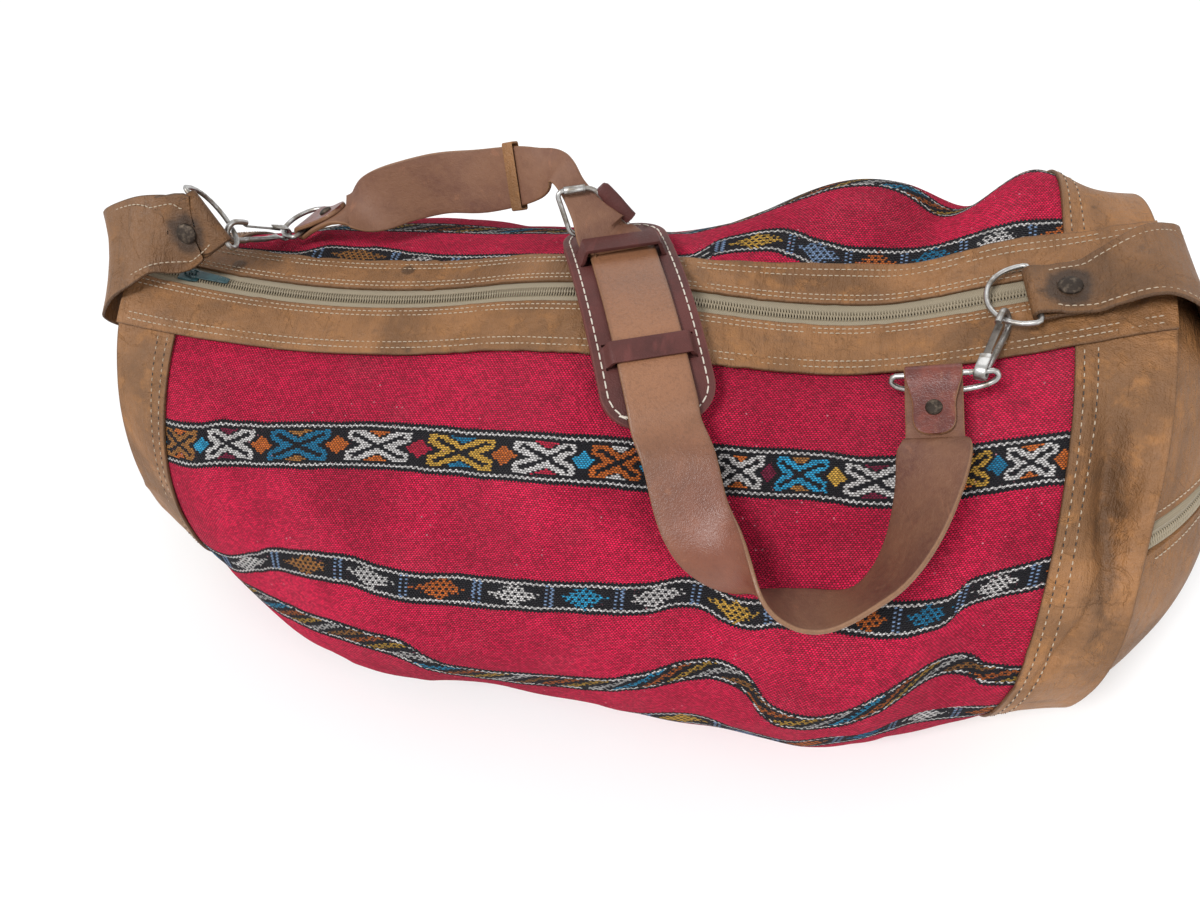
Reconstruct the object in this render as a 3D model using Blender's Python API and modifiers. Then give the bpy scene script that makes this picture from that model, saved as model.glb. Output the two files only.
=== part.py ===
"""Kilim duffle bag: woven wool barrel with leather top bands, end wraps and end panels, a coil zip,
a pocket in the right end, two ring tabs, snap hooks and an adjustable shoulder strap with its pad.

X runs along the bag, -Y is the front, +Z is up, and the origin is under the middle of the belly,
on the ground. All sizes are in metres.
"""

import math

import bmesh
import bpy
import numpy as np
from mathutils import Matrix, Vector

# Barrel: five sections from the left rim to the right one
BAG_LENGTH = 0.600
STATIONS = np.array([-0.5, -0.25, 0.0, 0.25, 0.5]) * BAG_LENGTH
TOP_HEIGHT = (0.217, 0.203, 0.238, 0.221, 0.262)
FRONT_REACH = (0.088, 0.167, 0.163, 0.188, 0.171)
REAR_REACH = (0.120, 0.170, 0.160, 0.150, 0.141)
ZIP_DRIFT = (-0.005, -0.005, -0.014, 0.009, 0.029)
END_LIFT = (0.026, 0.0, 0.0, 0.0, 0.007)
BELLY_SINK = 0.0035
FRONT_PUFF = (0.0, -0.005, -0.004, 0.0, -0.008)
REAR_PUFF = (0.0, 0.022, 0.014, 0.062, 0.027)
WIDEST_SHARE = 0.35
TOP_ROUNDNESS = 1.85
BASE_ROUNDNESS = 2.9
SECTION_POINTS = 240

# Stretch of the zip line that hangs in a true arc, in which the slider runs
ZIP_ARC_RADIUS = 0.480
ZIP_ARC_X = -0.195
ZIP_ARC_LOW = 0.2025
ZIP_ARC_END = -0.070

# Soft folds of the cloth: x, running length from the zip, half length, half width, slant, height
FOLDS = (
    (0.155, 0.215, 0.045, 0.050, 0.0, 0.011),
    (0.085, 0.205, 0.030, 0.060, 0.3, -0.010),
    (0.225, 0.205, 0.028, 0.055, -0.3, -0.012),
    (-0.060, 0.225, 0.070, 0.045, 0.0, 0.010),
    (-0.190, 0.190, 0.045, 0.035, 0.5, -0.007),
    (-0.235, 0.120, 0.030, 0.060, 0.0, 0.004),
    (0.140, -0.095, 0.040, 0.060, 0.0, 0.008),
    (0.195, -0.080, 0.022, 0.045, -0.5, -0.014),
    (0.245, -0.090, 0.026, 0.055, -0.4, 0.014),
    (0.045, -0.095, 0.035, 0.045, 0.2, -0.006),
    (0.283, 0.140, 0.020, 0.045, 0.2, -0.010),
    (0.275, 0.330, 0.060, 0.090, 0.0, -0.010),
)

# Leather, cloth and how they lie over each other
LEATHER = 0.0018
CLOTH = 0.0020
TAPE = 0.0008
GAP = 0.0003
BAND_FRONT = 0.0425
BAND_REAR = 0.0360
BAND_INNER = 0.0085
SEAM_LAP = 0.0080
LEFT_WRAP_EDGE = -0.262
RIGHT_WRAP_EDGE = 0.254
WRAP_CELL = ((LEFT_WRAP_EDGE - STATIONS[0]) / 2, (STATIONS[-1] - RIGHT_WRAP_EDGE) / 2)
LENGTH_CELLS = 18
FRONT_CELLS = 14
REAR_CELLS = 12

# Coil zip
COIL_INNER = 0.0009
COIL_OUTER = 0.0036
COIL_HEIGHT = 0.0022
TAPE_OUTER = 0.0160
ZIP_END_MARGIN = 0.004

# Slider and pull, with the bridge that the pull turns in
SLIDER_X = -0.2665
SLIDER_LENGTH = 0.0125
SLIDER_HALF_WIDTH = 0.0058
PLATE = 0.0010
POST_WIDTH = 0.0012
RUNNING = 0.0005
BRIDGE_WIDTH = 0.0016
BRIDGE_HALF_LENGTH = 0.0038
BRIDGE_STOCK = 0.0010
PULL_LENGTH = 0.0260
PULL_WIDTH = 0.0070
PULL_PLATE = 0.0012
PULL_BAR = 0.0008

# End panels and the pocket in the right one
END_TUCK = 0.006
END_BULGE = (0.016, 0.066)
END_RINGS = (1.0, 0.975, 0.91, 0.79, 0.62, 0.42, 0.20, 0.0)
END_ROUNDNESS = (2.1, 2.7)
POCKET_ZIP_Z = 0.178
SLOT_HALF = 0.0066
POCKET_ZIP_CELLS = 24
POCKET_SLIDER_SHARE = 0.90

# Ring tabs, rings and rivets
TAB_ROOT_WIDTH = 0.066
TAB_END_WIDTH = 0.035
TAB_LEATHER = 0.0022
TAB_LAP = 0.026
TAB_RIVET_BACK = 0.017
RING_WIRE = 0.0015
TAB_RIVET_HEAD = 0.0062
STRAP_RIVET_HEAD = 0.0042
RIVET_SHANK = 0.0015

# Tab rings: middle of the bar, direction of the bar, direction of the bow, half width, depth
LEFT_RING = ((-0.2460, 0.0065, 0.2464), (0.595, -0.328, -0.733), (-0.236, 0.801, -0.550), 0.0215, 0.030)
RIGHT_RING = ((0.2336, 0.0090, 0.2505), (0.090, -0.994, -0.068), (-0.942, -0.146, -0.300), 0.0215, 0.024)

# Strap rings, in the same form
LEFT_STRAP_RING = ((-0.2120, 0.0620, 0.2065), (-0.289, -0.957, 0.031), (-0.950, 0.230, -0.200), 0.0185, 0.020)
RIGHT_STRAP_RING = ((0.1870, -0.0462, 0.2366), (0.960, -0.030, 0.280), (0.0, -0.330, -0.940), 0.0260, 0.010)

# Shoulder strap
STRAP_WIDTH = 0.038
STRAP_END_WIDTH = 0.028
RIGHT_FOLD_OFFSET = -0.0050
RIGHT_END_WIDTH = 0.0285
STRAP_LEATHER = 0.0030
TONGUE_WIDTH = 0.021
TONGUE_LAP = 0.034
STRAP_RIVET_BACK = 0.020
LEFT_END_HEADING = (-0.810, 0.226, -0.541)
LEFT_END_FACE = (0.10, 0.30, -0.95)
RIGHT_END_HEADING = (-0.07, 0.94, 0.34)
RIGHT_END_FACE = (0.05, 0.35, -0.90)

# Snap hooks: the flat clip curls round the strap ring, the nose holds the tab ring
HOOK_WIRE = 0.0018
NOSE_RADIUS = 0.0060
NOSE_SEAT = 0.0018
CLIP_RADIUS = 0.0041
CLIP_WIDTH = 0.0060
CLIP_STRIP = 0.0014
GATE_STRIP = 0.0008
GATE_WIDTH = 0.0040
GATE_PIVOT = 0.0060
LEFT_RING_GRIP = 60
RIGHT_RING_GRIP = 40
LEFT_CLIP_GRIP = 36
RIGHT_CLIP_OFFSET = 0.0182

# Buckle: a frame narrower at its roller than at its bar, which lies behind the pad's first bar
STRAP_BAR_RUN = 0.020
STRAP_BAR_ACROSS = 0.010
STRAP_BAR_HEIGHT = 0.0108
ROLLER_RISE = (-0.0230, 0.0020, 0.0235)
ROLLER_BAR = 0.0210
STRAP_BAR = 0.0360
BUCKLE_WIRE = 0.0015
BUCKLE_CORNER = 0.0040
ROLLER_RADIUS = 0.0024

# Shoulder pad, bent over an arc whose axis lies across it
PAD_LENGTH = 0.150
PAD_WIDTH = 0.062
PAD_CORNER = 0.020
PAD_TOP = 0.0020
PAD_LINING = 0.0028
PAD_RADIUS = 0.168
PAD_CREST = (0.0145, -0.0025, 0.2412)
PAD_CREST_RUN = 0.0545
PAD_HEADING = (0.3696, -0.9292)
BAR_LENGTH = 0.012
FIRST_BAR = 0.032
SECOND_BAR = 0.104
SLIT = 0.0016

PARTS = None
CUTTERS = None


# Scene, materials and collections


def clear_scene():
    for obj in list(bpy.data.objects):
        bpy.data.objects.remove(obj, do_unlink=True)


def collection(name, hidden=False):
    made = bpy.data.collections.new(name)
    made.hide_render = hidden
    bpy.context.scene.collection.children.link(made)
    return made


def material(name, colour, roughness, metallic=0.0):
    made = bpy.data.materials.new(name)
    made.use_nodes = True
    shader = made.node_tree.nodes["Principled BSDF"]
    shader.inputs["Base Color"].default_value = (*colour, 1.0)
    shader.inputs["Roughness"].default_value = roughness
    shader.inputs["Metallic"].default_value = metallic
    made.diffuse_color = (*colour, 1.0)
    return made


TAN = ((0.38, 0.18, 0.075), 0.55)
STRAP_BROWN = ((0.27, 0.115, 0.05), 0.6)
PAD_BROWN = ((0.11, 0.035, 0.03), 0.55)
WOOL_RED = ((0.55, 0.01, 0.045), 0.9)
KHAKI = ((0.36, 0.32, 0.2), 0.8)
PETROL = ((0.012, 0.06, 0.07), 0.4, 0.3)
STEEL = ((0.62, 0.61, 0.58), 0.3, 1.0)
DARK_STEEL = ((0.16, 0.15, 0.14), 0.45, 1.0)
ANTIQUE = ((0.09, 0.075, 0.06), 0.6, 0.8)


def keep(name, mesh, look):
    obj = bpy.data.objects.new(name, mesh)
    PARTS.objects.link(obj)
    mesh.materials.clear()
    mesh.materials.append(material(name, *look))
    return obj


def smooth_shade(mesh, angle=35):
    mesh.shade_smooth()
    mesh.set_sharp_from_angle(angle=math.radians(angle))


def add_solidify(obj, thickness, offset):
    shell = obj.modifiers.new("thickness", "SOLIDIFY")
    shell.thickness = thickness
    shell.offset = offset
    return shell


def add_bevel(obj, width, segments=1):
    bevel = obj.modifiers.new("edges", "BEVEL")
    bevel.width = width
    bevel.segments = segments
    bevel.limit_method = "ANGLE"
    bevel.angle_limit = math.radians(50)
    return bevel


def add_cut(obj, cutter):
    cut = obj.modifiers.new("cut " + cutter.name, "BOOLEAN")
    cut.operation = "DIFFERENCE"
    cut.object = cutter
    return cut


def as_cutter(name, mesh):
    obj = bpy.data.objects.new(name, mesh)
    CUTTERS.objects.link(obj)
    obj.hide_render = True
    obj.display_type = "WIRE"
    return obj


def put_origin(obj, pivot):
    """Moves the object's origin onto its joint's axis and leaves its shape where it is."""
    pivot = Vector(pivot)
    obj.data.transform(Matrix.Translation(-pivot))
    obj.matrix_world = Matrix.Translation(pivot)


def pivot_empty(name, place):
    empty = bpy.data.objects.new(name, None)
    empty.empty_display_size = 0.02
    empty.matrix_world = Matrix.Translation(Vector(place))
    PARTS.objects.link(empty)
    return empty


def carry(parent, child):
    """The child moves with its parent from where it is now."""
    child.parent = parent
    child.matrix_parent_inverse = parent.matrix_world.inverted()


# Grids laid over a surface


def grid_mesh(name, points, closed=False):
    """A grid of rows x columns whose vertices stand at points[row, column]; its faces look along
    (step between rows) x (step between columns). A closed grid joins its last column to its first."""
    rows, columns = points.shape[:2]
    bm = bmesh.new()
    bmesh.ops.create_grid(bm, x_segments=rows - 1, y_segments=columns - 1, size=1.0)
    for vert in bm.verts:
        row = round((vert.co.x + 1.0) / 2.0 * (rows - 1))
        column = round((vert.co.y + 1.0) / 2.0 * (columns - 1))
        vert.co = points[row, column]
    if closed:
        bmesh.ops.remove_doubles(bm, verts=bm.verts, dist=1e-5)
    mesh = bpy.data.meshes.new(name)
    bm.to_mesh(mesh)
    bm.free()
    smooth_shade(mesh)
    return mesh


def drop_faces(mesh, is_hole):
    """Removes the faces whose centre answers is_hole."""
    bm = bmesh.new()
    bm.from_mesh(mesh)
    holes = [face for face in bm.faces if is_hole(face.calc_center_median())]
    bmesh.ops.delete(bm, geom=holes, context="FACES")
    bm.to_mesh(mesh)
    bm.free()


# The barrel's surface


def hermite(start, end, start_slope, end_slope, share):
    return (
        start * (2 * share**3 - 3 * share**2 + 1)
        + start_slope * (share**3 - 2 * share**2 + share)
        + end * (3 * share**2 - 2 * share**3)
        + end_slope * (share**3 - share**2)
    )


def along(values, x):
    """A smooth curve through one value per station."""
    values = np.asarray(values, float)
    slopes = np.gradient(values, STATIONS)
    x = np.clip(x, STATIONS[0], STATIONS[-1])
    k = np.clip(np.searchsorted(STATIONS, x, side="right") - 1, 0, len(STATIONS) - 2)
    width = STATIONS[k + 1] - STATIONS[k]
    return hermite(
        values[k], values[k + 1], slopes[k] * width, slopes[k + 1] * width, (x - STATIONS[k]) / width
    )


def arc_height(x):
    return ZIP_ARC_LOW + ZIP_ARC_RADIUS - np.sqrt(ZIP_ARC_RADIUS**2 - (x - ZIP_ARC_X) ** 2)


def zip_height(x):
    """The zip line's height: the slider's arc, then a smooth rise, then the stations."""
    span = STATIONS[2] - ZIP_ARC_END
    steep = math.tan(math.asin((ZIP_ARC_END - ZIP_ARC_X) / ZIP_ARC_RADIUS))
    level = np.gradient(TOP_HEIGHT, STATIONS)[2]
    share = np.clip((x - ZIP_ARC_END) / span, 0, 1)
    rise = hermite(arc_height(ZIP_ARC_END), TOP_HEIGHT[2], steep * span, level * span, share)
    arc = arc_height(np.minimum(x, ZIP_ARC_END))
    return np.where(x < ZIP_ARC_END, arc, np.where(x < STATIONS[2], rise, along(TOP_HEIGHT, x)))


def zip_y(x):
    """The zip line's place across the bag, constant along the slider's arc."""
    span = STATIONS[2] - ZIP_ARC_END
    slope = np.gradient(ZIP_DRIFT, STATIONS)[2]
    share = np.clip((x - ZIP_ARC_END) / span, 0, 1)
    turn = hermite(ZIP_DRIFT[1], ZIP_DRIFT[2], 0.0, slope * span, share)
    return np.where(x < STATIONS[2], turn, along(ZIP_DRIFT, x))


def section(x):
    """The barrel's outline at x as one loop of (y, z) from the zip down the front and up the rear,
    with the running length to each point."""
    top, middle = float(zip_height(x)), float(zip_y(x))
    low = float(along(END_LIFT, x)) - BELLY_SINK
    widest = low + WIDEST_SHARE * (top - low)
    turn = np.linspace(0.0, math.pi, SECTION_POINTS)
    upper = turn < math.pi / 2
    power = 2.0 / np.where(upper, TOP_ROUNDNESS, BASE_ROUNDNESS)
    out = np.abs(np.sin(turn)) ** power
    rise = np.sign(np.cos(turn)) * np.abs(np.cos(turn)) ** power
    z = widest + np.where(rise > 0, top - widest, widest - low) * rise
    halves = []
    for side, reach, puff in ((-1, FRONT_REACH, FRONT_PUFF), (1, REAR_REACH, REAR_PUFF)):
        swell = float(along(puff, x)) * np.where(upper, np.sin(2 * turn) ** 2, 0.0)
        halves.append(np.stack([middle + side * float(along(reach, x)) * out, z + swell], 1))
    outline = np.concatenate([halves[0], halves[1][::-1][1:]])
    run = np.concatenate([[0.0], np.cumsum(np.hypot(*np.diff(outline, axis=0).T))])
    return outline, run


def girth(x):
    return section(x)[1][-1]


def base_point(x, runs):
    """Points of the section at x at these running lengths; a negative one counts up the rear."""
    outline, run = section(x)
    runs = np.where(np.asarray(runs) < 0, run[-1] + np.asarray(runs), runs)
    y, z = np.interp(runs, run, outline[:, 0]), np.interp(runs, run, outline[:, 1])
    return np.stack([np.full(np.shape(runs), float(x)), y, z], -1)


def fold_height(x, runs, whole):
    """How far the folds lift the cloth at x, at these running lengths of a loop that is whole long."""
    signed = np.where(runs > whole / 2, runs - whole, runs)
    height = np.zeros(np.shape(runs))
    for fold_x, fold_run, length, width, slant, lift in FOLDS:
        across = x - fold_x - slant * (signed - fold_run)
        height += lift * np.exp(-((across / length) ** 2) - ((signed - fold_run) / width) ** 2)
    return height


def skin(x, runs, lift):
    """Points on the barrel's skin at x, at these running lengths, lifted outwards by lift."""
    whole = girth(x)
    runs = np.asarray(runs, float)
    runs = np.where(runs < 0, whole + runs, runs)
    step = 0.002
    before, after = max(x - step, STATIONS[0]), min(x + step, STATIONS[-1])
    lengthwise = base_point(after, runs) - base_point(before, runs)
    around = base_point(x, (runs + step) % whole) - base_point(x, (runs - step) % whole)
    outward = np.cross(around, lengthwise)
    outward /= np.linalg.norm(outward, axis=-1, keepdims=True)
    lifted = (lift + fold_height(x, runs, whole))[:, None] * outward
    points = base_point(x, runs) + lifted
    points[:, 2] = np.maximum(points[:, 2], -(lift + LEATHER + GAP))
    return points


def x_lines():
    """The lengthwise stations that all the barrel's panels share, so that their facets stay parallel."""
    left = np.linspace(STATIONS[0], LEFT_WRAP_EDGE, 3)
    right = np.linspace(RIGHT_WRAP_EDGE, STATIONS[-1], 3)
    middle = np.linspace(LEFT_WRAP_EDGE + SEAM_LAP, RIGHT_WRAP_EDGE - SEAM_LAP, LENGTH_CELLS + 1)
    laps = [LEFT_WRAP_EDGE - SEAM_LAP, RIGHT_WRAP_EDGE + SEAM_LAP]
    return np.unique(np.round(np.concatenate([left, middle, right, laps]), 6))


def body_runs(x):
    """Running lengths round the barrel under the bands, from front seam to rear seam with their laps."""
    front, rear = BAND_FRONT, girth(x) - BAND_REAR
    belly = girth(x) / 2
    front_part = np.linspace(front, belly, FRONT_CELLS + 1)
    rear_part = np.linspace(belly, rear, REAR_CELLS + 1)[1:]
    return np.concatenate([[front - SEAM_LAP], front_part, rear_part, [rear + SEAM_LAP]])


def band_runs(outer):
    seam = outer - SEAM_LAP
    return np.array([BAND_INNER, TAPE_OUTER, 0.5 * (TAPE_OUTER + seam), seam, outer])


def loop_runs(x):
    """Running lengths right round the barrel, on the lines that the panels over it use."""
    front, rear = band_runs(BAND_FRONT)[:3], girth(x) - band_runs(BAND_REAR)[:3][::-1]
    return np.concatenate([[0.0], front, body_runs(x), rear])


def barrel_panel(name, xs, runs_at, lift, thickness, look):
    """A panel between the given lengthwise stations; xs run from +X to -X so that it faces outwards."""
    rows = [skin(float(x), runs_at(float(x)), lift) for x in sorted(xs, reverse=True)]
    obj = keep(name, grid_mesh(name, np.array(rows)), look)
    add_solidify(obj, thickness, -1.0)
    return obj


def make_kilim():
    low, high = LEFT_WRAP_EDGE - SEAM_LAP, RIGHT_WRAP_EDGE + SEAM_LAP
    xs = [x for x in x_lines() if low - 1e-6 <= x <= high + 1e-6]
    barrel_panel("kilim_body", xs, body_runs, -(LEATHER + GAP), CLOTH, WOOL_RED)


def make_wraps():
    left = [x for x in x_lines() if x <= LEFT_WRAP_EDGE + 1e-6]
    right = [x for x in x_lines() if x >= RIGHT_WRAP_EDGE - 1e-6]
    barrel_panel("left_end_wrap", left, body_runs, 0.0, LEATHER, TAN)
    barrel_panel("right_end_wrap", right, body_runs, 0.0, LEATHER, TAN)


def make_bands():
    over = LEATHER + GAP
    barrel_panel("top_band_front", x_lines(), lambda x: band_runs(BAND_FRONT), over, LEATHER, TAN)
    barrel_panel("top_band_rear", x_lines(), lambda x: -band_runs(BAND_REAR)[::-1], over, LEATHER, TAN)


# Coil zip


def zip_lines():
    rim = STATIONS[-1] - ZIP_END_MARGIN
    return np.concatenate([[-rim], [x for x in x_lines() if abs(x) < rim - 1e-6], [rim]])


def make_zip():
    tape_runs = np.array([COIL_OUTER + GAP, BAND_INNER, TAPE_OUTER])
    coil_runs = np.array([COIL_INNER, COIL_OUTER])
    coil_lift = (COIL_HEIGHT - TAPE) / 2
    for name, side in (("front", 1), ("rear", -1)):
        order = slice(None, None, side)
        barrel_panel("zip_tape_" + name, zip_lines(), lambda x: (side * tape_runs)[order], 0.0, TAPE, KHAKI)
        barrel_panel(
            "zip_coil_" + name, zip_lines(), lambda x: (side * coil_runs)[order], coil_lift, COIL_HEIGHT, KHAKI
        )


# Domed end panels


def dome_outline(side):
    """The panel's edge, tucked inside the wrap, and the point of the plane about which it shrinks."""
    rim, line = side * STATIONS[-1], side * STATIONS[-1] - side * WRAP_CELL[side > 0]
    share = END_TUCK / WRAP_CELL[side > 0]
    depth = -(LEATHER + 4 * GAP)
    edge = (1 - share) * skin(rim, loop_runs(rim), depth) + share * skin(line, loop_runs(line), depth)
    edge = edge[:, 1:]
    middle = 0.5 * (edge.max(axis=0) + edge.min(axis=0))
    return edge, middle


def dome_rise(side, share):
    """How far out along X the dome stands where a point is at this share of the way to its edge."""
    bulge = END_BULGE[side > 0] + END_TUCK
    return side * (STATIONS[-1] - END_TUCK + bulge * (1.0 - np.abs(share) ** END_ROUNDNESS[side > 0]))


def dome_x(side, y, z):
    """The dome's outer face at y, z."""
    edge, middle = dome_outline(side)
    away = edge - middle
    turn = np.arctan2(away[:, 1], away[:, 0])
    order = np.argsort(turn)
    reach = np.hypot(away[:, 0], away[:, 1])[order]
    radius = np.interp(math.atan2(z - middle[1], y - middle[0]), turn[order], reach, period=2 * math.pi)
    return float(dome_rise(side, math.hypot(y - middle[0], z - middle[1]) / radius))


def dome_mesh(name, side):
    edge, middle = dome_outline(side)
    rows = []
    for share in END_RINGS:
        ring = middle + share * (edge - middle)
        ring = np.column_stack([np.full(len(ring), dome_rise(side, share)), ring])
        rows.append(np.vstack([ring, ring[:1]]))
    points = np.array(rows)
    return grid_mesh(name, points if side < 0 else points[:, ::-1], closed=True)


def make_left_end():
    obj = keep("left_end_panel", dome_mesh("left_end_panel", -1), TAN)
    add_solidify(obj, LEATHER, -1.0)


def make_right_end():
    """The right end in two panels, above and below the slot of the pocket zip."""
    for name, above in (("right_end_upper_panel", True), ("right_end_pocket_panel", False)):
        obj = keep(name, dome_mesh(name, 1), TAN)
        add_solidify(obj, LEATHER, -1.0)
        centre = POCKET_ZIP_Z + (SLOT_HALF - 0.2 if above else 0.2 - SLOT_HALF)
        cutter = block(name + " cutter", (0.2, 0.6, 0.4), (0.33, 0.0, centre))
        add_cut(obj, as_cutter(cutter.name, cutter))


def block(name, size, centre, taper=1.0):
    """A box; taper narrows its +X end."""
    bm = bmesh.new()
    bmesh.ops.create_cube(bm, size=1.0)
    for vert in bm.verts:
        narrow = taper if vert.co.x > 0 else 1.0
        vert.co = Vector((vert.co.x * size[0], vert.co.y * size[1] * narrow, vert.co.z * size[2]))
        vert.co += Vector(centre)
    mesh = bpy.data.meshes.new(name)
    bm.to_mesh(mesh)
    bm.free()
    return mesh


# Lofts along a path


def unit(vector):
    vector = np.asarray(vector, float)
    return vector / np.linalg.norm(vector)


def square_to(vector, axis):
    """The part of vector that is square to axis, made one unit long."""
    axis = unit(axis)
    return unit(np.asarray(vector, float) - np.dot(vector, axis) * axis)


def loft(name, rings, closed=False):
    """A solid through closed outlines, capped at its ends, or joined end to end."""
    rings = np.asarray(rings, float)
    rings = np.concatenate([rings, rings[:, :1]], axis=1)
    if closed:
        rings = np.concatenate([rings, rings[:1]])
    mesh = grid_mesh(name, rings, closed=True)
    bm = bmesh.new()
    bm.from_mesh(mesh)
    if not closed:
        edges = [edge for edge in bm.edges if edge.is_boundary]
        bmesh.ops.holes_fill(bm, edges=edges, sides=0)
    bmesh.ops.recalc_face_normals(bm, faces=bm.faces)
    bm.to_mesh(mesh)
    bm.free()
    smooth_shade(mesh)
    return mesh


def wire_rings(path, normal, radius, sides=8, closed=False, heading=None):
    """Round outlines along a path that lies in the plane square to normal."""
    path = np.asarray(path, float)
    if heading is not None:
        heading = np.asarray(heading, float)
    elif closed:
        heading = np.roll(path, -1, axis=0) - np.roll(path, 1, axis=0)
    else:
        heading = np.gradient(path, axis=0)
    rings = []
    turn = np.arange(sides) * 2 * math.pi / sides
    for point, direction in zip(path, heading):
        side = unit(np.cross(normal, direction))
        flat = np.outer(np.cos(turn), side) + np.outer(np.sin(turn), unit(normal))
        rings.append(point + radius * flat)
    return rings


def spline(points, cells):
    """A Catmull-Rom curve through the points, with this many cells between neighbours."""
    points = np.asarray(points, float)
    padded = np.vstack([2 * points[0] - points[1], points, 2 * points[-1] - points[-2]])
    found = []
    for k in range(len(points) - 1):
        before, start, end, after = padded[k : k + 4]
        share = np.linspace(0.0, 1.0, cells, endpoint=False)[:, None]
        found.append(hermite(start, end, 0.5 * (end - before), 0.5 * (after - start), share))
    return np.vstack(found + [points[-1:]])


def ribbon(name, stations, thickness, look):
    """A strap through (middle, across, width) stations, half its thickness to each side."""
    rows = []
    for middle, across, width in stations:
        half = 0.5 * width * unit(across)
        rows.append([middle - half, np.asarray(middle, float), middle + half])
    obj = keep(name, grid_mesh(name, np.array(rows)), look)
    shell = add_solidify(obj, thickness, 0.0)
    shell.use_even_offset = True
    return obj


def fold_back(bar, heading, face, across, leather, lap, width, tongue):
    """Stations of a strap that comes along heading to a bar with its upper side towards face, goes
    round the bar, and lies back under itself for the length of the lap, narrowed to tongue."""
    bar, heading, face = np.asarray(bar, float), unit(heading), unit(face)
    round_bar = RING_WIRE + GAP + leather / 2
    flat = (leather + GAP) / 2
    stations = []
    for back, height in ((lap, flat), (0.5 * lap, flat), (0.009, flat + 0.0006), (0.004, round_bar - 0.0003)):
        stations.append((bar - back * heading + height * face, across, width))
    for turn in np.radians((90, 60, 30, 0, -30, -60, -90)):
        at = round_bar * (math.cos(turn) * heading + math.sin(turn) * face)
        stations.append((bar + at, across, width))
    returned = ((0.004, round_bar - 0.0003, 0.9), (0.009, flat + 0.0006, 0.5), (0.5 * lap, flat, 0.0))
    for back, height, share in returned:
        stations.append((bar - back * heading - height * face, across, tongue + share * (width - tongue)))
    for back, share in ((lap - 0.009, 1.0), (lap - 0.004, 0.9), (lap - 0.001, 0.62), (lap, 0.3)):
        stations.append((bar - back * heading - flat * face, across, share * tongue))
    return stations


# Skin clearance for what lies on the bag


def press_out(point, margin):
    """The point, moved straight out of the bag until it is margin clear of the skin."""
    x, y, z = point
    if abs(x) > STATIONS[-1]:
        return np.asarray(point, float)
    outline, run = section(x)
    nearest = int(np.argmin(np.hypot(outline[:, 0] - y, outline[:, 1] - z)))
    step = outline[(nearest + 1) % len(outline)] - outline[nearest - 1]
    outward = np.array([step[1], -step[0]]) / np.hypot(*step)
    height = np.dot(np.array([y, z]) - outline[nearest], outward)
    short = margin + float(fold_height(x, run[nearest], run[-1])) - height
    lift = max(0.0, short) * outward
    return np.array([x, y + lift[0], z + lift[1]])


def lay_on_bag(stations, thickness):
    """The stations with their edges lifted clear of the bag and its bands."""
    margin = 2 * (LEATHER + GAP) + thickness / 2
    found = []
    for middle, across, width in stations:
        half = 0.5 * width * unit(across)
        low, high = press_out(middle - half, margin), press_out(middle + half, margin)
        found.append((press_out(0.5 * (low + high), margin), high - low, width))
    return found


# Rings and rivets


def ring_axes(ring):
    """The bar's direction and the bow's, square to each other."""
    return unit(ring[1]), square_to(ring[2], ring[1])


def ring_point(ring, angle):
    """A point on the bow: 0 degrees at the bar's front end, 180 at its other end."""
    bar, bow = ring_axes(ring)
    turn = math.radians(angle)
    out = 0.0025 + (ring[4] - 0.0025) * math.sin(turn) ** 0.85
    return np.asarray(ring[0]) + ring[3] * math.cos(turn) * bar + out * bow


def ring_heading(ring, angle):
    return unit(ring_point(ring, angle + 4) - ring_point(ring, angle - 4))


def ring_path(ring):
    bar, bow = ring_axes(ring)
    corner = 0.0025
    flat = ring[3] - corner
    points = [np.asarray(ring[0]) + share * flat * bar for share in (-1.0, -0.35, 0.35, 1.0)]
    points.append(np.asarray(ring[0]) + (flat + 0.7 * corner) * bar + 0.3 * corner * bow)
    points += [ring_point(ring, angle) for angle in range(0, 181, 9)]
    points.append(np.asarray(ring[0]) - (flat + 0.7 * corner) * bar + 0.3 * corner * bow)
    return np.array(points)


def make_ring(name, ring):
    bar, bow = ring_axes(ring)
    rings = wire_rings(ring_path(ring), np.cross(bar, bow), RING_WIRE, closed=True)
    obj = keep(name, loft(name, rings, closed=True), STEEL)
    put_origin(obj, ring[0])
    return obj


def upright(matrix_z):
    """A rotation that stands local Z along this direction."""
    return Vector(matrix_z).to_track_quat("Z", "Y").to_matrix().to_4x4()


def turned(name, profile, place, direction, steps=12):
    """A profile of (radius, height) points, top to foot, turned about an axis along direction."""
    mesh = bpy.data.meshes.new(name)
    bm = bmesh.new()
    verts = [bm.verts.new((radius, 0.0, height)) for radius, height in profile]
    for first, second in zip(verts, verts[1:]):
        bm.edges.new((first, second))
    bm.to_mesh(mesh)
    bm.free()
    obj = bpy.data.objects.new(name, mesh)
    obj.matrix_world = Matrix.Translation(Vector(place)) @ upright(direction)
    screw = obj.modifiers.new("turn", "SCREW")
    screw.steps = steps
    screw.render_steps = steps
    screw.use_merge_vertices = True
    screw.merge_threshold = 0.00001
    screw.use_smooth_shade = True
    return obj


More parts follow.
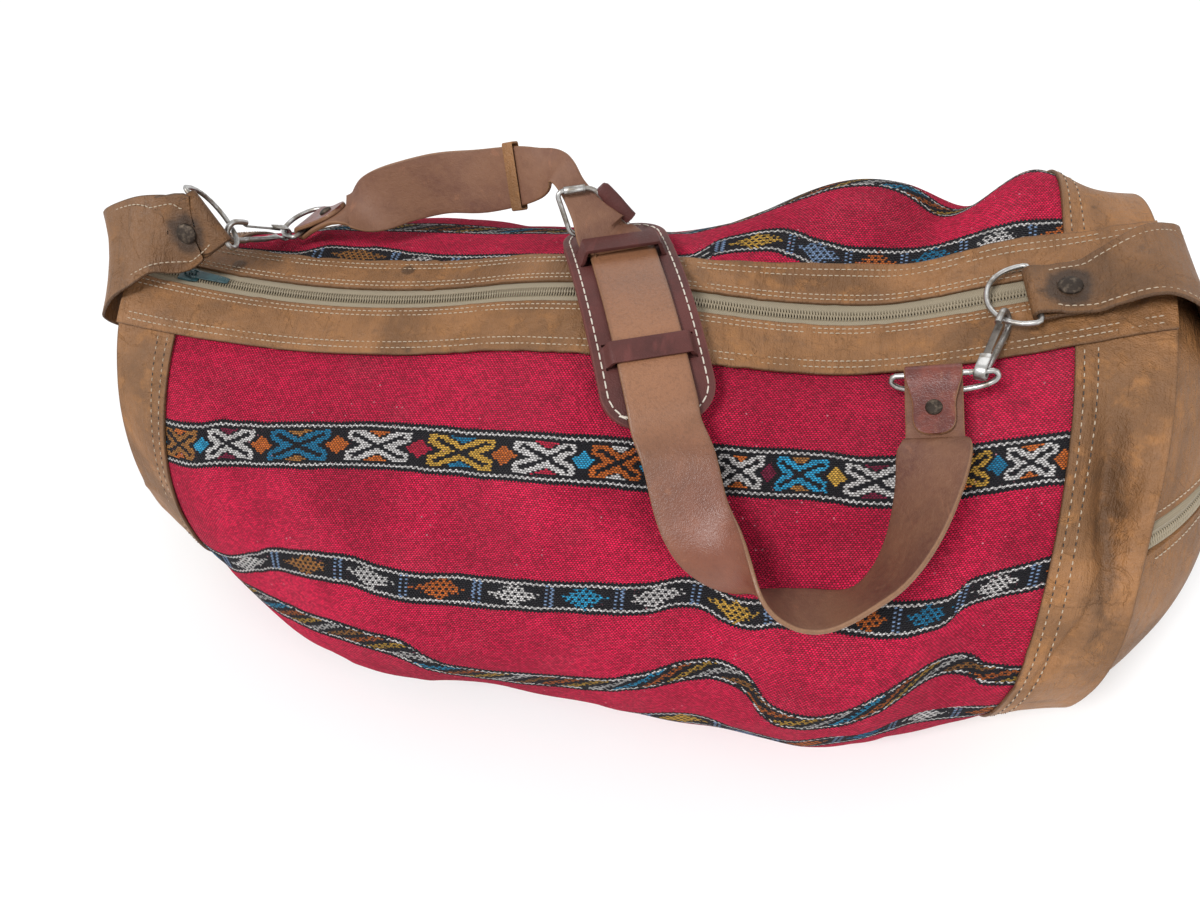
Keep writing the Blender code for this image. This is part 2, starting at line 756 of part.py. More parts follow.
def make_rivet(name, holders, place, face, leather, head, look):
    """A rivet through two layers of leather, and its hole in the pieces that it holds."""
    reach = leather + GAP / 2 + GAP
    profile = (
        (0.0, reach + 0.0022),
        (0.5 * head, reach + 0.0019),
        (0.85 * head, reach + 0.0011),
        (head, reach),
        (RIVET_SHANK, reach),
        (RIVET_SHANK, -reach),
        (0.7 * head, -reach),
        (0.6 * head, -reach - 0.0008),
        (0.0, -reach - 0.0008),
    )
    obj = turned(name, profile, place, face)
    PARTS.objects.link(obj)
    obj.data.materials.append(material(name, *look))
    bore = RIVET_SHANK + GAP
    hole = turned(name + " hole", ((0.0, 0.012), (bore, 0.012), (bore, -0.012), (0.0, -0.012)), place, face)
    CUTTERS.objects.link(hole)
    hole.hide_render = True
    hole.display_type = "WIRE"
    for holder in holders:
        add_cut(holder, hole)


# Ring tabs


def tab_stations(ring, roots, bend, flare, heading, face, side):
    """The tab: up the end panel from its root, over the rim, then round its ring and back. The flare
    is how much wider the tab is where its lap starts, and how far it is shifted there."""
    bar, _ = ring_axes(ring)
    heading = square_to(heading, bar)
    face = square_to(square_to(face, bar), heading)
    fold = fold_back(ring[0], heading, face, bar, TAB_LEATHER, TAB_LAP, TAB_END_WIDTH, TAB_END_WIDTH)
    keys = []
    for z, y, width in roots:
        x = dome_x(side, y, z) + side * 0.0030
        keys.append((np.array([x, y, z]), np.array([0.0, -1.0, 0.0]), width))
    keys += [(np.array(middle), np.array(across), width) for middle, across, width in bend]
    for k, share in ((0, 1.0), (1, 0.5)):
        middle, across, width = fold[k]
        fold[k] = (middle + share * flare[1] * bar, across, width + share * flare[0])
    keys.append(fold[0])
    return smooth_stations(keys, 4) + fold[1:], heading, face


def smooth_stations(keys, cells):
    middles = spline([key[0] for key in keys], cells)
    acrosses = spline([unit(key[1]) for key in keys], cells)
    widths = spline([[key[2]] for key in keys], cells)[:, 0]
    return list(zip(middles, acrosses, widths))


def make_left_tab():
    roots = ((0.118, 0.012, TAB_ROOT_WIDTH), (0.150, 0.008, TAB_ROOT_WIDTH), (0.182, 0.002, 0.066))
    bend = (
        ((-0.3185, -0.006, 0.2060), (0.12, -0.88, -0.46), 0.066),
        ((-0.3096, -0.0105, 0.2258), (0.19, -0.75, -0.60), 0.056),
        ((-0.2885, -0.0050, 0.2370), (0.42, -0.66, -0.60), 0.048),
    )
    stations, heading, face = tab_stations(
        LEFT_RING, roots, bend, (0.012, -0.005), (0.90, 0.23, 0.37), (-0.30, -0.60, 0.75), -1
    )
    tab = ribbon("left_tab", stations, TAB_LEATHER, TAN)
    place = np.asarray(LEFT_RING[0]) - TAB_RIVET_BACK * heading
    make_rivet("left_tab_rivet", [tab], place, face, TAB_LEATHER, TAB_RIVET_HEAD, ANTIQUE)
    make_ring("left_ring", LEFT_RING)


def make_right_tab():
    roots = ((0.218, 0.026, TAB_ROOT_WIDTH), (0.226, 0.027, TAB_ROOT_WIDTH), (0.234, 0.027, TAB_ROOT_WIDTH))
    bend = (
        ((0.3165, 0.0260, 0.2520), (0.05, -0.99, 0.0), 0.066),
        ((0.3065, 0.0220, 0.2665), (0.04, -0.99, -0.05), 0.062),
        ((0.2840, 0.0160, 0.2725), (0.06, -0.99, -0.06), 0.050),
    )
    stations, heading, face = tab_stations(
        RIGHT_RING, roots, bend, (0.004, 0.0), (-0.97, -0.08, -0.22), (-0.22, -0.05, 0.97), 1
    )
    tab = ribbon("right_tab", stations, TAB_LEATHER, TAN)
    place = np.asarray(RIGHT_RING[0]) - TAB_RIVET_BACK * heading
    make_rivet("right_tab_rivet", [tab], place, face, TAB_LEATHER, TAB_RIVET_HEAD, ANTIQUE)
    make_ring("right_ring", RIGHT_RING)


# Snap hooks


def hook_frame(eye, grip, curl_axis, normal):
    """The hook's length, its heading, and its back direction as a function of the way along it."""
    along_hook = np.asarray(grip) - np.asarray(eye)
    reach = float(np.linalg.norm(along_hook)) - NOSE_SEAT
    heading = unit(along_hook)
    flat = square_to(normal, heading)
    curl = square_to(curl_axis, heading)
    curl = curl if np.dot(curl, flat) > 0 else -curl

    def back(way):
        share = min(max((way - 0.003) / 0.012, 0.0), 1.0)
        share = share * share * (3 - 2 * share)
        return unit(np.cross(heading, (1 - share) * curl + share * flat))

    return reach, heading, back


def hook_outline(reach):
    """The hook's centre line as (way, height) pairs: lip, curl, back, nose and tip."""
    path = [(0.0085, -CLIP_RADIUS), (0.0040, -CLIP_RADIUS)]
    for turn in np.radians((-90, -120, -150, -180, -210, -240, -270)):
        path.append((CLIP_RADIUS * math.cos(turn), CLIP_RADIUS * math.sin(turn)))
    path += [(0.0040, 0.0028), (0.0075, 0.0034), (0.0110, 0.0041), (0.0160, 0.0048)]
    path += [(0.0280, 0.0056), (reach - 0.0080, NOSE_RADIUS)]
    for turn in np.radians((90, 60, 30, 0, -30, -60, -90)):
        path.append((reach + NOSE_RADIUS * math.cos(turn), NOSE_RADIUS * math.sin(turn)))
    path += [(reach - 0.0040, -NOSE_RADIUS), (reach - 0.0070, 0.0004 - NOSE_RADIUS)]
    return np.array(path)


def strip_rings(eye, heading, back, path, half_width, half_depth):
    """Outlines of a bar along the path, wide along the hook's normal and deep across the path."""
    slopes = np.gradient(path, axis=0)
    rings = []
    for (way, height), (run, rise), wide, deep in zip(path, slopes, half_width, half_depth):
        up = back(way)
        side = np.cross(up, heading)
        across = unit(run * up - rise * heading)
        turn = (np.arange(8) + 0.5) * math.pi / 4
        shape = np.outer(wide * np.cos(turn), side) + np.outer(deep * np.sin(turn), across)
        rings.append(np.asarray(eye) + way * heading + height * up + shape)
    return rings


def make_hook(side, strap_ring, eye, grip, curl_axis, normal):
    reach, heading, back = hook_frame(eye, grip, curl_axis, normal)
    path = hook_outline(reach)
    way = np.where(np.arange(len(path)) < 9, 0.0, path[:, 0])
    share = np.clip((way - 0.003) / 0.011, 0.0, 1.0)
    wide = CLIP_WIDTH / 2 + share * (HOOK_WIRE - CLIP_WIDTH / 2)
    deep = CLIP_STRIP / 2 + share * (HOOK_WIRE - CLIP_STRIP / 2)
    name = side + "_hook"
    hook = keep(name, loft(name, strip_rings(eye, heading, back, path, wide, deep)), STEEL)
    put_origin(hook, eye)
    carry(strap_ring, hook)
    gate_low = CLIP_STRIP / 2 + GAP + GATE_STRIP / 2 - CLIP_RADIUS
    gate_high = HOOK_WIRE + GAP + GATE_STRIP / 2 - NOSE_RADIUS
    ways = np.array([0.0045, 0.0085, 0.0140, 0.0250, reach - 0.0060])
    heights = np.interp(ways, (0.0085, reach - 0.0060), (gate_low, gate_high))
    flat = np.full(len(ways), 1.0)
    gate = np.column_stack([ways, heights])
    rings = strip_rings(eye, heading, back, gate, flat * GATE_WIDTH / 2, flat * GATE_STRIP / 2)
    obj = keep(side + "_hook_gate", loft(side + "_hook_gate", rings), DARK_STEEL)
    put_origin(obj, np.asarray(eye) + GATE_PIVOT * heading + gate_low * back(GATE_PIVOT))
    carry(hook, obj)


def make_hooks():
    ring = make_ring("left_strap_ring", LEFT_STRAP_RING)
    eye, grip = ring_point(LEFT_STRAP_RING, LEFT_CLIP_GRIP), ring_point(LEFT_RING, LEFT_RING_GRIP)
    make_hook("left", ring, eye, grip, ring_heading(LEFT_STRAP_RING, LEFT_CLIP_GRIP), (-0.869, 0.488, -0.071))
    ring = make_ring("right_strap_ring", RIGHT_STRAP_RING)
    bar, _ = ring_axes(RIGHT_STRAP_RING)
    eye = np.asarray(RIGHT_STRAP_RING[0]) + RIGHT_CLIP_OFFSET * bar
    make_hook("right", ring, eye, ring_point(RIGHT_RING, RIGHT_RING_GRIP), bar, (0.70, -0.53, 0.44))


# Buckle


def buckle_corners():
    across = pad_frame()[0]
    c = pad_point(STRAP_BAR_RUN, STRAP_BAR_ACROSS, STRAP_BAR_HEIGHT)
    b = c + np.array(ROLLER_RISE)
    return b - ROLLER_BAR * across, b, c, c - STRAP_BAR * across, across


def rounded_loop(corners, radius, steps=3):
    """A closed path through the corners of a rectangle, each rounded, and its heading at each point."""
    path, headings = [], []
    for k, corner in enumerate(corners):
        before = unit(corners[k - 1] - corner)
        after = unit(corners[(k + 1) % len(corners)] - corner)
        for turn in np.radians(np.linspace(0, 90, steps + 1)):
            path.append(corner + radius * ((1 - math.sin(turn)) * before + (1 - math.cos(turn)) * after))
            headings.append(math.sin(turn) * after - math.cos(turn) * before)
    return np.array(path), np.array(headings)


def buckle_middles():
    """The middles of the roller and of the bar, and the frame's normal, which points away from the front."""
    a, b, c, d, across = buckle_corners()
    return (a + b) / 2, (c + d) / 2, unit(np.cross(across, c - b))


def make_buckle():
    a, b, c, d, across = buckle_corners()
    roller, _, normal = buckle_middles()
    path, headings = rounded_loop([a, b, c, d], BUCKLE_CORNER)
    frame = wire_rings(path, normal, BUCKLE_WIRE, closed=True, heading=headings)
    keep("buckle_frame", loft("buckle_frame", frame, closed=True), STEEL)
    bore, half = BUCKLE_WIRE + GAP, ROLLER_BAR / 2 - 0.0042
    rings = []
    for turn in np.arange(14) * 2 * math.pi / 14:
        out = math.cos(turn) * np.cross(across, normal) + math.sin(turn) * normal
        shape = ((-half, bore), (half, bore), (half, ROLLER_RADIUS), (-half, ROLLER_RADIUS))
        rings.append([roller + reach * across + radius * out for reach, radius in shape])
    obj = keep("buckle_roller", loft("buckle_roller", rings, closed=True), STEEL)
    put_origin(obj, roller)
    down = unit(c - b)
    beside = square_to(across, down)
    length = np.linalg.norm(c - b)
    turns = np.arange(10) * 2 * math.pi / 10
    rings = []
    for way, radius in ((0.003, 0.0018), (0.005, 0.0027), (0.5 * length, 0.0029), (length - 0.004, 0.0026)):
        point = b + 0.0050 * beside + way * down
        rings.append(point + radius * (np.outer(np.cos(turns), beside) + np.outer(np.sin(turns), normal)))
    keep("buckle_side_roll", loft("buckle_side_roll", rings), PAD_BROWN)


# Shoulder pad


def pad_frame():
    """The arc's axis direction, its heading at the crest and its centre."""
    heading = np.array([*PAD_HEADING, 0.0])
    across = np.array([-PAD_HEADING[1], PAD_HEADING[0], 0.0])
    centre = np.asarray(PAD_CREST) - np.array([0.0, 0.0, PAD_RADIUS])
    return across, heading, centre


def pad_point(run, across, height):
    """A point over the pad: run from its rear end, across to the right, height over its underside."""
    side, heading, centre = pad_frame()
    turn = (run - PAD_CREST_RUN) / PAD_RADIUS
    out = math.sin(turn) * heading + math.cos(turn) * np.array([0.0, 0.0, 1.0])
    return centre + across * side + (PAD_RADIUS + height) * out


def pad_half_width(run):
    """Half the pad's width at this run: straight sides and quarter rounds at the corners."""
    from_end = min(run, PAD_LENGTH - run)
    inset = PAD_CORNER - math.sqrt(max(PAD_CORNER**2 - max(PAD_CORNER - from_end, 0.0) ** 2, 0.0))
    return PAD_WIDTH / 2 - inset


def pad_rows():
    ends = np.array([0.0, 0.0012, 0.004, 0.009, 0.016])
    rows = [ends, PAD_LENGTH - ends, [0.062, 0.083]]
    for start in (FIRST_BAR, SECOND_BAR):
        rows.append([start - SLIT, start, start + BAR_LENGTH / 2, start + BAR_LENGTH, start + BAR_LENGTH + SLIT])
    return np.unique(np.round(np.concatenate(rows), 6))


def bar_lift(run, share):
    """How far the bars rise over what lies under them."""
    for start, layers in ((FIRST_BAR, 2), (SECOND_BAR, 1)):
        if start - 1e-6 <= run <= start + BAR_LENGTH + 1e-6 and abs(share) < 0.75:
            return layers * (STRAP_LEATHER + GAP) + GAP + PAD_TOP
    return 0.0


def make_pad():
    shares = (-1.0, -0.81, -0.69, -0.3, 0.3, 0.69, 0.81, 1.0)
    base = PAD_LINING + GAP + PAD_TOP
    top, under = [], []
    for run in pad_rows():
        half = pad_half_width(run)
        top.append([pad_point(run, share * half, base + bar_lift(run, share)) for share in shares])
        under.append([pad_point(run, share * half, PAD_LINING) for share in shares])
    mesh = grid_mesh("pad_top", np.array(top))
    slits = [(start - SLIT / 2, start + BAR_LENGTH + SLIT / 2) for start in (FIRST_BAR, SECOND_BAR)]
    middles = [pad_point(run, 0.0, base) for pair in slits for run in pair]
    side, heading, _ = pad_frame()

    def in_slit(point):
        point = np.array(point)
        offset = min(abs(np.dot(point - middle, heading)) for middle in middles)
        return offset < SLIT and abs(np.dot(point - middles[0], side)) < 0.80 * PAD_WIDTH / 2

    drop_faces(mesh, in_slit)
    add_solidify(keep("pad_top", mesh, PAD_BROWN), PAD_TOP, -1.0)
    lining = keep("pad_lining", grid_mesh("pad_lining", np.array(under)), PAD_BROWN)
    add_solidify(lining, PAD_LINING, -1.0)


# Shoulder strap


def over_pad(layer):
    """The middle height of the strap layer that lies on the pad: 0 for the lower, 1 for the upper."""
    return PAD_LINING + GAP + PAD_TOP + (layer + 1) * GAP + (layer + 0.5) * STRAP_LEATHER


def upper_strap_stations():
    """From the left ring over the arch, behind the roller, through the buckle, to under the first bar."""
    ring = LEFT_STRAP_RING
    bar, _ = ring_axes(ring)
    heading = square_to(LEFT_END_HEADING, bar)
    face = square_to(square_to(LEFT_END_FACE, bar), heading)
    fold = fold_back(
        ring[0], heading, face, bar, STRAP_LEATHER, TONGUE_LAP, STRAP_END_WIDTH, TONGUE_WIDTH
    )[::-1]
    roller, strap_bar, normal = buckle_middles()
    side = -pad_frame()[0]
    keys = [
        fold[-1],
        ((-0.1620, 0.0585, 0.2300), (-0.05, -0.55, -0.83), 0.036),
        ((-0.1438, 0.0620, 0.2370), (0.02, -0.30, -0.95), STRAP_WIDTH),
        ((-0.1166, 0.0650, 0.2450), (0.06, -0.30, -0.95), STRAP_WIDTH),
        ((-0.0893, 0.0625, 0.2510), (0.10, -0.43, -0.89), STRAP_WIDTH),
        ((-0.0640, 0.0550, 0.2620), (0.08, -0.46, -0.88), 0.035),
        ((-0.0490, 0.0500, 0.2690), (-0.10, -0.50, -0.86), 0.030),
        ((-0.0380, 0.0470, 0.2755), (-0.45, -0.50, -0.70), 0.023),
        ((-0.0315, 0.0430, 0.2765), (-0.75, -0.45, -0.40), 0.018),
        (roller + 0.0047 * normal, (-0.90, -0.40, -0.12), 0.016),
        (0.5 * (roller + strap_bar) - 0.001 * normal, side, 0.022),
        (strap_bar - 0.0068 * normal, side, 0.033),
        (pad_point(FIRST_BAR, -0.002, over_pad(1)), side, 0.035),
        (pad_point(FIRST_BAR + 0.008, -0.001, over_pad(1)), side, 0.035),
    ]
    keys = [(np.asarray(middle, float), np.asarray(across, float), width) for middle, across, width in keys]
    return fold[:-1] + smooth_stations(keys, 4)


def lower_strap_stations():
    """Round the buckle's bar, under the pad's bars, down the front in a loop, to the right ring."""
    _, strap_bar, _ = buckle_middles()
    side = pad_frame()[0]
    upwards = unit(pad_point(STRAP_BAR_RUN, 0.0, 0.01) - pad_point(STRAP_BAR_RUN, 0.0, 0.0))
    onwards = np.cross(side, upwards)
    round_bar = BUCKLE_WIRE + GAP + STRAP_LEATHER / 2
    stations = []
    for turn in np.radians((60, 90, 120, 150, 180, 210, 240, 265)):
        out = math.cos(turn) * onwards + math.sin(turn) * upwards
        stations.append((strap_bar + round_bar * out, side, 0.024))
    keys = [stations.pop()]
    keys.append((pad_point(FIRST_BAR - 0.004, -0.005, over_pad(0)), side, 0.034))
    for run in (FIRST_BAR + 0.004, 0.055, 0.075, 0.095, SECOND_BAR + 0.004, 0.125, 0.140, 0.152):
        rise = 0.0012 if run > 0.130 else 0.0
        keys.append((pad_point(run, 0.0, over_pad(0) + rise), side, STRAP_WIDTH))
    loop = (
        ((0.0590, -0.1080, 0.2140), (1.00, 0.15, 0.00)),
        ((0.0700, -0.1290, 0.1960), (1.00, 0.05, 0.05)),
        ((0.0840, -0.1440, 0.1860), (0.92, -0.28, 0.22)),
        ((0.1010, -0.1545, 0.1790), (0.78, -0.53, 0.34)),
        ((0.1190, -0.1600, 0.1750), (0.42, -0.79, 0.44)),
        ((0.1370, -0.1600, 0.1750), (0.05, -0.88, 0.46)),
        ((0.1545, -0.1545, 0.1795), (-0.05, -0.80, 0.60)),
        ((0.1681, -0.1430, 0.1868), (0.20, -0.70, 0.68)),
        ((0.1775, -0.1264, 0.1990), (0.45, -0.56, 0.70)),
        ((0.1825, -0.1060, 0.2120), (0.66, -0.42, 0.62)),
        ((0.1840, -0.0880, 0.2220), (0.82, -0.25, 0.50)),
    )
    keys += [(np.array(middle), np.array(across), STRAP_WIDTH) for middle, across in loop]
    bar, _ = ring_axes(RIGHT_STRAP_RING)
    middle = np.asarray(RIGHT_STRAP_RING[0]) + RIGHT_FOLD_OFFSET * bar
    heading = square_to(RIGHT_END_HEADING, bar)
    face = square_to(square_to(RIGHT_END_FACE, bar), heading)
    fold = fold_back(middle, heading, face, bar, STRAP_LEATHER, TONGUE_LAP, RIGHT_END_WIDTH, TONGUE_WIDTH)
    keys.append(fold[0])
    return stations + lay_on_bag(smooth_stations(keys, 3), STRAP_LEATHER) + fold[1:]


def rivet_on_fold(ring, offset, heading, face):
    """Where the rivet of a folded strap end sits, and the way its head points."""
    bar, _ = ring_axes(ring)
    heading = square_to(heading, bar)
    face = square_to(square_to(face, bar), heading)
    return np.asarray(ring[0]) + offset * bar - STRAP_RIVET_BACK * heading, -face


def make_straps():
    stations = upper_strap_stations()
    upper = ribbon("strap_upper", stations, STRAP_LEATHER, STRAP_BROWN)
    lower = ribbon("strap_lower", lower_strap_stations(), STRAP_LEATHER, STRAP_BROWN)
    place, head = rivet_on_fold(LEFT_STRAP_RING, 0.0, LEFT_END_HEADING, LEFT_END_FACE)
    make_rivet("left_strap_rivet", [upper], place, head, STRAP_LEATHER, STRAP_RIVET_HEAD, ANTIQUE)
    place, head = rivet_on_fold(RIGHT_STRAP_RING, RIGHT_FOLD_OFFSET, RIGHT_END_HEADING, RIGHT_END_FACE)
    make_rivet("right_strap_rivet", [lower], place, head, STRAP_LEATHER, STRAP_RIVET_HEAD, ANTIQUE)
    make_keeper(stations)


def make_keeper(stations):
    """A leather loop round the upper strap, a little before the roller."""
    k = min(range(len(stations)), key=lambda i: abs(stations[i][0][0] + 0.066) + (i < 16))
    middle, across, width = stations[k]
    heading = unit(stations[k + 1][0] - stations[k - 1][0])
    across = square_to(across, heading)
    face = np.cross(heading, across)
    half, deep = width / 2 + 0.0018, STRAP_LEATHER / 2 + 0.0014
    corners = [middle + i * half * across + j * deep * face for i, j in ((-1, -1), (1, -1), (1, 1), (-1, 1))]
    rings = []
    for point in rounded_loop(corners, 0.0012, 2)[0]:
        out = unit(point - middle)
        shape = ((-0.004, -0.0006), (0.004, -0.0006), (0.004, 0.0006), (-0.004, 0.0006))
        rings.append([point + run * heading + rise * out for run, rise in shape])
    keep("strap_keeper", loft("strap_keeper", rings, closed=True), TAN)


# Sliders, and the pocket zip


def join(obj, name, blocks, frame):
    """Joins some separate blocks, given as (size, centre), to obj."""
    bm = bmesh.new()
    for size, centre in blocks:
        bm.from_mesh(block(name, size, centre))
    mesh = bpy.data.meshes.new(name)
    bm.to_mesh(mesh)
    bm.free()
    helper = as_cutter(name, mesh)
    helper.matrix_world = frame
    union = obj.modifiers.new(name, "BOOLEAN")
    union.operation = "UNION"
    union.object = helper


def make_slider(name, pull_name, frame, arc_centre):
    """A slider round the coil, with its bridge, and the pull that turns in it. Local X is the way it
    travels, local Z points out of the bag, and local zero is on the tape's outer face. The empty at
    the arc's centre turns the slider along its zip."""
    length, half = SLIDER_LENGTH, SLIDER_HALF_WIDTH
    coil_top = (COIL_HEIGHT - TAPE) / 2
    top = coil_top + RUNNING + PLATE
    foot = coil_top - COIL_HEIGHT - RUNNING - PLATE
    rail = 0.0011
    obj = keep(name, block(name, (length, 2 * half, PLATE), (0, 0, top - PLATE / 2), 0.86), PETROL)
    obj.matrix_world = frame
    join(obj, name + " plate", [((length, 1.9 * half, PLATE), (0, 0, foot + PLATE / 2))], frame)
    inner = COIL_OUTER + RUNNING + rail / 2
    rails = [((0.7 * length, rail, top - GAP - 0.0002), (-0.001, y, top / 2)) for y in (-inner, inner)]
    low = foot + TAPE
    rails += [((0.7 * length, rail, -low - GAP - 0.0002), (-0.001, y, (foot - TAPE) / 2)) for y in (-inner, inner)]
    post = ((0.003, POST_WIDTH, top - foot - PLATE), (length / 2 - 0.0022, 0, (top + foot) / 2))
    join(obj, name + " post", rails + [post], frame)
    pin = top + GAP + PULL_BAR
    leg = BRIDGE_HALF_LENGTH - BRIDGE_STOCK / 2
    rise = pin + PULL_BAR + GAP - top + 0.0006
    legs = [((BRIDGE_STOCK, BRIDGE_WIDTH, rise), (x, 0, top + rise / 2 - 0.0004)) for x in (-leg, leg)]
    join(obj, name + " legs", legs, frame)
    cap = ((2 * BRIDGE_HALF_LENGTH, BRIDGE_WIDTH, BRIDGE_STOCK), (0, 0, pin + PULL_BAR + GAP + BRIDGE_STOCK / 2))
    join(obj, name + " bridge", [cap], frame)
    plate = block(pull_name, (PULL_LENGTH, PULL_WIDTH, PULL_PLATE), (PULL_LENGTH / 2 - PULL_BAR, 0, 0), 0.72)
    pull = keep(pull_name, plate, PETROL)
    pull.matrix_world = frame @ Matrix.Translation((0, 0, pin))
    add_bevel(pull, 0.0003)
    slot = block(pull_name + " slot", (0.0054, 0.0034, 0.01), (0.0009 + 0.0027, 0, 0))
    cutter = as_cutter(slot.name, slot)
    cutter.matrix_world = pull.matrix_world
    add_cut(pull, cutter)
    carry(pivot_empty(name + "_arc_centre", arc_centre), obj)
    carry(obj, pull)


def main_slider_frame():
    slope = math.asin((SLIDER_X - ZIP_ARC_X) / ZIP_ARC_RADIUS)
    place = Vector((SLIDER_X, ZIP_DRIFT[0], float(arc_height(SLIDER_X))))
    return Matrix.Translation(place) @ Matrix.Rotation(-slope, 4, "Y")


def pocket_arc():
    """The level circle through the pocket zip's two ends and its middle: centre, radius, end angles."""
    edge, _ = dome_outline(1)
    upper, lower = edge[:, 1] > POCKET_ZIP_Z, edge[:, 1] <= POCKET_ZIP_Z
    crossings = []
    for k in range(len(edge)):
        if upper[k - 1] != upper[k] and lower[k - 1] != lower[k]:
            share = (POCKET_ZIP_Z - edge[k - 1, 1]) / (edge[k, 1] - edge[k - 1, 1])
            crossings.append(edge[k - 1, 0] + share * (edge[k, 0] - edge[k - 1, 0]))
    front, rear = min(crossings) + 0.004, max(crossings) - 0.004
    middle = 0.5 * (front + rear)
    ends = np.array([[dome_x(1, y, POCKET_ZIP_Z) - 0.001, y] for y in (front, middle, rear)])
    chord = 2 * (ends[1:] - ends[:1])
    centre = np.linalg.solve(chord, (ends[1:] ** 2).sum(axis=1) - (ends[0] ** 2).sum())
    radius = float(np.hypot(*(ends[0] - centre)))
    angles = np.arctan2(ends[:, 1] - centre[1], ends[:, 0] - centre[0])
    return centre, radius, angles[0], angles[2]


def pocket_tilt(centre, radius, first, last):
    """How far the zip's face leans back, to lie in the dome's slope."""
    leans = []
    for share in (0.1, 0.3, 0.5, 0.7, 0.9):
        y = centre[1] + radius * math.sin(first + share * (last - first))
        fall = dome_x(1, y, POCKET_ZIP_Z - SLOT_HALF) - dome_x(1, y, POCKET_ZIP_Z + SLOT_HALF)
        leans.append(math.atan2(fall, 2 * SLOT_HALF))
    return sum(leans) / len(leans)


def make_pocket_zip():
    centre, radius, first, last = pocket_arc()
    tilt = pocket_tilt(centre, radius, first, last)
    lean, rise = math.sin(tilt), math.cos(tilt)
    coil_top = (COIL_HEIGHT - TAPE) / 2
    profile = (
        (COIL_INNER, coil_top - COIL_HEIGHT),
        (COIL_OUTER, coil_top - COIL_HEIGHT),
        (COIL_OUTER, -TAPE),
        (SLOT_HALF - GAP, -TAPE),
        (SLOT_HALF - GAP, 0.0),
        (COIL_OUTER, 0.0),
        (COIL_OUTER, coil_top),
        (COIL_INNER, coil_top),
    )
    for name, side in (("pocket_zip_upper", 1), ("pocket_zip_lower", -1)):
        rings = []
        for angle in np.linspace(first, last, POCKET_ZIP_CELLS + 1):
            out = np.array([math.cos(angle), math.sin(angle)])
            ring = []
            for v, n in profile:
                reach = radius + n * rise - side * v * lean
                ring.append([*(centre + reach * out), POCKET_ZIP_Z + side * v * rise + n * lean])
            rings.append(ring)
        keep(name, loft(name, rings), KHAKI)
    angle = first + POCKET_SLIDER_SHARE * (last - first)
    out = Vector((rise * math.cos(angle), rise * math.sin(angle), lean))
    forward = Vector((math.sin(angle), -math.cos(angle), 0.0))
    axes = Matrix((forward, out.cross(forward), out)).transposed().to_4x4()
    place = Vector((centre[0] + radius * math.cos(angle), centre[1] + radius * math.sin(angle), POCKET_ZIP_Z))
    frame = Matrix.Translation(place) @ axes
    make_slider("pocket_slider", "pocket_pull", frame, (*centre, POCKET_ZIP_Z))


def main():
    global PARTS, CUTTERS
    clear_scene()
    PARTS = collection("kilim_duffle_bag")
    CUTTERS = collection("cutters", hidden=True)
    make_kilim()
    make_wraps()
    make_bands()
    make_zip()
    make_left_end()
    make_right_end()
    make_left_tab()
    make_right_tab()
    make_hooks()
    make_buckle()
    make_pad()
    make_straps()
    arc_centre = (ZIP_ARC_X, ZIP_DRIFT[0], ZIP_ARC_LOW + ZIP_ARC_RADIUS)
    make_slider("zip_slider", "zip_pull", main_slider_frame(), arc_centre)
    make_pocket_zip()


if __name__ == "__main__":
    main()
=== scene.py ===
"""Looks of a kilim duffle bag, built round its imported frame: woven wool, leather, zips, metal, stitching.

X runs along the bag, -Y is the front, +Z is up, and the origin is on the ground under the belly.
All sizes are in metres. A running length counts from the zip down the front, and a negative one
counts from the zip down the rear.
"""

import math

import bpy
import numpy as np
from mathutils import Matrix, Vector


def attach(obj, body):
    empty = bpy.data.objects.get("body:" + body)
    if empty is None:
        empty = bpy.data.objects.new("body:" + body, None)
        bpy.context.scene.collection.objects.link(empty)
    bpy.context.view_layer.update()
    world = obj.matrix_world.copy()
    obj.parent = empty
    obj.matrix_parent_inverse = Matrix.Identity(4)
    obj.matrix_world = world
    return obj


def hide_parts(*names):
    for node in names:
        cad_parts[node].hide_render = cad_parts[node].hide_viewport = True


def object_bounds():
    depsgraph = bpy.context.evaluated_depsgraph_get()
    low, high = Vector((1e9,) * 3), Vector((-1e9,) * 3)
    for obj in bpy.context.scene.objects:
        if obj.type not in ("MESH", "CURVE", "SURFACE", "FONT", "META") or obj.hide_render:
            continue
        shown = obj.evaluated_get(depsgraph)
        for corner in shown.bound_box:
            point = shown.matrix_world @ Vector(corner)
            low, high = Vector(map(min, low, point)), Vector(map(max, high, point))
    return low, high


bl_info = {
    "name": "Kilim duffle bag",
    "version": (1, 0, 0),
    "blender": (4, 5, 0),
    "location": "View3D > Sidebar > Bag",
    "description": "Builds the cloth, leather, zips, metal and stitching of a kilim duffle bag",
    "category": "Object",
}

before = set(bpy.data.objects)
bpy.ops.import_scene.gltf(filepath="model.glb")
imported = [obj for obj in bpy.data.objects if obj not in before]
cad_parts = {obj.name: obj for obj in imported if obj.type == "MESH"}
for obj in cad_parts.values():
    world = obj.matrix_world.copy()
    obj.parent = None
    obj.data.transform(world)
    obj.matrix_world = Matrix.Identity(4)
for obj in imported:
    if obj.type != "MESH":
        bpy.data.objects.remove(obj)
CAD_BOX = [list(corner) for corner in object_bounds()]

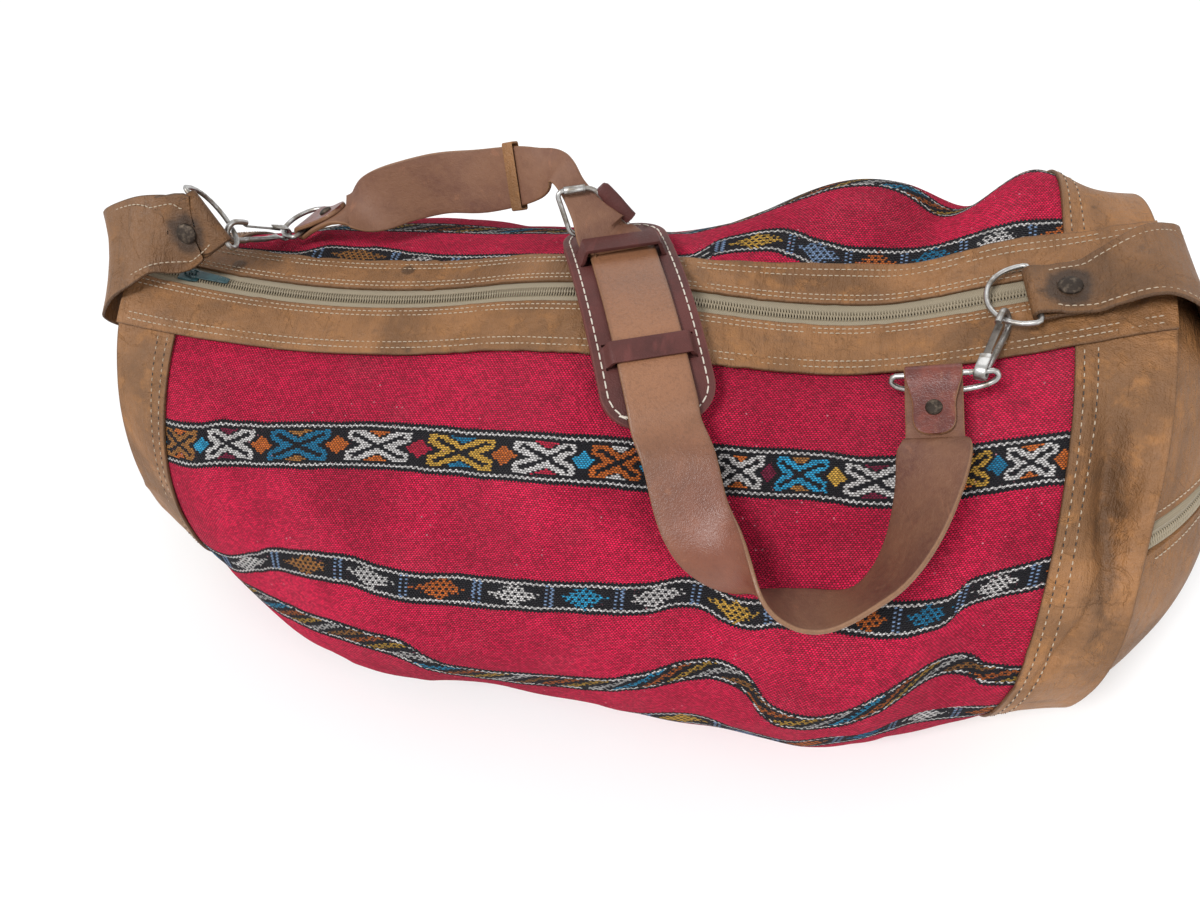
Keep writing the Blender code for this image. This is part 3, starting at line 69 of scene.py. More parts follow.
# Barrel: rows of one value per station, and single values
STATIONS = np.array([-0.3, -0.15, 0.0, 0.15, 0.3])
TOP_HEIGHT = (0.217, 0.203, 0.238, 0.221, 0.262)
FRONT_REACH = (0.088, 0.167, 0.163, 0.188, 0.171)
REAR_REACH = (0.120, 0.170, 0.160, 0.150, 0.141)
ZIP_DRIFT = (-0.005, -0.005, -0.014, 0.009, 0.029)
END_LIFT = (0.026, 0.0, 0.0, 0.0, 0.007)
FRONT_PUFF = (0.0, -0.005, -0.004, 0.0, -0.008)
REAR_PUFF = (0.0, 0.022, 0.014, 0.062, 0.027)
BELLY_SINK = 0.0035
WIDEST_SHARE = 0.35
TOP_ROUNDNESS = 1.85
BASE_ROUNDNESS = 2.9
# Arc of the main zip: radius, x of its middle, height there, x of its right end
ZIP_ARC = (0.480, -0.195, 0.2025, -0.070)
# Folds: x, running length, half lengths along and round, slant, lift
FOLDS = np.array([
    (0.155, 0.215, 0.045, 0.050, 0.0, 0.011), (0.085, 0.205, 0.030, 0.060, 0.3, -0.010),
    (0.225, 0.205, 0.028, 0.055, -0.3, -0.012), (-0.060, 0.225, 0.070, 0.045, 0.0, 0.010),
    (-0.190, 0.190, 0.045, 0.035, 0.5, -0.007), (-0.235, 0.120, 0.030, 0.060, 0.0, 0.004),
    (0.140, -0.095, 0.040, 0.060, 0.0, 0.008), (0.195, -0.080, 0.022, 0.045, -0.5, -0.014),
    (0.245, -0.090, 0.026, 0.055, -0.4, 0.014), (0.045, -0.095, 0.035, 0.045, 0.2, -0.006),
    (0.283, 0.140, 0.020, 0.045, 0.2, -0.010), (0.275, 0.330, 0.060, 0.090, 0.0, -0.010),
])

# Layers, zip and edges
LEATHER = 0.0018
CLOTH = 0.0020
TAPE = 0.0008
GAP = 0.0003
BAND_FRONT = 0.0425
BAND_REAR = 0.0360
BAND_INNER = 0.0085
SEAM_LAP = 0.0080
LEFT_WRAP_EDGE = -0.262
RIGHT_WRAP_EDGE = 0.254
COIL_OUTER = 0.0036
COIL_LAP = 0.0016
TAPE_OUTER = 0.0160
ZIP_END = 0.296

# End panels and pocket zip
END_TUCK = 0.006
END_BULGE = (0.016, 0.066)
END_ROUNDNESS = (2.1, 2.7)
TUCK_SHARE = (0.006 / 0.019, 0.006 / 0.023)
POCKET_CENTRE = (0.20969, 0.02692)
POCKET_RADIUS = 0.15062
POCKET_TURN = (-0.9365, 0.9345)
POCKET_LEAN = 0.3867
POCKET_ZIP_Z = 0.178
SLOT_HALF = 0.0066
TAPE_DROP = 0.0012
TAPE_SINK = 0.0034
TAPE_UNDER = 0.006

# Rings: middle of the bar, direction of the bar, direction of the bow, half width, depth
RING_WIRE = 0.0015
RING_CORNER = 0.0025
RING_BEND = (0.00175, 0.00075)
LEFT_RING = ((-0.2460, 0.0065, 0.2464), (0.595, -0.328, -0.733), (-0.236, 0.801, -0.550), 0.0215, 0.030)
RIGHT_RING = ((0.2336, 0.0090, 0.2505), (0.090, -0.994, -0.068), (-0.942, -0.146, -0.300), 0.0215, 0.024)
LEFT_STRAP_RING = ((-0.2120, 0.0620, 0.2065), (-0.289, -0.957, 0.031), (-0.950, 0.230, -0.200), 0.0185, 0.020)
RIGHT_STRAP_RING = ((0.1870, -0.0462, 0.2366), (0.960, -0.030, 0.280), (0.0, -0.330, -0.940), 0.0260, 0.010)

# Tabs, strap and hooks
TAB_LEATHER = 0.0022
TAB_LAP = 0.026
TAB_END_WIDTH = 0.035
TAB_RIVET_BACK = 0.017
STRAP_WIDTH = 0.038
STRAP_END_WIDTH = 0.028
STRAP_LEATHER = 0.0030
TONGUE_WIDTH = 0.021
TONGUE_LAP = 0.034
RIGHT_FOLD_OFFSET = -0.0050
RIGHT_END_WIDTH = 0.0285
STRAP_RIVET_BACK = 0.020
LEFT_END_HEADING = (-0.810, 0.226, -0.541)
LEFT_END_FACE = (0.10, 0.30, -0.95)
RIGHT_END_HEADING = (-0.07, 0.94, 0.34)
RIGHT_END_FACE = (0.05, 0.35, -0.90)
HOOK_WIRE = 0.0018
NOSE_RADIUS = 0.0060
NOSE_SEAT = 0.0018
CLIP_RADIUS = 0.0041
CLIP_WIDTH = 0.0060
CLIP_STRIP = 0.0014
GATE_STRIP = 0.0008
GATE_WIDTH = 0.0040
BUCKLE_WIRE = 0.0015
ROLLER_RADIUS = 0.0024
ROLLER_BAR = 0.0210
STRAP_BAR = 0.0360
ROLLER_RISE = (-0.0230, 0.0020, 0.0235)

# Shoulder pad
PAD_LENGTH = 0.150
PAD_WIDTH = 0.062
PAD_CORNER = 0.020
PAD_TOP = 0.0020
PAD_LINING = 0.0028
PAD_RADIUS = 0.168
PAD_CREST = np.array((0.0145, -0.0025, 0.2412))
PAD_CREST_RUN = 0.0545
PAD_HEADING = np.array((0.3696, -0.9292, 0.0))
PAD_ACROSS = np.array((0.9292, 0.3696, 0.0))
BAR_LENGTH = 0.012
PAD_BARS = ((0.032, 2), (0.104, 1))
BAR_SHARE = 0.81
BAR_SHOULDER = 0.13
SLIT = 0.0016
PAD_SEAM = 0.0040
PAD_SWELL = 0.0002

# Camera, fitted to the photograph
CAMERA_PLACE = (0.0812, -0.4014, 0.5745)
CAMERA_FORWARD = (-0.1353, 0.6257, -0.7683)
CAMERA_RIGHT = (0.9774, 0.2113, 0.0)
CAMERA_LENS = 27.18
CAMERA_ROLL = -2.0
FLOOR_HALF = 6.0


# Settings


def colour_setting(name, description, default):
    return bpy.props.FloatVectorProperty(
        name=name, description=description, subtype="COLOR", size=3, min=0.0, max=1.0, default=default
    )


def size_setting(name, description, default, low, high):
    return bpy.props.FloatProperty(
        name=name,
        description=description,
        default=default,
        min=low,
        max=high,
        subtype="DISTANCE",
        unit="LENGTH",
    )


class BagColours(bpy.types.PropertyGroup):
    wool: colour_setting("Wool", "Ground colour of the woven cloth", (0.850, 0.0150, 0.085))
    leather: colour_setting("Leather", "Main colour of the bag's leather", (0.245, 0.112, 0.040))
    strap: colour_setting("Strap", "Grain side of the shoulder strap", (0.170, 0.072, 0.037))
    pad: colour_setting("Pad", "Leather of the shoulder pad", (0.078, 0.023, 0.020))
    tape: colour_setting("Zip tape", "Woven tape and coil of the zips", (0.350, 0.288, 0.195))
    slider: colour_setting("Slider", "Enamel of the zip sliders", (0.012, 0.040, 0.046))
    thread: colour_setting("Thread", "Stitching of bands, tabs and pad", (0.520, 0.420, 0.310))
    steel: colour_setting("Steel", "Rings, hooks and buckle", (0.400, 0.395, 0.385))


class BagSizes(bpy.types.PropertyGroup):
    knot: size_setting("Knot", "Width of one knot of the weave", 0.0018, 0.0008, 0.004)
    wrinkle: size_setting("Wrinkles", "Height of the small wrinkles of the cloth", 0.0018, 0.0, 0.002)
    crease: size_setting("Creases", "Height of the creases of the leather", 0.0007, 0.0, 0.0015)
    stitch: size_setting("Stitch", "Length of one stitch", 0.0025, 0.001, 0.006)
    stitch_pitch: size_setting("Stitch pitch", "From one stitch to the next", 0.0034, 0.0015, 0.008)
    thread_width: size_setting("Thread width", "Thickness of the sewing thread", 0.00065, 0.0003, 0.002)
    tooth_pitch: size_setting("Coil pitch", "From one turn of the zip coil to the next", 0.0017, 0.001, 0.004)


def colours():
    return bpy.context.scene.bag_colours


def sizes():
    return bpy.context.scene.bag_sizes


# Vectors and curves


def unit(vector):
    vector = np.asarray(vector, float)
    return vector / np.linalg.norm(vector, axis=-1, keepdims=True)


def dot(first, second):
    return np.sum(np.asarray(first) * np.asarray(second), axis=-1, keepdims=True)


def square_to(vector, axis):
    """The part of vector that is square to axis, one unit long."""
    axis = unit(axis)
    return unit(np.asarray(vector, float) - dot(vector, axis) * axis)


def smooth(share):
    """Three times the square less twice the cube of the share, held between 0 and 1."""
    share = np.clip(share, 0.0, 1.0)
    return share * share * (3 - 2 * share)


def hermite(start, end, start_slope, end_slope, share):
    """The cubic from start to end with these slopes, at a share of the way."""
    return (
        start * (2 * share**3 - 3 * share**2 + 1)
        + start_slope * (share**3 - 2 * share**2 + share)
        + end * (3 * share**2 - 2 * share**3)
        + end_slope * (share**3 - share**2)
    )


def spline(points, cells):
    """A Catmull-Rom curve: between neighbours, the cubic whose slope at a point is half the step from
    the point before it to the one after it, taken at evenly spaced shares."""
    points = np.asarray(points, float)
    padded = np.vstack([2 * points[0] - points[1], points, 2 * points[-1] - points[-2]])
    before, start, end, after = (padded[k : len(padded) - 3 + k][:, None, :] for k in range(4))
    share = np.linspace(0.0, 1.0, cells, endpoint=False)[None, :, None]
    found = hermite(start, end, 0.5 * (end - before), 0.5 * (after - start), share)
    return np.vstack([found.reshape(-1, points.shape[1]), points[-1:]])


def resample(path, step, margin=0.0, others=()):
    """Points at even steps along a path, the headings there, and other values carried to them."""
    path = np.asarray(path, float)
    run = np.concatenate([[0.0], np.cumsum(np.linalg.norm(np.diff(path, axis=0), axis=1))])
    count = max(2, int(round((run[-1] - 2 * margin) / step)))
    at = margin + (np.arange(count) + 0.5) * (run[-1] - 2 * margin) / count

    def carry(values, where):
        return np.stack([np.interp(where, run, values[:, k]) for k in range(values.shape[1])], 1)

    points = carry(path, at)
    heading = unit(carry(path, at + 0.2 * step) - carry(path, at - 0.2 * step))
    return points, heading, [carry(np.asarray(other, float), at) for other in others]


# Barrel


def along(values, x):
    """A smooth curve through one value per station."""
    values = np.asarray(values, float)
    slopes = np.gradient(values, STATIONS)
    x = np.clip(x, STATIONS[0], STATIONS[-1])
    k = np.clip(np.searchsorted(STATIONS, x, side="right") - 1, 0, len(STATIONS) - 2)
    width = STATIONS[k + 1] - STATIONS[k]
    share = (x - STATIONS[k]) / width
    return hermite(values[k], values[k + 1], slopes[k] * width, slopes[k + 1] * width, share)


def zip_height(x):
    """Height of the zip line: the slider's arc on the left, then a smooth rise, then the stations."""
    radius, middle, low, end = ZIP_ARC

    def arc(where):
        return low + radius - np.sqrt(radius**2 - (where - middle) ** 2)

    span = -end
    steep = math.tan(math.asin((end - middle) / radius)) * span
    level = np.gradient(TOP_HEIGHT, STATIONS)[2] * span
    rise = hermite(arc(end), TOP_HEIGHT[2], steep, level, np.clip((x - end) / span, 0, 1))
    return np.where(x < end, arc(np.minimum(x, end)), np.where(x < 0.0, rise, along(TOP_HEIGHT, x)))


def zip_y(x):
    """Place of the zip line across the bag, constant along the slider's arc."""
    end = ZIP_ARC[3]
    slope = -np.gradient(ZIP_DRIFT, STATIONS)[2] * end
    turn = hermite(ZIP_DRIFT[1], ZIP_DRIFT[2], 0.0, slope, np.clip((x - end) / -end, 0, 1))
    return np.where(x < 0.0, turn, along(ZIP_DRIFT, x))


def outline(x):
    """Sections of the barrel: from the zip down the front and up the rear. Each half is a quarter of one
    superellipse above the widest level and of another below it, the reach times sin to a power out, and
    the height times cos to the same power up, with a swell of sin squared of twice the turn on its shoulder.
    Returns (x, point, yz) and the running length to each point."""
    x = np.asarray(x, float)[:, None]
    top, middle = zip_height(x), zip_y(x)
    low = along(END_LIFT, x) - BELLY_SINK
    widest = low + WIDEST_SHARE * (top - low)
    turn = np.linspace(0.0, math.pi, 480)[None, :]
    upper = turn < math.pi / 2
    power = 2.0 / np.where(upper, TOP_ROUNDNESS, BASE_ROUNDNESS)
    out = np.abs(np.sin(turn)) ** power
    rise = np.sign(np.cos(turn)) * np.abs(np.cos(turn)) ** power
    z = widest + np.where(rise > 0, top - widest, widest - low) * rise
    halves = []
    for side, reach, puff in ((-1, FRONT_REACH, FRONT_PUFF), (1, REAR_REACH, REAR_PUFF)):
        swell = along(puff, x) * np.where(upper, np.sin(2 * turn) ** 2, 0.0)
        halves.append(np.stack([middle + side * along(reach, x) * out, z + swell], -1))
    loops = np.concatenate([halves[0], halves[1][:, ::-1][:, 1:]], 1)
    steps = np.linalg.norm(np.diff(loops, axis=1), axis=-1)
    run = np.concatenate([np.zeros((len(x), 1)), np.cumsum(steps, 1)], 1)
    return loops, run


def girth(x):
    """Length once round the barrel at each x."""
    return outline(np.atleast_1d(x))[1][:, -1]


def base_points(x, runs):
    """Points of the sections at x (n,) at running lengths (n, m), which wrap round."""
    loops, run = outline(x)
    offset = 10.0 * np.arange(len(x))[:, None]
    wanted = (np.mod(runs, run[:, -1:]) + offset).ravel()
    keys = (run + offset).ravel()
    y = np.interp(wanted, keys, loops[..., 0].ravel()).reshape(runs.shape)
    z = np.interp(wanted, keys, loops[..., 1].ravel()).reshape(runs.shape)
    return np.stack([np.broadcast_to(np.asarray(x)[:, None], runs.shape), y, z], -1)


def fold_height(x, signed):
    """Lift of the cloth: a sum of hills, each its height times exp of minus the squares of the slanted
    way along and the way round from its middle, in its half lengths."""
    x, signed = np.broadcast_arrays(x, signed)
    height = np.zeros(x.shape)
    for fold_x, fold_run, length, width, slant, lift in FOLDS:
        across = x - fold_x - slant * (signed - fold_run)
        height += lift * np.exp(-((across / length) ** 2) - ((signed - fold_run) / width) ** 2)
    return height


def ridges(seed, count, x, signed, length, width, slants=(0.0, 0.6)):
    """Small wrinkles between -1 and 1: a sum of short ridges at seeded places, each exp of minus the
    squares of the ways across and along it, half of them valleys."""
    random = np.random.RandomState(seed)
    places = random.uniform((-0.3, -0.46), (0.3, 0.46), (count, 2))
    turns = random.uniform(slants[0], slants[1], count) * random.choice((-1, 1), count)
    height = np.zeros(np.broadcast(x, signed).shape)
    for (place, run), turn, sign in zip(places, turns, np.tile((1, -1), count)):
        dx, dr = x - place, signed - run
        across = dx * math.cos(turn) + dr * math.sin(turn)
        onwards = dr * math.cos(turn) - dx * math.sin(turn)
        height += sign * np.exp(-((across / width) ** 2) - (onwards / length) ** 2)
    return np.clip(height, -1.0, 1.0)


def skin(x, runs, lift, relief=None):
    """The barrel's skin at stations x (n,) and running lengths (n, m): the section's point, moved along the
    outward normal by lift, the folds and the relief, and never below the ground. With its normals."""
    x, runs = np.asarray(x, float), np.asarray(runs, float)
    step = 0.002
    after, before = np.minimum(x + step, STATIONS[-1]), np.maximum(x - step, STATIONS[0])
    lengthwise = base_points(after, runs) - base_points(before, runs)
    around = base_points(x, runs + step) - base_points(x, runs - step)
    outward = unit(np.cross(around, lengthwise))
    whole = girth(x)[:, None]
    signed = np.mod(runs, whole)
    signed = np.where(signed > whole / 2, signed - whole, signed)
    height = lift + fold_height(x[:, None], signed)
    if relief is not None:
        height = height + relief(x[:, None], signed)
    points = base_points(x, runs) + height[..., None] * outward
    points[..., 2] = np.maximum(points[..., 2], -(lift + LEATHER + GAP))
    return points, outward


def skin_line(x, runs, lift):
    """A line of points on the skin, one for each x and running length, with the true normals there."""
    x, runs = np.broadcast_arrays(np.asarray(x, float), np.asarray(runs, float))
    step = 0.003
    tight = np.clip(x, STATIONS[0] + step, STATIONS[-1] - step)
    around = np.stack([runs - step, runs, runs + step], 1)
    middle, _ = skin(x, around, lift)
    after, _ = skin(tight + step, around[:, 1:2], lift)
    before, _ = skin(tight - step, around[:, 1:2], lift)
    normal = unit(np.cross(middle[:, 2] - middle[:, 0], (after - before)[:, 0]))
    return middle[:, 1], normal


# Meshes


def grid_cells(rows, columns, wrap=False, close=False):
    """Row and column of each cell of a grid, and of the cell after it in each direction."""
    down, across = rows if close else rows - 1, columns if wrap else columns - 1
    i, j = (index.ravel() for index in np.meshgrid(np.arange(down), np.arange(across), indexing="ij"))
    return i, j, (i + 1) % rows, (j + 1) % columns


def grid_faces(rows, columns, wrap=False, close=False):
    """Faces of a grid; they look along (step between rows) x (step between columns)."""
    i, j, i2, j2 = grid_cells(rows, columns, wrap, close)
    return np.stack([i * columns + j, i2 * columns + j, i2 * columns + j2, i * columns + j2], 1)


def grid_corners(values, rows, columns, wrap=False):
    """Values of a (rows, columns) grid at the corners of its faces. Where the grid joins its sides, the
    values come with one more column."""
    i, j, _, _ = grid_cells(rows, columns, wrap)
    return np.stack([values[i, j], values[i + 1, j], values[i + 1, j + 1], values[i, j + 1]], 1)


def capped(points, n, m, closed=False):
    """Faces of n rings of m points: walls and two caps, or walls alone where the rings join end to end.
    They are turned over where the walls enclose a negative volume, and the answer says so."""
    walls = grid_faces(n, m, wrap=True, close=closed)
    sets = [walls] if closed else [walls, np.stack([np.arange(m), np.arange(n * m)[: -m - 1 : -1]])]
    first, second, third, fourth = (points[walls[:, k]] for k in range(4))
    turned_over = np.sum(first * (np.cross(second, third) + np.cross(third, fourth))) < 0
    return [faces[:, ::-1] if turned_over else faces for faces in sets], turned_over


def linked(name, data):
    """A new object in the scene with this data."""
    obj = bpy.data.objects.new(name, data)
    bpy.context.scene.collection.objects.link(obj)
    return obj


def piece(name, points, face_sets, material, uv=None, values=None, flat=False):
    """A mesh object: points (n, 3), sets of faces, uv at each face corner, and named values at each point."""
    points = np.ascontiguousarray(np.asarray(points, np.float32).reshape(-1, 3))
    loops = np.concatenate([faces.ravel() for faces in face_sets]).astype(np.int32)
    totals = np.concatenate([np.full(len(faces), faces.shape[1]) for faces in face_sets])
    starts = np.concatenate([[0], np.cumsum(totals)[:-1]]).astype(np.int32)
    mesh = bpy.data.meshes.new(name)
    mesh.vertices.add(len(points))
    mesh.vertices.foreach_set("co", points.ravel())
    mesh.loops.add(len(loops))
    mesh.loops.foreach_set("vertex_index", loops)
    mesh.polygons.add(len(starts))
    mesh.polygons.foreach_set("loop_start", starts)
    if uv is not None:
        layer = mesh.uv_layers.new(name="pattern")
        layer.data.foreach_set("uv", np.ascontiguousarray(uv, dtype=np.float32).ravel())
    for key, value in (values or {}).items():
        attribute = mesh.attributes.new(key, "FLOAT", "POINT")
        attribute.data.foreach_set("value", np.ascontiguousarray(value, dtype=np.float32).ravel())
    mesh.update(calc_edges=True)
    mesh.validate()
    if flat:
        mesh.shade_flat()
    else:
        mesh.shade_smooth()
        mesh.set_sharp_from_angle(angle=math.radians(50))
    mesh.materials.append(material)
    return linked(name, mesh)


def settle(obj, body, slot, *nodes):
    """Lets the piece ride on its body and stand for the CAD nodes. The slot is not used."""
    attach(obj, body)
    if nodes:
        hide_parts(*nodes)


def thicken(obj, thickness, edge=0.0, segments=2):
    """Thickness inwards from the faces, and rounded cut edges."""
    shell = obj.modifiers.new("thickness", "SOLIDIFY")
    shell.thickness = thickness
    shell.offset = -1.0
    if edge:
        bevel = obj.modifiers.new("edges", "BEVEL")
        bevel.width = edge
        bevel.segments = segments
        bevel.limit_method = "ANGLE"
        bevel.angle_limit = math.radians(50)
    return obj


def loft(name, rings, material, closed=False, values=None, uv=None):
    """A solid through closed outlines (n, m, 3), capped at its ends or joined end to end, facing outwards.
    The uv of a capped one comes with one more column."""
    rings = np.asarray(rings, float)
    n, m = rings.shape[:2]
    sets, turned_over = capped(rings.reshape(-1, 3), n, m, closed)
    if uv is not None:
        parts = (grid_corners(uv, n, m, wrap=True), uv[:1, :m], uv[-1:, :m][:, ::-1])
        uv = np.concatenate([(part[:, ::-1] if turned_over else part).reshape(-1, 2) for part in parts])
    return piece(name, rings, sets, material, uv, values)


def tube(path, across, up, wide, high, sides):
    """Ellipses at the points of a path, with these half sizes across and up."""
    turn = np.arange(sides) * 2 * math.pi / sides
    across, up = (np.broadcast_to(axis, path.shape)[:, None] for axis in (across, up))
    return path[:, None] + wide * np.cos(turn)[:, None] * across + high * np.sin(turn)[:, None] * up


def wire(name, path, normal, radius, material, closed=False, sides=16, heading=None):
    """A round wire: circles square to the heading of a path that lies in the plane square to normal."""
    path = np.asarray(path, float)
    if heading is None:
        heading = np.gradient(path, axis=0)
        if closed:
            heading = np.roll(path, -1, axis=0) - np.roll(path, 1, axis=0)
    side = unit(np.cross(np.broadcast_to(normal, path.shape), heading))
    return loft(name, tube(path, side, unit(normal), radius, radius, sides), material, closed)


def turned(name, profile, place, direction, material):
    """Circles of the profile's radii at its heights along an axis, from top to foot."""
    direction = unit(direction)
    first = square_to((0.31, 0.27, 0.9) if abs(direction[2]) < 0.8 else (1.0, 0.0, 0.0), direction)
    second = np.cross(direction, first)
    radius, height = np.asarray(profile, float).T
    turn = np.arange(40) * 2 * math.pi / 40
    circle = np.cos(turn)[:, None] * first + np.sin(turn)[:, None] * second
    rings = np.asarray(place) + radius[:, None, None] * circle + height[:, None, None] * direction
    return loft(name, rings, material)


def beads(points, along, aside, up, ways, rises, radii):
    """Six rings of six points at each place: at the ways along it and the rises up, with these radii."""
    turn = np.arange(6) * math.pi / 3
    out, height = radii[:, None] * np.cos(turn), radii[:, None] * np.sin(turn) + rises[:, None]
    shape = points[:, None, None]
    for way, axis in ((ways[:, None], along), (out, aside), (height, up)):
        shape = shape + way[None, ..., None] * axis[:, None, None]
    return shape.reshape(-1, 36, 3)


def stitch_row(path, normals, pitch=None, length=None, margin=0.0, width=None):
    """Stitches end to end along a row: at even steps, a thread of the given length along the heading, its
    middle proud of the surface and its ends bent into it. Returns their points."""
    pitch, length = pitch or sizes().stitch_pitch, length or sizes().stitch
    radius = (width or sizes().thread_width) / 2
    points, heading, (normals,) = resample(path, pitch, margin, [normals])
    normals = square_to(normals, heading)
    ways = np.array((-0.5, -0.44, -0.2, 0.2, 0.44, 0.5)) * length
    rises = np.array((-1.0, -0.25, 0.35, 0.35, -0.25, -1.0)) * radius
    radii = np.array((0.35, 0.85, 1.0, 1.0, 0.85, 0.35)) * radius
    return beads(points, heading, np.cross(normals, heading), normals, ways, rises, radii)


def many(name, shapes, material):
    """One mesh of many beads."""
    shapes = np.concatenate(shapes)
    sets, _ = capped(shapes[0], 6, 6)
    start = (np.arange(len(shapes)) * 36)[:, None, None]
    sets = [(faces[None] + start).reshape(-1, faces.shape[1]) for faces in sets]
    return piece(name, shapes, sets, material)


def ribbon(name, stations, thickness, material, tongue=None):
    """A strap: a flat outline with rounded edges carried along (middle, across, width) stations. The face
    value is 1 on its upper side and -1 on its lower one, and edge is 1 on the cut edges."""
    middle, across, width = (np.asarray(part, float) for part in stations)
    across = unit(across)
    heading = unit(np.gradient(middle, axis=0))
    across = square_to(across, heading)
    up = np.cross(heading, across)
    corner = min(0.42 * thickness, 0.0011)
    turns = np.radians((0, 22, 45, 68, 90))
    shape = []
    for sx, sy, order in ((1, 1, 1), (-1, 1, -1), (-1, -1, 1), (1, -1, -1)):
        shape += [(sx, sy, corner * (math.cos(t) - 1), corner * (math.sin(t) - 1)) for t in turns[::order]]
        if order == 1:
            inner = (0.75, 0.4, 0.0, -0.4, -0.75) if sx > 0 else (-0.75, -0.4, 0.0, 0.4, 0.75)
            shape += [(share, sy, 0.0, 0.0) for share in inner]
    sx, sy, dx, dy = np.array(shape).T
    out = 0.5 * width[:, None] * sx + np.sign(sx) * dx
    height = 0.5 * thickness * sy + np.sign(sy) * dy
    rings = middle[:, None] + out[..., None] * across[:, None] + height[None, :, None] * up[:, None]
    run = np.concatenate([[0.0], np.cumsum(np.linalg.norm(np.diff(middle, axis=0), axis=1))])
    n, m = rings.shape[:2]
    uv = np.stack([np.broadcast_to(run[:, None], (n, m)), out], -1)
    uv = np.concatenate([uv, uv[:, :1]], 1)
    values = {
        "face": np.broadcast_to(np.clip(height / (0.42 * thickness), -1, 1), (n, m)),
        "edge": np.broadcast_to((np.abs(sx) > 0.99) * (np.abs(height) < 0.47 * thickness), (n, m)),
        "tongue": np.broadcast_to((np.zeros(n) if tongue is None else tongue(run))[:, None], (n, m)),
    }
    return loft(name, rings, material, values=values, uv=uv)


def refine(stations, cells):
    """The stations with more of them on the same smooth curve."""
    middle = spline([s[0] for s in stations], cells)
    across = spline([unit(s[1]) for s in stations], cells)
    width = spline([[s[2]] for s in stations], cells)[:, 0]
    return middle, across, width


# Materials: a short way to write node trees


def maths_method(operation, swapped=False):
    """A method that adds a Math node, with its two values in order or swapped."""

    def method(self, other=None):
        return self.net.maths(operation, *((other, self) if swapped else (self, other)))

    return method


class Signal:
    """A number that a material's nodes work out; arithmetic on it adds Math nodes."""

    __add__ = __radd__ = maths_method("ADD")
    __sub__ = maths_method("SUBTRACT")
    __rsub__ = maths_method("SUBTRACT", swapped=True)
    __mul__ = __rmul__ = maths_method("MULTIPLY")
    __truediv__ = maths_method("DIVIDE")
    __lt__ = maths_method("LESS_THAN")
    __gt__ = maths_method("GREATER_THAN")
    size = maths_method("ABSOLUTE")
    floor = maths_method("FLOOR")
    part = maths_method("FRACT")
    least = maths_method("MINIMUM")
    most = maths_method("MAXIMUM")

    def __init__(self, net, socket):
        self.net, self.socket = net, socket

    def teeth(self, pitch):
        """A zigzag between 0 and 1."""
        return ((self / pitch).part() * 2 - 1).size()

    def step(self, low, high):
        """0 below low, 1 above high, and smooth between."""
        inputs = {"Value": self, "From Min": low, "From Max": high}
        return self.net.number("ShaderNodeMapRange", "Result", inputs, interpolation_type="SMOOTHSTEP")


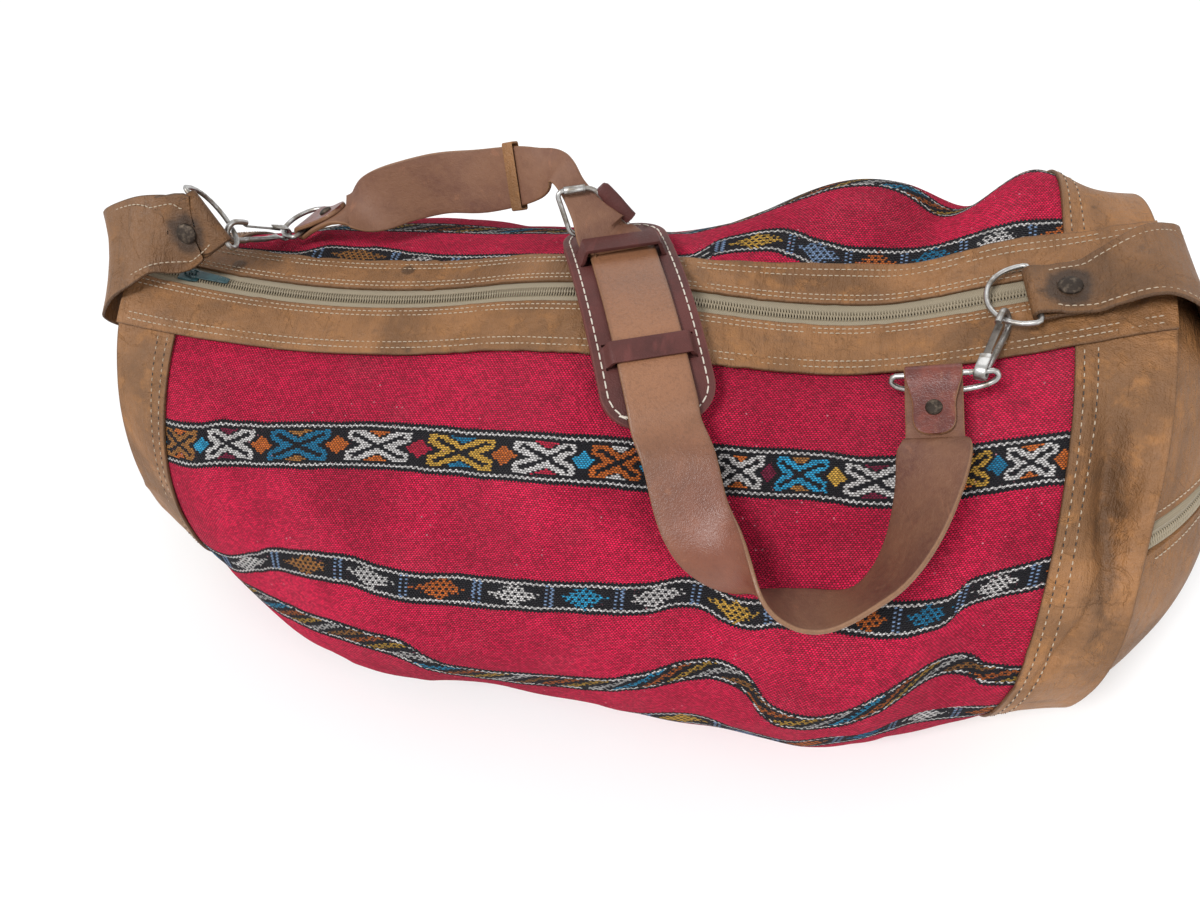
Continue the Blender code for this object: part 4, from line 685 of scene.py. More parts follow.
class Net:
    """The node tree of one material, with its base colour."""

    def __init__(self, name, base=(), roughness=0.6, metallic=0.0, **constants):
        self.base = tuple(base)
        self.material = bpy.data.materials.new(name)
        self.material.use_nodes = True
        self.tree = self.material.node_tree
        self.shader = self.tree.nodes["Principled BSDF"]
        for key, value in {"Roughness": roughness, "Metallic": metallic, **constants}.items():
            self.shader.inputs[key.replace("_", " ")].default_value = value
        self.coordinates = self.add("ShaderNodeTexCoord").outputs
        self.place = self.coordinates["Object"]

    def add(self, kind, inputs=None, **settings):
        """A node of this kind with these settings, its inputs fed."""
        node = self.tree.nodes.new(kind)
        for key, value in settings.items():
            setattr(node, key, value)
        for key, value in (inputs or {}).items():
            self.feed(node.inputs[key], value)
        return node

    def feed(self, socket, value):
        if isinstance(value, Signal):
            value = value.socket
        if hasattr(value, "is_output"):
            self.tree.links.new(value, socket)
        elif value is not None:
            if socket.type == "RGBA" and len(value) == 3:
                value = (*value, 1.0)
            socket.default_value = value

    def number(self, kind, output, inputs, **settings):
        return Signal(self, self.add(kind, inputs, **settings).outputs[output])

    def maths(self, operation, *values):
        return self.number("ShaderNodeMath", "Value", dict(enumerate(values)), operation=operation)

    def uv(self):
        parts = self.add("ShaderNodeSeparateXYZ", {0: self.coordinates["UV"]}).outputs
        return Signal(self, parts["X"]), Signal(self, parts["Y"])

    def value(self, name):
        return self.number("ShaderNodeAttribute", "Fac", {}, attribute_name=name)

    def point(self, x, y, z=0.0):
        return self.add("ShaderNodeCombineXYZ", {"X": x, "Y": y, "Z": z}).outputs["Vector"]

    def stretched(self, scale, turn=(0.0, 0.0, 0.0)):
        inputs = {"Vector": self.place, "Scale": scale, "Rotation": turn}
        return self.add("ShaderNodeMapping", inputs).outputs["Vector"]

    def noise(self, scale, detail=3.0, roughness=0.5, distortion=0.0, where=None):
        inputs = {"Scale": scale, "Detail": detail, "Roughness": roughness, "Distortion": distortion}
        inputs["Vector"] = self.place if where is None else where
        return self.number("ShaderNodeTexNoise", "Fac", inputs)

    def cells(self, scale):
        return self.number("ShaderNodeTexVoronoi", "Distance", {"Vector": self.place, "Scale": scale})

    def speckle(self, where):
        return self.number("ShaderNodeTexWhiteNoise", "Value", {"Vector": where}, noise_dimensions="3D")

    def tone(self, share):
        """The base colour made darker or lighter."""
        return scaled(self.base, share)

    def mix(self, share, first, second, blend="MIX"):
        inputs = {0: share, 6: first, 7: second}
        return self.add("ShaderNodeMix", inputs, data_type="RGBA", blend_type=blend).outputs[2]

    def layers(self, colour, *layers):
        """The colour with others laid over it, each a (share, colour)."""
        for share, layer in layers:
            colour = self.mix(share, colour, layer)
        return colour

    def pick(self, index, choices):
        """The colour of choices at this whole number."""
        node = self.add("ShaderNodeValToRGB", {"Fac": (index + 0.5) / len(choices)})
        ramp = node.color_ramp
        ramp.interpolation = "CONSTANT"
        ramp.elements.remove(ramp.elements[-1])
        for k, colour in enumerate(choices):
            element = ramp.elements[0] if k == 0 else ramp.elements.new(k / len(choices))
            element.color = (*colour, 1.0)
        return node.outputs["Color"]

    def curve(self, signal, points, rounded=False):
        """A line through (input, output) points, bent smoothly when rounded."""
        points = np.asarray(points, float)
        low, high = points.min(0), points.max(0)
        node = self.add("ShaderNodeFloatCurve", {"Value": (signal - low[0]) / (high[0] - low[0])})
        line = node.mapping.curves[0].points
        for _ in range(len(points) - 2):
            line.new(0.5, 0.5)
        for point, place in zip(line, (points - low) / (high - low)):
            point.location = place
            point.handle_type = "AUTO_CLAMPED" if rounded else "VECTOR"
        node.mapping.update()
        return Signal(self, node.outputs["Value"]) * (high[1] - low[1]) + low[1]

    def near(self, places, radius):
        """How near a point is to the nearest of some places: 1 there and 0 at the radius and beyond."""
        nearest = None
        for place in places:
            inputs = {0: self.place, 1: place}
            distance = self.number("ShaderNodeVectorMath", "Value", inputs, operation="DISTANCE")
            nearest = distance if nearest is None else nearest.least(distance)
        return 1 - nearest.step(0.0, radius)

    def bump(self, height, distance, strength=1.0):
        inputs = {"Strength": strength, "Distance": distance, "Height": height}
        return self.add("ShaderNodeBump", inputs).outputs["Normal"]

    def finish(self, colour, roughness=None, normal=None):
        for key, value in (("Base Color", colour), ("Roughness", roughness), ("Normal", normal)):
            self.feed(self.shader.inputs[key], value)
        return self.material


def srgb(red, green, blue):
    """A screen colour from 0 to 255 as linear shares."""
    found = []
    for part in (red, green, blue):
        part = part / 255
        found.append(part / 12.92 if part <= 0.04045 else ((part + 0.055) / 1.055) ** 2.4)
    return tuple(found)


def scaled(colour, share):
    return tuple(min(1.0, share * part) for part in colour)


BLACK = srgb(30, 28, 34)
WHITE = srgb(214, 210, 208)
BLUE = srgb(34, 120, 160)
BRIGHT = srgb(50, 160, 205)
ORANGE = srgb(200, 105, 45)
YELLOW = srgb(212, 165, 70)
OCHRE = srgb(170, 115, 60)
MAROON = srgb(120, 30, 60)
RED = srgb(190, 35, 65)
PALE_BLUE = srgb(125, 150, 185)

# Motifs of the broad band: place along the bag and colour, and the colours of what stands between them
CROSSES = (
    (-0.2495, OCHRE, BRIGHT, ORANGE), (-0.2158, WHITE, ORANGE, MAROON), (-0.1673, BLUE, ORANGE, OCHRE),
    (-0.1160, WHITE, RED, ORANGE), (-0.0652, YELLOW, ORANGE, BLUE), (-0.0122, WHITE, BRIGHT, RED),
    (0.0275, ORANGE, BLUE, WHITE), (0.0590, WHITE, ORANGE, RED), (0.0905, WHITE, MAROON, ORANGE),
    (0.1221, BRIGHT, YELLOW, OCHRE), (0.1611, WHITE, ORANGE, MAROON), (0.2046, YELLOW, BLUE, ORANGE),
    (0.2362, WHITE, ORANGE, ORANGE),
)
LOZENGES = (
    (-0.2550, BLUE), (-0.2113, WHITE), (-0.1547, OCHRE), (-0.1120, WHITE), (-0.0681, ORANGE),
    (-0.0228, WHITE), (0.0166, BRIGHT), (0.0550, WHITE), (0.0983, YELLOW), (0.1320, PALE_BLUE),
    (0.1648, ORANGE), (0.1956, BLUE), (0.2315, WHITE), (0.2660, ORANGE),
)
HATCH = (ORANGE, YELLOW, WHITE, BRIGHT, ORANGE, YELLOW, WHITE, OCHRE)

# Middle lines of the bands: (x, running length)
CROSS_LINE = (
    (-0.275, 0.1095), (-0.255, 0.1090), (-0.217, 0.1040), (-0.166, 0.1000), (-0.115, 0.0980),
    (-0.080, 0.1000), (-0.037, 0.1024), (0.006, 0.1014), (0.040, 0.1017), (0.080, 0.1003), (0.120, 0.0998),
    (0.170, 0.1050), (0.200, 0.1040), (0.226, 0.1018), (0.265, 0.1038),
)
LOZENGE_LINE = (
    (-0.275, 0.2080), (-0.230, 0.1970), (-0.200, 0.1830), (-0.170, 0.1735), (-0.137, 0.1725),
    (-0.105, 0.1777), (-0.062, 0.1814), (-0.020, 0.1797), (0.017, 0.1778), (0.050, 0.1765), (0.075, 0.1705),
    (0.100, 0.1785), (0.125, 0.1730), (0.150, 0.1740), (0.180, 0.1785), (0.202, 0.1790), (0.216, 0.1712),
    (0.232, 0.1685), (0.265, 0.1620),
)
HATCH_LINE = (
    (-0.275, 0.2260), (-0.140, 0.2180), (-0.105, 0.2200), (-0.075, 0.2330), (-0.050, 0.2410),
    (0.002, 0.2440), (0.045, 0.2360), (0.083, 0.2230), (0.096, 0.2215), (0.115, 0.2310), (0.135, 0.2420),
    (0.155, 0.2390), (0.180, 0.2280), (0.215, 0.2205), (0.238, 0.2295), (0.265, 0.2330),
)
LOW_LINE = (
    (-0.275, 0.2950), (0.020, 0.3000), (0.080, 0.2770), (0.115, 0.2840), (0.185, 0.2620), (0.265, 0.2760),
)
REAR_LINE = (
    (-0.275, -0.0340), (-0.220, -0.0356), (-0.180, -0.0455), (-0.130, -0.0410), (-0.108, -0.0385),
    (0.000, -0.0340), (0.040, -0.0350), (0.062, -0.0535), (0.085, -0.0560), (0.103, -0.0520),
    (0.127, -0.0425), (0.156, -0.0385), (0.180, -0.0400), (0.225, -0.0390), (0.265, -0.0400),
)
REAR_HATCH_LINE = (
    (-0.275, -0.0880), (-0.120, -0.0830), (-0.020, -0.0820), (0.060, -0.0950), (0.140, -0.0960),
    (0.204, -0.0865), (0.225, -0.0915), (0.245, -0.0910), (0.265, -0.0930),
)
REAR_CROSS = -0.170
REAR_LOW = -0.238
REAR_LAST = -0.300


def kilim_material():
    """Weft-faced wool: staggered knots, with bands whose middle lines are curves of x. Each band is black
    between two white zigzags, and holds hooked crosses, ragged lozenges between bars, or a hatch."""
    constants = {"Sheen_Weight": 0.06, "Sheen_Roughness": 0.5, "Specular_IOR_Level": 0.08}
    net = Net("kilim_wool", colours().wool, roughness=0.95, **constants)
    x, run = net.uv()
    x = x + (net.noise(28, 2) - 0.5) * 0.0030
    run = run + (net.noise(34, 3) - 0.5) * 0.0036
    wide = sizes().knot
    high = 0.62 * wide
    row = (run / high).floor()
    shifted = x / wide + (row * 0.5).part() + row * 0.013
    knot = shifted.floor()
    in_x, in_run = shifted.part() - 0.5, (run / high).part() - 0.5
    knot_x = x - in_x * wide
    knot_run = run - in_run * high
    own = net.speckle(net.point(knot, row))
    front = run > 0.0

    def choose(test, yes, no):
        return no + test * (yes - no)

    def ground(half, from_middle):
        """Inside a band, and on one of its zigzags."""
        away = from_middle.size()
        tooth = x.teeth(0.0034)
        inside = away < (half + (x.teeth(0.0021) - 0.5) * 0.0010)
        zigzag = (away - (half - 0.0027) - (tooth - 0.5) * 0.0011).size() < 0.00062
        return inside, zigzag * inside

    # The broad band: hooked crosses, with gems and darts between them
    cross_middle = choose(front, net.curve(knot_x, CROSS_LINE, True), REAR_CROSS)
    from_cross = knot_run - cross_middle
    cross_inside, cross_zigzag = ground(0.0143, run - cross_middle)
    count = net.curve(knot_x, [(place, k) for k, (place, *_) in enumerate(CROSSES)])
    index = (count + 0.5).floor()
    a = (count - index).size() / 0.40
    b = from_cross.size() / 0.0090
    arm = (b - a * 0.95).size()
    tip = (a - 0.74).size() < 0.22
    body = (arm < 0.50).most(tip * ((b - 0.66).size() < 0.22)) * (a < 0.97) * (b < 1.0)
    core = (arm < 0.14) * (a < 0.76)
    hook = ((b - 0.60).size() < 0.08) * ((a - 0.70).size() < 0.13)
    crosses = body * (1 - core.most(hook))
    gem_way = ((count - count.floor()) - 0.5).size()
    gems = (gem_way / 0.155 + from_cross.size() / 0.0058) < 1.0
    darts = (b > 0.50) * (b < 1.0) * (arm > 0.60) * (a < b * 0.62 - 0.08)

    # The narrow bands: ragged lozenges pierced by a mesh, with bars between them
    low = run > 0.258
    front_line = choose(low, net.curve(knot_x, LOW_LINE, True), net.curve(knot_x, LOZENGE_LINE, True))
    rear_line = choose(run < -0.14, REAR_LOW, net.curve(knot_x, REAR_LINE, True))
    middle = choose(front, front_line, rear_line)
    lozenge_inside, lozenge_zigzag = ground(0.0096, run - middle)
    from_lozenge = knot_run - middle
    shift = low * 0.5 + (run < 0.0) * 0.32
    leaf_count = net.curve(knot_x, [(place, k) for k, (place, _) in enumerate(LOZENGES)]) + shift
    leaf_index = (leaf_count + 0.5).floor()
    a = (leaf_count - leaf_index).size()
    leaf = (a / 0.35 + from_lozenge.size() / 0.0066 + (own - 0.5) * 0.42) < 1.0
    mesh_row = (run / 0.0024).floor()
    mesh_x = (x / 0.0040 + (mesh_row * 0.5).part()).part() - 0.5
    mesh_run = (run / 0.0024).part() - 0.5
    hole = (mesh_x.size() < 0.25) * (mesh_run.size() < 0.30)
    leaves = leaf * (1 - hole)
    bar_way = ((leaf_count - leaf_count.floor()) - 0.5).size()
    bars = ((bar_way - 0.040).size() < 0.015) * (from_lozenge.size() < 0.0066)

    # The hatched bands
    rear_hatch = choose(run < -0.2, REAR_LAST, net.curve(knot_x, REAR_HATCH_LINE, True))
    hatch_middle = choose(front, net.curve(knot_x, HATCH_LINE, True), rear_hatch)
    hatch_inside, hatch_zigzag = ground(0.0084, run - hatch_middle)
    from_hatch = knot_run - hatch_middle
    slant = (knot_x + from_hatch * 2.1) / 0.0150
    stripes = (slant.part() < 0.56) * (from_hatch.size() < 0.0054) * (1 - hole)
    shades = [scaled(shade, 0.62) for shade in HATCH]
    hatch_colour = net.pick((slant.floor() / len(shades)).part() * len(shades), shades)

    # The worn red ground with painted highlight and shade, the bands over it, and the relief of the knots
    fuzz = net.noise(900, 2, 0.6)
    worn = net.noise(9, 4, 0.6, 0.4)
    # Swells of the cloth's bump; they also set random tone patches and painted highlight and shade
    swells_and_painted_light = net.noise(30, 3, 0.6)
    streak = net.noise(60, 2, 0.5, where=net.stretched((0.25, 4.0, 4.0)))
    colour = net.layers(
        net.mix(worn.step(0.34, 0.66), net.tone(0.66), net.base),
        # Random pinker and darker patches of the wool that also paint a highlight on the swells and shade in
        # the hollows between them
        (swells_and_painted_light.step(0.50, 0.72) * 0.45, (0.70, 0.036, 0.090)),
        ((1 - swells_and_painted_light.step(0.30, 0.46)) * 0.5, net.tone(0.55)),
        # Painted shade: the ground made darker towards the underside, on the front and on the rear
        (run.size().step(0.19, 0.31) * 0.55, net.tone(0.55)),
        (streak.step(0.45, 0.75) * 0.25, net.tone(0.62)),
        (cross_inside, BLACK),
        (cross_zigzag, WHITE),
        (crosses * cross_inside, net.pick(index, [c[1] for c in CROSSES])),
        (darts * cross_inside, net.pick(index, [c[3] for c in CROSSES])),
        (gems * cross_inside, net.pick(count.floor(), [c[2] for c in CROSSES])),
        (lozenge_inside, BLACK),
        (lozenge_zigzag, WHITE),
        (leaves * lozenge_inside, net.pick(leaf_index, [c[1] for c in LOZENGES])),
        (bars * lozenge_inside, PALE_BLUE),
        (hatch_inside, BLACK),
        (hatch_zigzag * (own > 0.25), WHITE),
        (stripes * hatch_inside, hatch_colour),
    )
    pit = (in_x.size() * 2.0) * (in_x.size() * 2.0) + (in_run.size() * 2.0) * (in_run.size() * 2.0)
    shade = (1 - pit.step(0.25, 1.5) * 0.55) * (0.69 + own * 0.56) * (0.84 + fuzz * 0.32)
    colour = net.mix(1.0, colour, net.point(shade, shade, shade), "MULTIPLY")
    fleck = (net.cells(190) < 0.11) * (net.noise(45, 2) > 0.60)
    colour = net.mix(fleck * 0.5, colour, srgb(238, 160, 172))
    hair = net.noise(420, 1, 0.5, 2.5).step(0.70, 0.76) * swells_and_painted_light.step(0.45, 0.6)
    colour = net.mix(hair * 0.30, colour, srgb(235, 130, 150))
    height = (1 - pit.step(0.1, 1.5)) * 0.8 + fuzz * 0.6 + own * 0.35 + swells_and_painted_light * 1.5
    return net.finish(colour, None, net.bump(height, 0.0016, 1.0))


def leather_material(name, base, stains=(), stain_radius=0.0, stain=0.0, fold_shade_line=None):
    """Worn leather: broad and small patches, veins, creases, pores, dark stains at some places, painted
    shade of a fold along a slanted line of the pattern map (x, run, slope, length, width), and darker cut
    edges where the edge value is 1."""
    net = Net(name, base, roughness=0.5, Specular_IOR_Level=0.45)
    tone = net.tone
    broad = net.noise(11, 5, 0.62, 0.8)
    small = net.noise(70, 4, 0.65)
    fine = net.noise(420, 3, 0.6)
    pale = tuple(part * gain for part, gain in zip(net.base, (1.42, 1.38, 1.20)))
    smear = net.noise(26, 3, 0.6, 0.5, where=net.stretched((1.0, 1.0, 3.5), (0.3, 0.2, 0.4)))
    veins = 1 - (net.noise(24, 5, 0.62, 1.6) - 0.5).size().step(0.0, 0.016)
    lines = veins * small.step(0.42, 0.60)
    crossing = net.noise(1, 4, 0.62, 0.25, net.stretched((150.0, 22.0, 22.0)))
    spots = 1 - net.cells(38).step(0.04, 0.11)
    colour = net.layers(
        net.mix(broad.step(0.34, 0.66), tone(0.58), tone(1.15)),
        (small.step(0.50, 0.72) * 0.6, pale),
        ((1 - small.step(0.28, 0.44)) * 0.6, tone(0.58)),
        (smear.step(0.60, 0.78) * 0.55, tone(0.42)),
        (lines * 0.22, tone(1.50)),
        (crossing.step(0.56, 0.68) * broad.step(0.35, 0.60) * 0.30, tone(0.48)),
        (spots * net.noise(13, 2).step(0.58, 0.66) * 0.65, tone(0.25)),
        ((fine - 0.5).size() * 0.5, tone(0.7)),
    )
    if len(stains):
        mark = net.near(stains, stain_radius) + (small - 0.5) * 0.9 + (smear - 0.5) * 0.6
        colour = net.mix(mark.step(0.20, 0.62) * stain, colour, tone(0.16))
    # Painted shade of a deep fold: a dark streak along a slanted line of the pattern map
    if fold_shade_line:
        x, run, slope, length, width = fold_shade_line
        map_x, map_run = net.uv()
        beside = map_x - x - (map_run - run) * slope + (small - 0.5) * 0.030 + (smear - 0.5) * 0.030
        onwards = (map_run - run).size()
        fold_shade = (1 - beside.size().step(0.0, width)) * (1 - onwards.step(0.4 * length, length))
        colour = net.mix(fold_shade * 0.62, colour, tone(0.20))
    colour = net.mix(net.value("edge") * 0.75, colour, tone(0.35))
    creases = net.noise(120, 4, 0.65, 1.2)
    height = net.cells(1100) * 0.25 + creases + crossing * 2.0 - lines * 0.4
    rough = 0.64 + (small - 0.5) * 0.35 - broad.step(0.4, 0.7) * 0.12
    return net.finish(colour, rough, net.bump(height, 0.0014, 0.85))


def strap_material():
    """Strap leather: waxed grain above, pale flesh below, light fibres on its cut edges, reddish tongues."""
    net = Net("strap_leather", colours().strap, roughness=0.4, Specular_IOR_Level=0.5)
    tone = net.tone
    _, across = net.uv()
    broad = net.noise(14, 4, 0.6, 0.6)
    small = net.noise(90, 4, 0.65)
    fibres = net.noise(260, 4, 0.7, 0.4)
    rubbed = net.noise(620, 4, 0.7, 0.6)
    scratches = net.noise(160, 3, 0.6, 0.3, where=net.stretched((1.0, 0.18, 1.0)))
    pale = net.near([(0.03, -0.06, 0.235), (0.0, 0.03, 0.26)], 0.080)
    worn = net.near([(0.085, -0.140, 0.190), (0.11, -0.155, 0.178)], 0.075)
    grain = net.layers(
        net.mix(broad.step(0.35, 0.68), tone(0.78), tone(1.22)),
        (small.step(0.48, 0.75) * 0.55, tone(1.45)),
        ((1 - small.step(0.30, 0.45)) * 0.45, tone(0.62)),
        (pale * 0.70, srgb(160, 112, 80)),
        (rubbed.step(0.44, 0.70) * 0.34, tone(0.55)),
        (worn * 0.75, net.mix(small, srgb(96, 46, 32), srgb(134, 74, 52))),
    )
    flesh = net.layers(
        net.mix(broad.step(0.38, 0.64), srgb(116, 78, 56), srgb(88, 50, 37)),
        (fibres.step(0.30, 0.75) * 0.40, srgb(128, 90, 66)),
        (small.step(0.52, 0.70) * 0.35, srgb(96, 62, 46)),
    )
    above = net.value("face").step(-0.2, 0.2)
    tongue = net.mix(small.step(0.35, 0.7), srgb(84, 34, 26), srgb(112, 50, 36))
    colour = net.layers(
        net.mix(above, flesh, grain),
        (net.value("tongue") * above, tongue),
        ((across.size() - 0.0165).step(0.0, 0.0024) * 0.35, tone(0.50)),
        (net.value("edge") * 0.9, net.mix(fibres, srgb(104, 70, 48), srgb(152, 112, 80))),
        (scratches.step(0.62, 0.74) * 0.35, tone(1.7)),
    )
    rough = (1 - above) * 0.26 + 0.32 + (small - 0.5) * 0.25 + broad * 0.1
    height = net.cells(1300) * 0.3 + fibres * (1.4 - above) + small * 0.3 + rubbed * 0.8
    return net.finish(colour, rough, net.bump(height, 0.0006, 0.5))


def metal_material(name, base, tarnish, roughness):
    """Plated steel: fine scratches, and tarnish in patches."""
    net = Net(name, roughness=roughness, metallic=1.0)
    patches = net.noise(160, 4, 0.6, 0.6)
    scratches = net.noise(900, 2, 0.5, where=net.stretched((1.0, 0.2, 1.0), (0.4, 0.3, 0.2)))
    colour = net.mix(patches.step(0.42, 0.70), base, tarnish)
    rough = roughness + patches.step(0.4, 0.7) * 0.22 + scratches * 0.10
    return net.finish(colour, rough, net.bump(scratches, 0.0001, 0.4))


def rivet_material():
    """Dark old brass: pitted, with brighter worn spots."""
    net = Net("antique_rivet", roughness=0.6, metallic=0.75)
    pits = net.noise(700, 4, 0.7)
    worn = net.noise(260, 3, 0.6)
    colour = net.mix(worn.step(0.45, 0.70), srgb(52, 44, 38), srgb(98, 86, 74))
    return net.finish(colour, 0.45 + pits * 0.3, net.bump(pits, 0.0006, 0.8))


def tape_material():
    """Woven tape: fine twill ribs along and across, slightly faded in patches."""
    net = Net("zip_tape", colours().tape, roughness=0.8, Sheen_Weight=0.15)
    x, run = net.uv()
    ribs, cords = (x + run * 0.6).teeth(0.0012), run.teeth(0.0009)
    colour = net.mix(ribs * 0.5 + net.noise(40, 3, 0.6) * 0.3, net.tone(0.72), net.tone(1.12))
    return net.finish(colour, None, net.bump(ribs * 0.6 + cords * 0.6, 0.0004, 0.7))


def coil_material():
    """Nylon: faded in patches, with a faint roughness."""
    net = Net("zip_coil", colours().tape, roughness=0.42, Specular_IOR_Level=0.5)
    worn = net.noise(60, 3, 0.6)
    colour = net.mix(worn, net.tone(0.70), net.tone(1.05))
    return net.finish(colour, 0.36 + worn * 0.2, net.bump(net.noise(900), 0.0002, 0.5))


def slider_material():
    """Enamel, chipped to grey metal in spots."""
    net = Net("slider_paint", colours().slider, roughness=0.38, Specular_IOR_Level=0.5)
    chips = net.noise(420, 3, 0.6)
    colour = net.mix(net.noise(120, 3).step(0.3, 0.7), net.tone(0.7), net.tone(1.5))
    colour = net.mix(chips.step(0.66, 0.70) * 0.7, colour, srgb(120, 118, 110))
    return net.finish(colour, 0.30 + chips * 0.25, net.bump(chips, 0.0003, 0.5))


def thread_material(name, base):
    """Waxed thread: twisted plies and a little dirt."""
    net = Net(name, base, roughness=0.7, Sheen_Weight=0.1)
    plies = net.noise(1500, 2, 0.5)
    colour = net.mix(plies * 0.5 + net.noise(50, 3, 0.6) * 0.4, net.tone(1.12), net.tone(0.55))
    return net.finish(colour, None, net.bump(plies, 0.0003, 0.6))


def pad_material():
    """Dark waxed leather of the pad: patches, long scuffs and paler cut edges."""
    net = Net("pad_leather", colours().pad, roughness=0.5, Specular_IOR_Level=0.28)
    small = net.noise(130, 4, 0.6)
    scuffs = net.noise(90, 3, 0.6, 0.3, where=net.stretched((1.0, 0.15, 1.0), (0.0, 0.0, 0.35)))
    colour = net.layers(
        net.mix(net.noise(24, 4, 0.6, 0.5).step(0.3, 0.7), net.tone(0.80), net.tone(1.35)),
        (small.step(0.55, 0.75) * 0.4, net.tone(1.9)),
        (scuffs.step(0.60, 0.72) * 0.4, net.tone(2.2)),
        (net.value("edge") * 0.8, net.tone(1.9)),
    )
    height = net.cells(1200) * 0.3 + small * 0.5 + scuffs * 0.4
    return net.finish(colour, 0.42 + small * 0.25, net.bump(height, 0.0008, 0.7))


LOOKS = {}
PLAIN_LOOKS = {
    "kilim": kilim_material,
    "strap": strap_material,
    "pad": pad_material,
    "tape": tape_material,
    "coil": coil_material,
    "slider": slider_material,
    "rivet": rivet_material,
}


def look(name):
    """The finish of this name, made when it is first asked for."""
    if name not in LOOKS:
        shades = colours()
        tan = tuple(shades.leather)
        tab = scaled(tan, 0.66)
        band_spots = skin_line([-0.243, -0.130], [-0.018, -0.026], 0.002)[0]
        # Painted shade along the right wrap's deep fold: x, run, slope, length, width
        fold_shade_line = (0.281, 0.155, 0.10, 0.085, 0.011)
        leathers = {
            "leather": ("tan_leather", tan),
            "left wrap": ("left_wrap_leather", tan),
            "right wrap": ("right_wrap_leather", scaled(tan, 1.08), (), 0.0, 0.0, fold_shade_line),
            "band": ("band_leather", scaled(tan, 0.98), band_spots, 0.008, 0.7),
            "left tab": ("left_tab_leather", tab, [rivet_place(-1)], 0.023, 0.85),
            "right tab": ("right_tab_leather", tab, [rivet_place(1)], 0.024, 0.9),
        }
        steels = {
            "steel": ("nickel_steel", tuple(shades.steel), srgb(120, 112, 102), 0.27),
            "gate": ("gate_steel", srgb(112, 106, 100), srgb(80, 74, 70), 0.40),
        }
        threads = {
            "thread": ("cream_thread", shades.thread),
            "dark thread": ("dark_thread", srgb(52, 44, 40)),
            "pad thread": ("pad_thread", srgb(222, 212, 198)),
        }
        tables = ((leather_material, leathers), (metal_material, steels), (thread_material, threads))
        for maker, kinds in tables:
            if name in kinds:
                LOOKS[name] = maker(*kinds[name])
        if name in PLAIN_LOOKS:
            LOOKS[name] = PLAIN_LOOKS[name]()
    return LOOKS[name]


# Cloth and leather of the barrel


def stations_between(low, high, count):
    """Stations from high to low, which turns the faces outwards: even, and closer at both edges."""
    edge = np.array((0.0, 0.0006, 0.0014, 0.0030))
    inner = np.linspace(low + 0.006, high - 0.006, count)
    return np.concatenate([low + edge, inner, (high - edge)[::-1]])[::-1]


def sheet_on_skin(name, xs, shares, ends, lift, material, relief=None, thickness=LEATHER, edge_values=None):
    """A sheet on the skin: its point at station x and share q lies at running length start(x) + q (end(x) -
    start(x)). The pattern map holds x and the signed running length."""
    starts, stops = ends(xs)
    runs = starts[:, None] + shares[None] * (stops - starts)[:, None]
    points, _ = skin(xs, runs, lift, relief)
    n, m = runs.shape
    whole = girth(xs)[:, None]
    uv = np.stack([np.broadcast_to(xs[:, None], runs.shape), runs], -1)
    corners = grid_corners(uv, n, m)
    if (stops > 0.3).all() and (starts > 0).all():
        back = grid_corners(np.stack([uv[..., 0], runs - whole], -1), n, m)
        column = grid_cells(n, m)[1]
        behind = shares[column] >= 0.5
        corners = np.where(behind[:, None, None], back, corners)
    values = None
    if edge_values is not None:
        values = {"edge": edge_values(xs[:, None], runs, starts[:, None], stops[:, None])}
    obj = piece(name, points, [grid_faces(n, m)], material, corners, values)
    return thicken(obj, thickness, 0.0004 if thickness > 0.001 else 0.0)


def belly_ends(xs):
    """From under the front band, round below, to under the rear band."""
    return np.full(len(xs), BAND_FRONT - SEAM_LAP), girth(xs) - BAND_REAR + SEAM_LAP


def make_cloth():
    """The woven barrel: small wrinkles that fade at the bands and the rims."""
    height = sizes().wrinkle

    def relief(x, signed):
        fine = ridges(5, 90, x, signed, 0.030, 0.006, (0.0, 1.4))
        broad = ridges(11, 40, x, signed, 0.055, 0.016, (0.0, 0.9))
        pucker = 0.5 * np.sin(x * 260 + 3 * np.sin(x * 41)) * np.exp(-np.abs(signed - BAND_FRONT) / 0.012)
        away = smooth((np.abs(signed) - 0.036) / 0.02)
        rim = smooth((x - LEFT_WRAP_EDGE + 0.004) / 0.02) * smooth((RIGHT_WRAP_EDGE + 0.004 - x) / 0.02)
        return height * (0.55 * fine + 1.1 * broad) * away * rim + 0.0004 * pucker

    xs = np.linspace(RIGHT_WRAP_EDGE + SEAM_LAP, LEFT_WRAP_EDGE - SEAM_LAP, 221)
    shares = np.linspace(0.0, 1.0, 216)
    depth, finish = -(LEATHER + GAP), look("kilim")
    cloth = sheet_on_skin("kilim_cloth", xs, shares, belly_ends, depth, finish, relief, thickness=CLOTH)
    settle(cloth, "bag", "kilim_wool", "kilim_body")


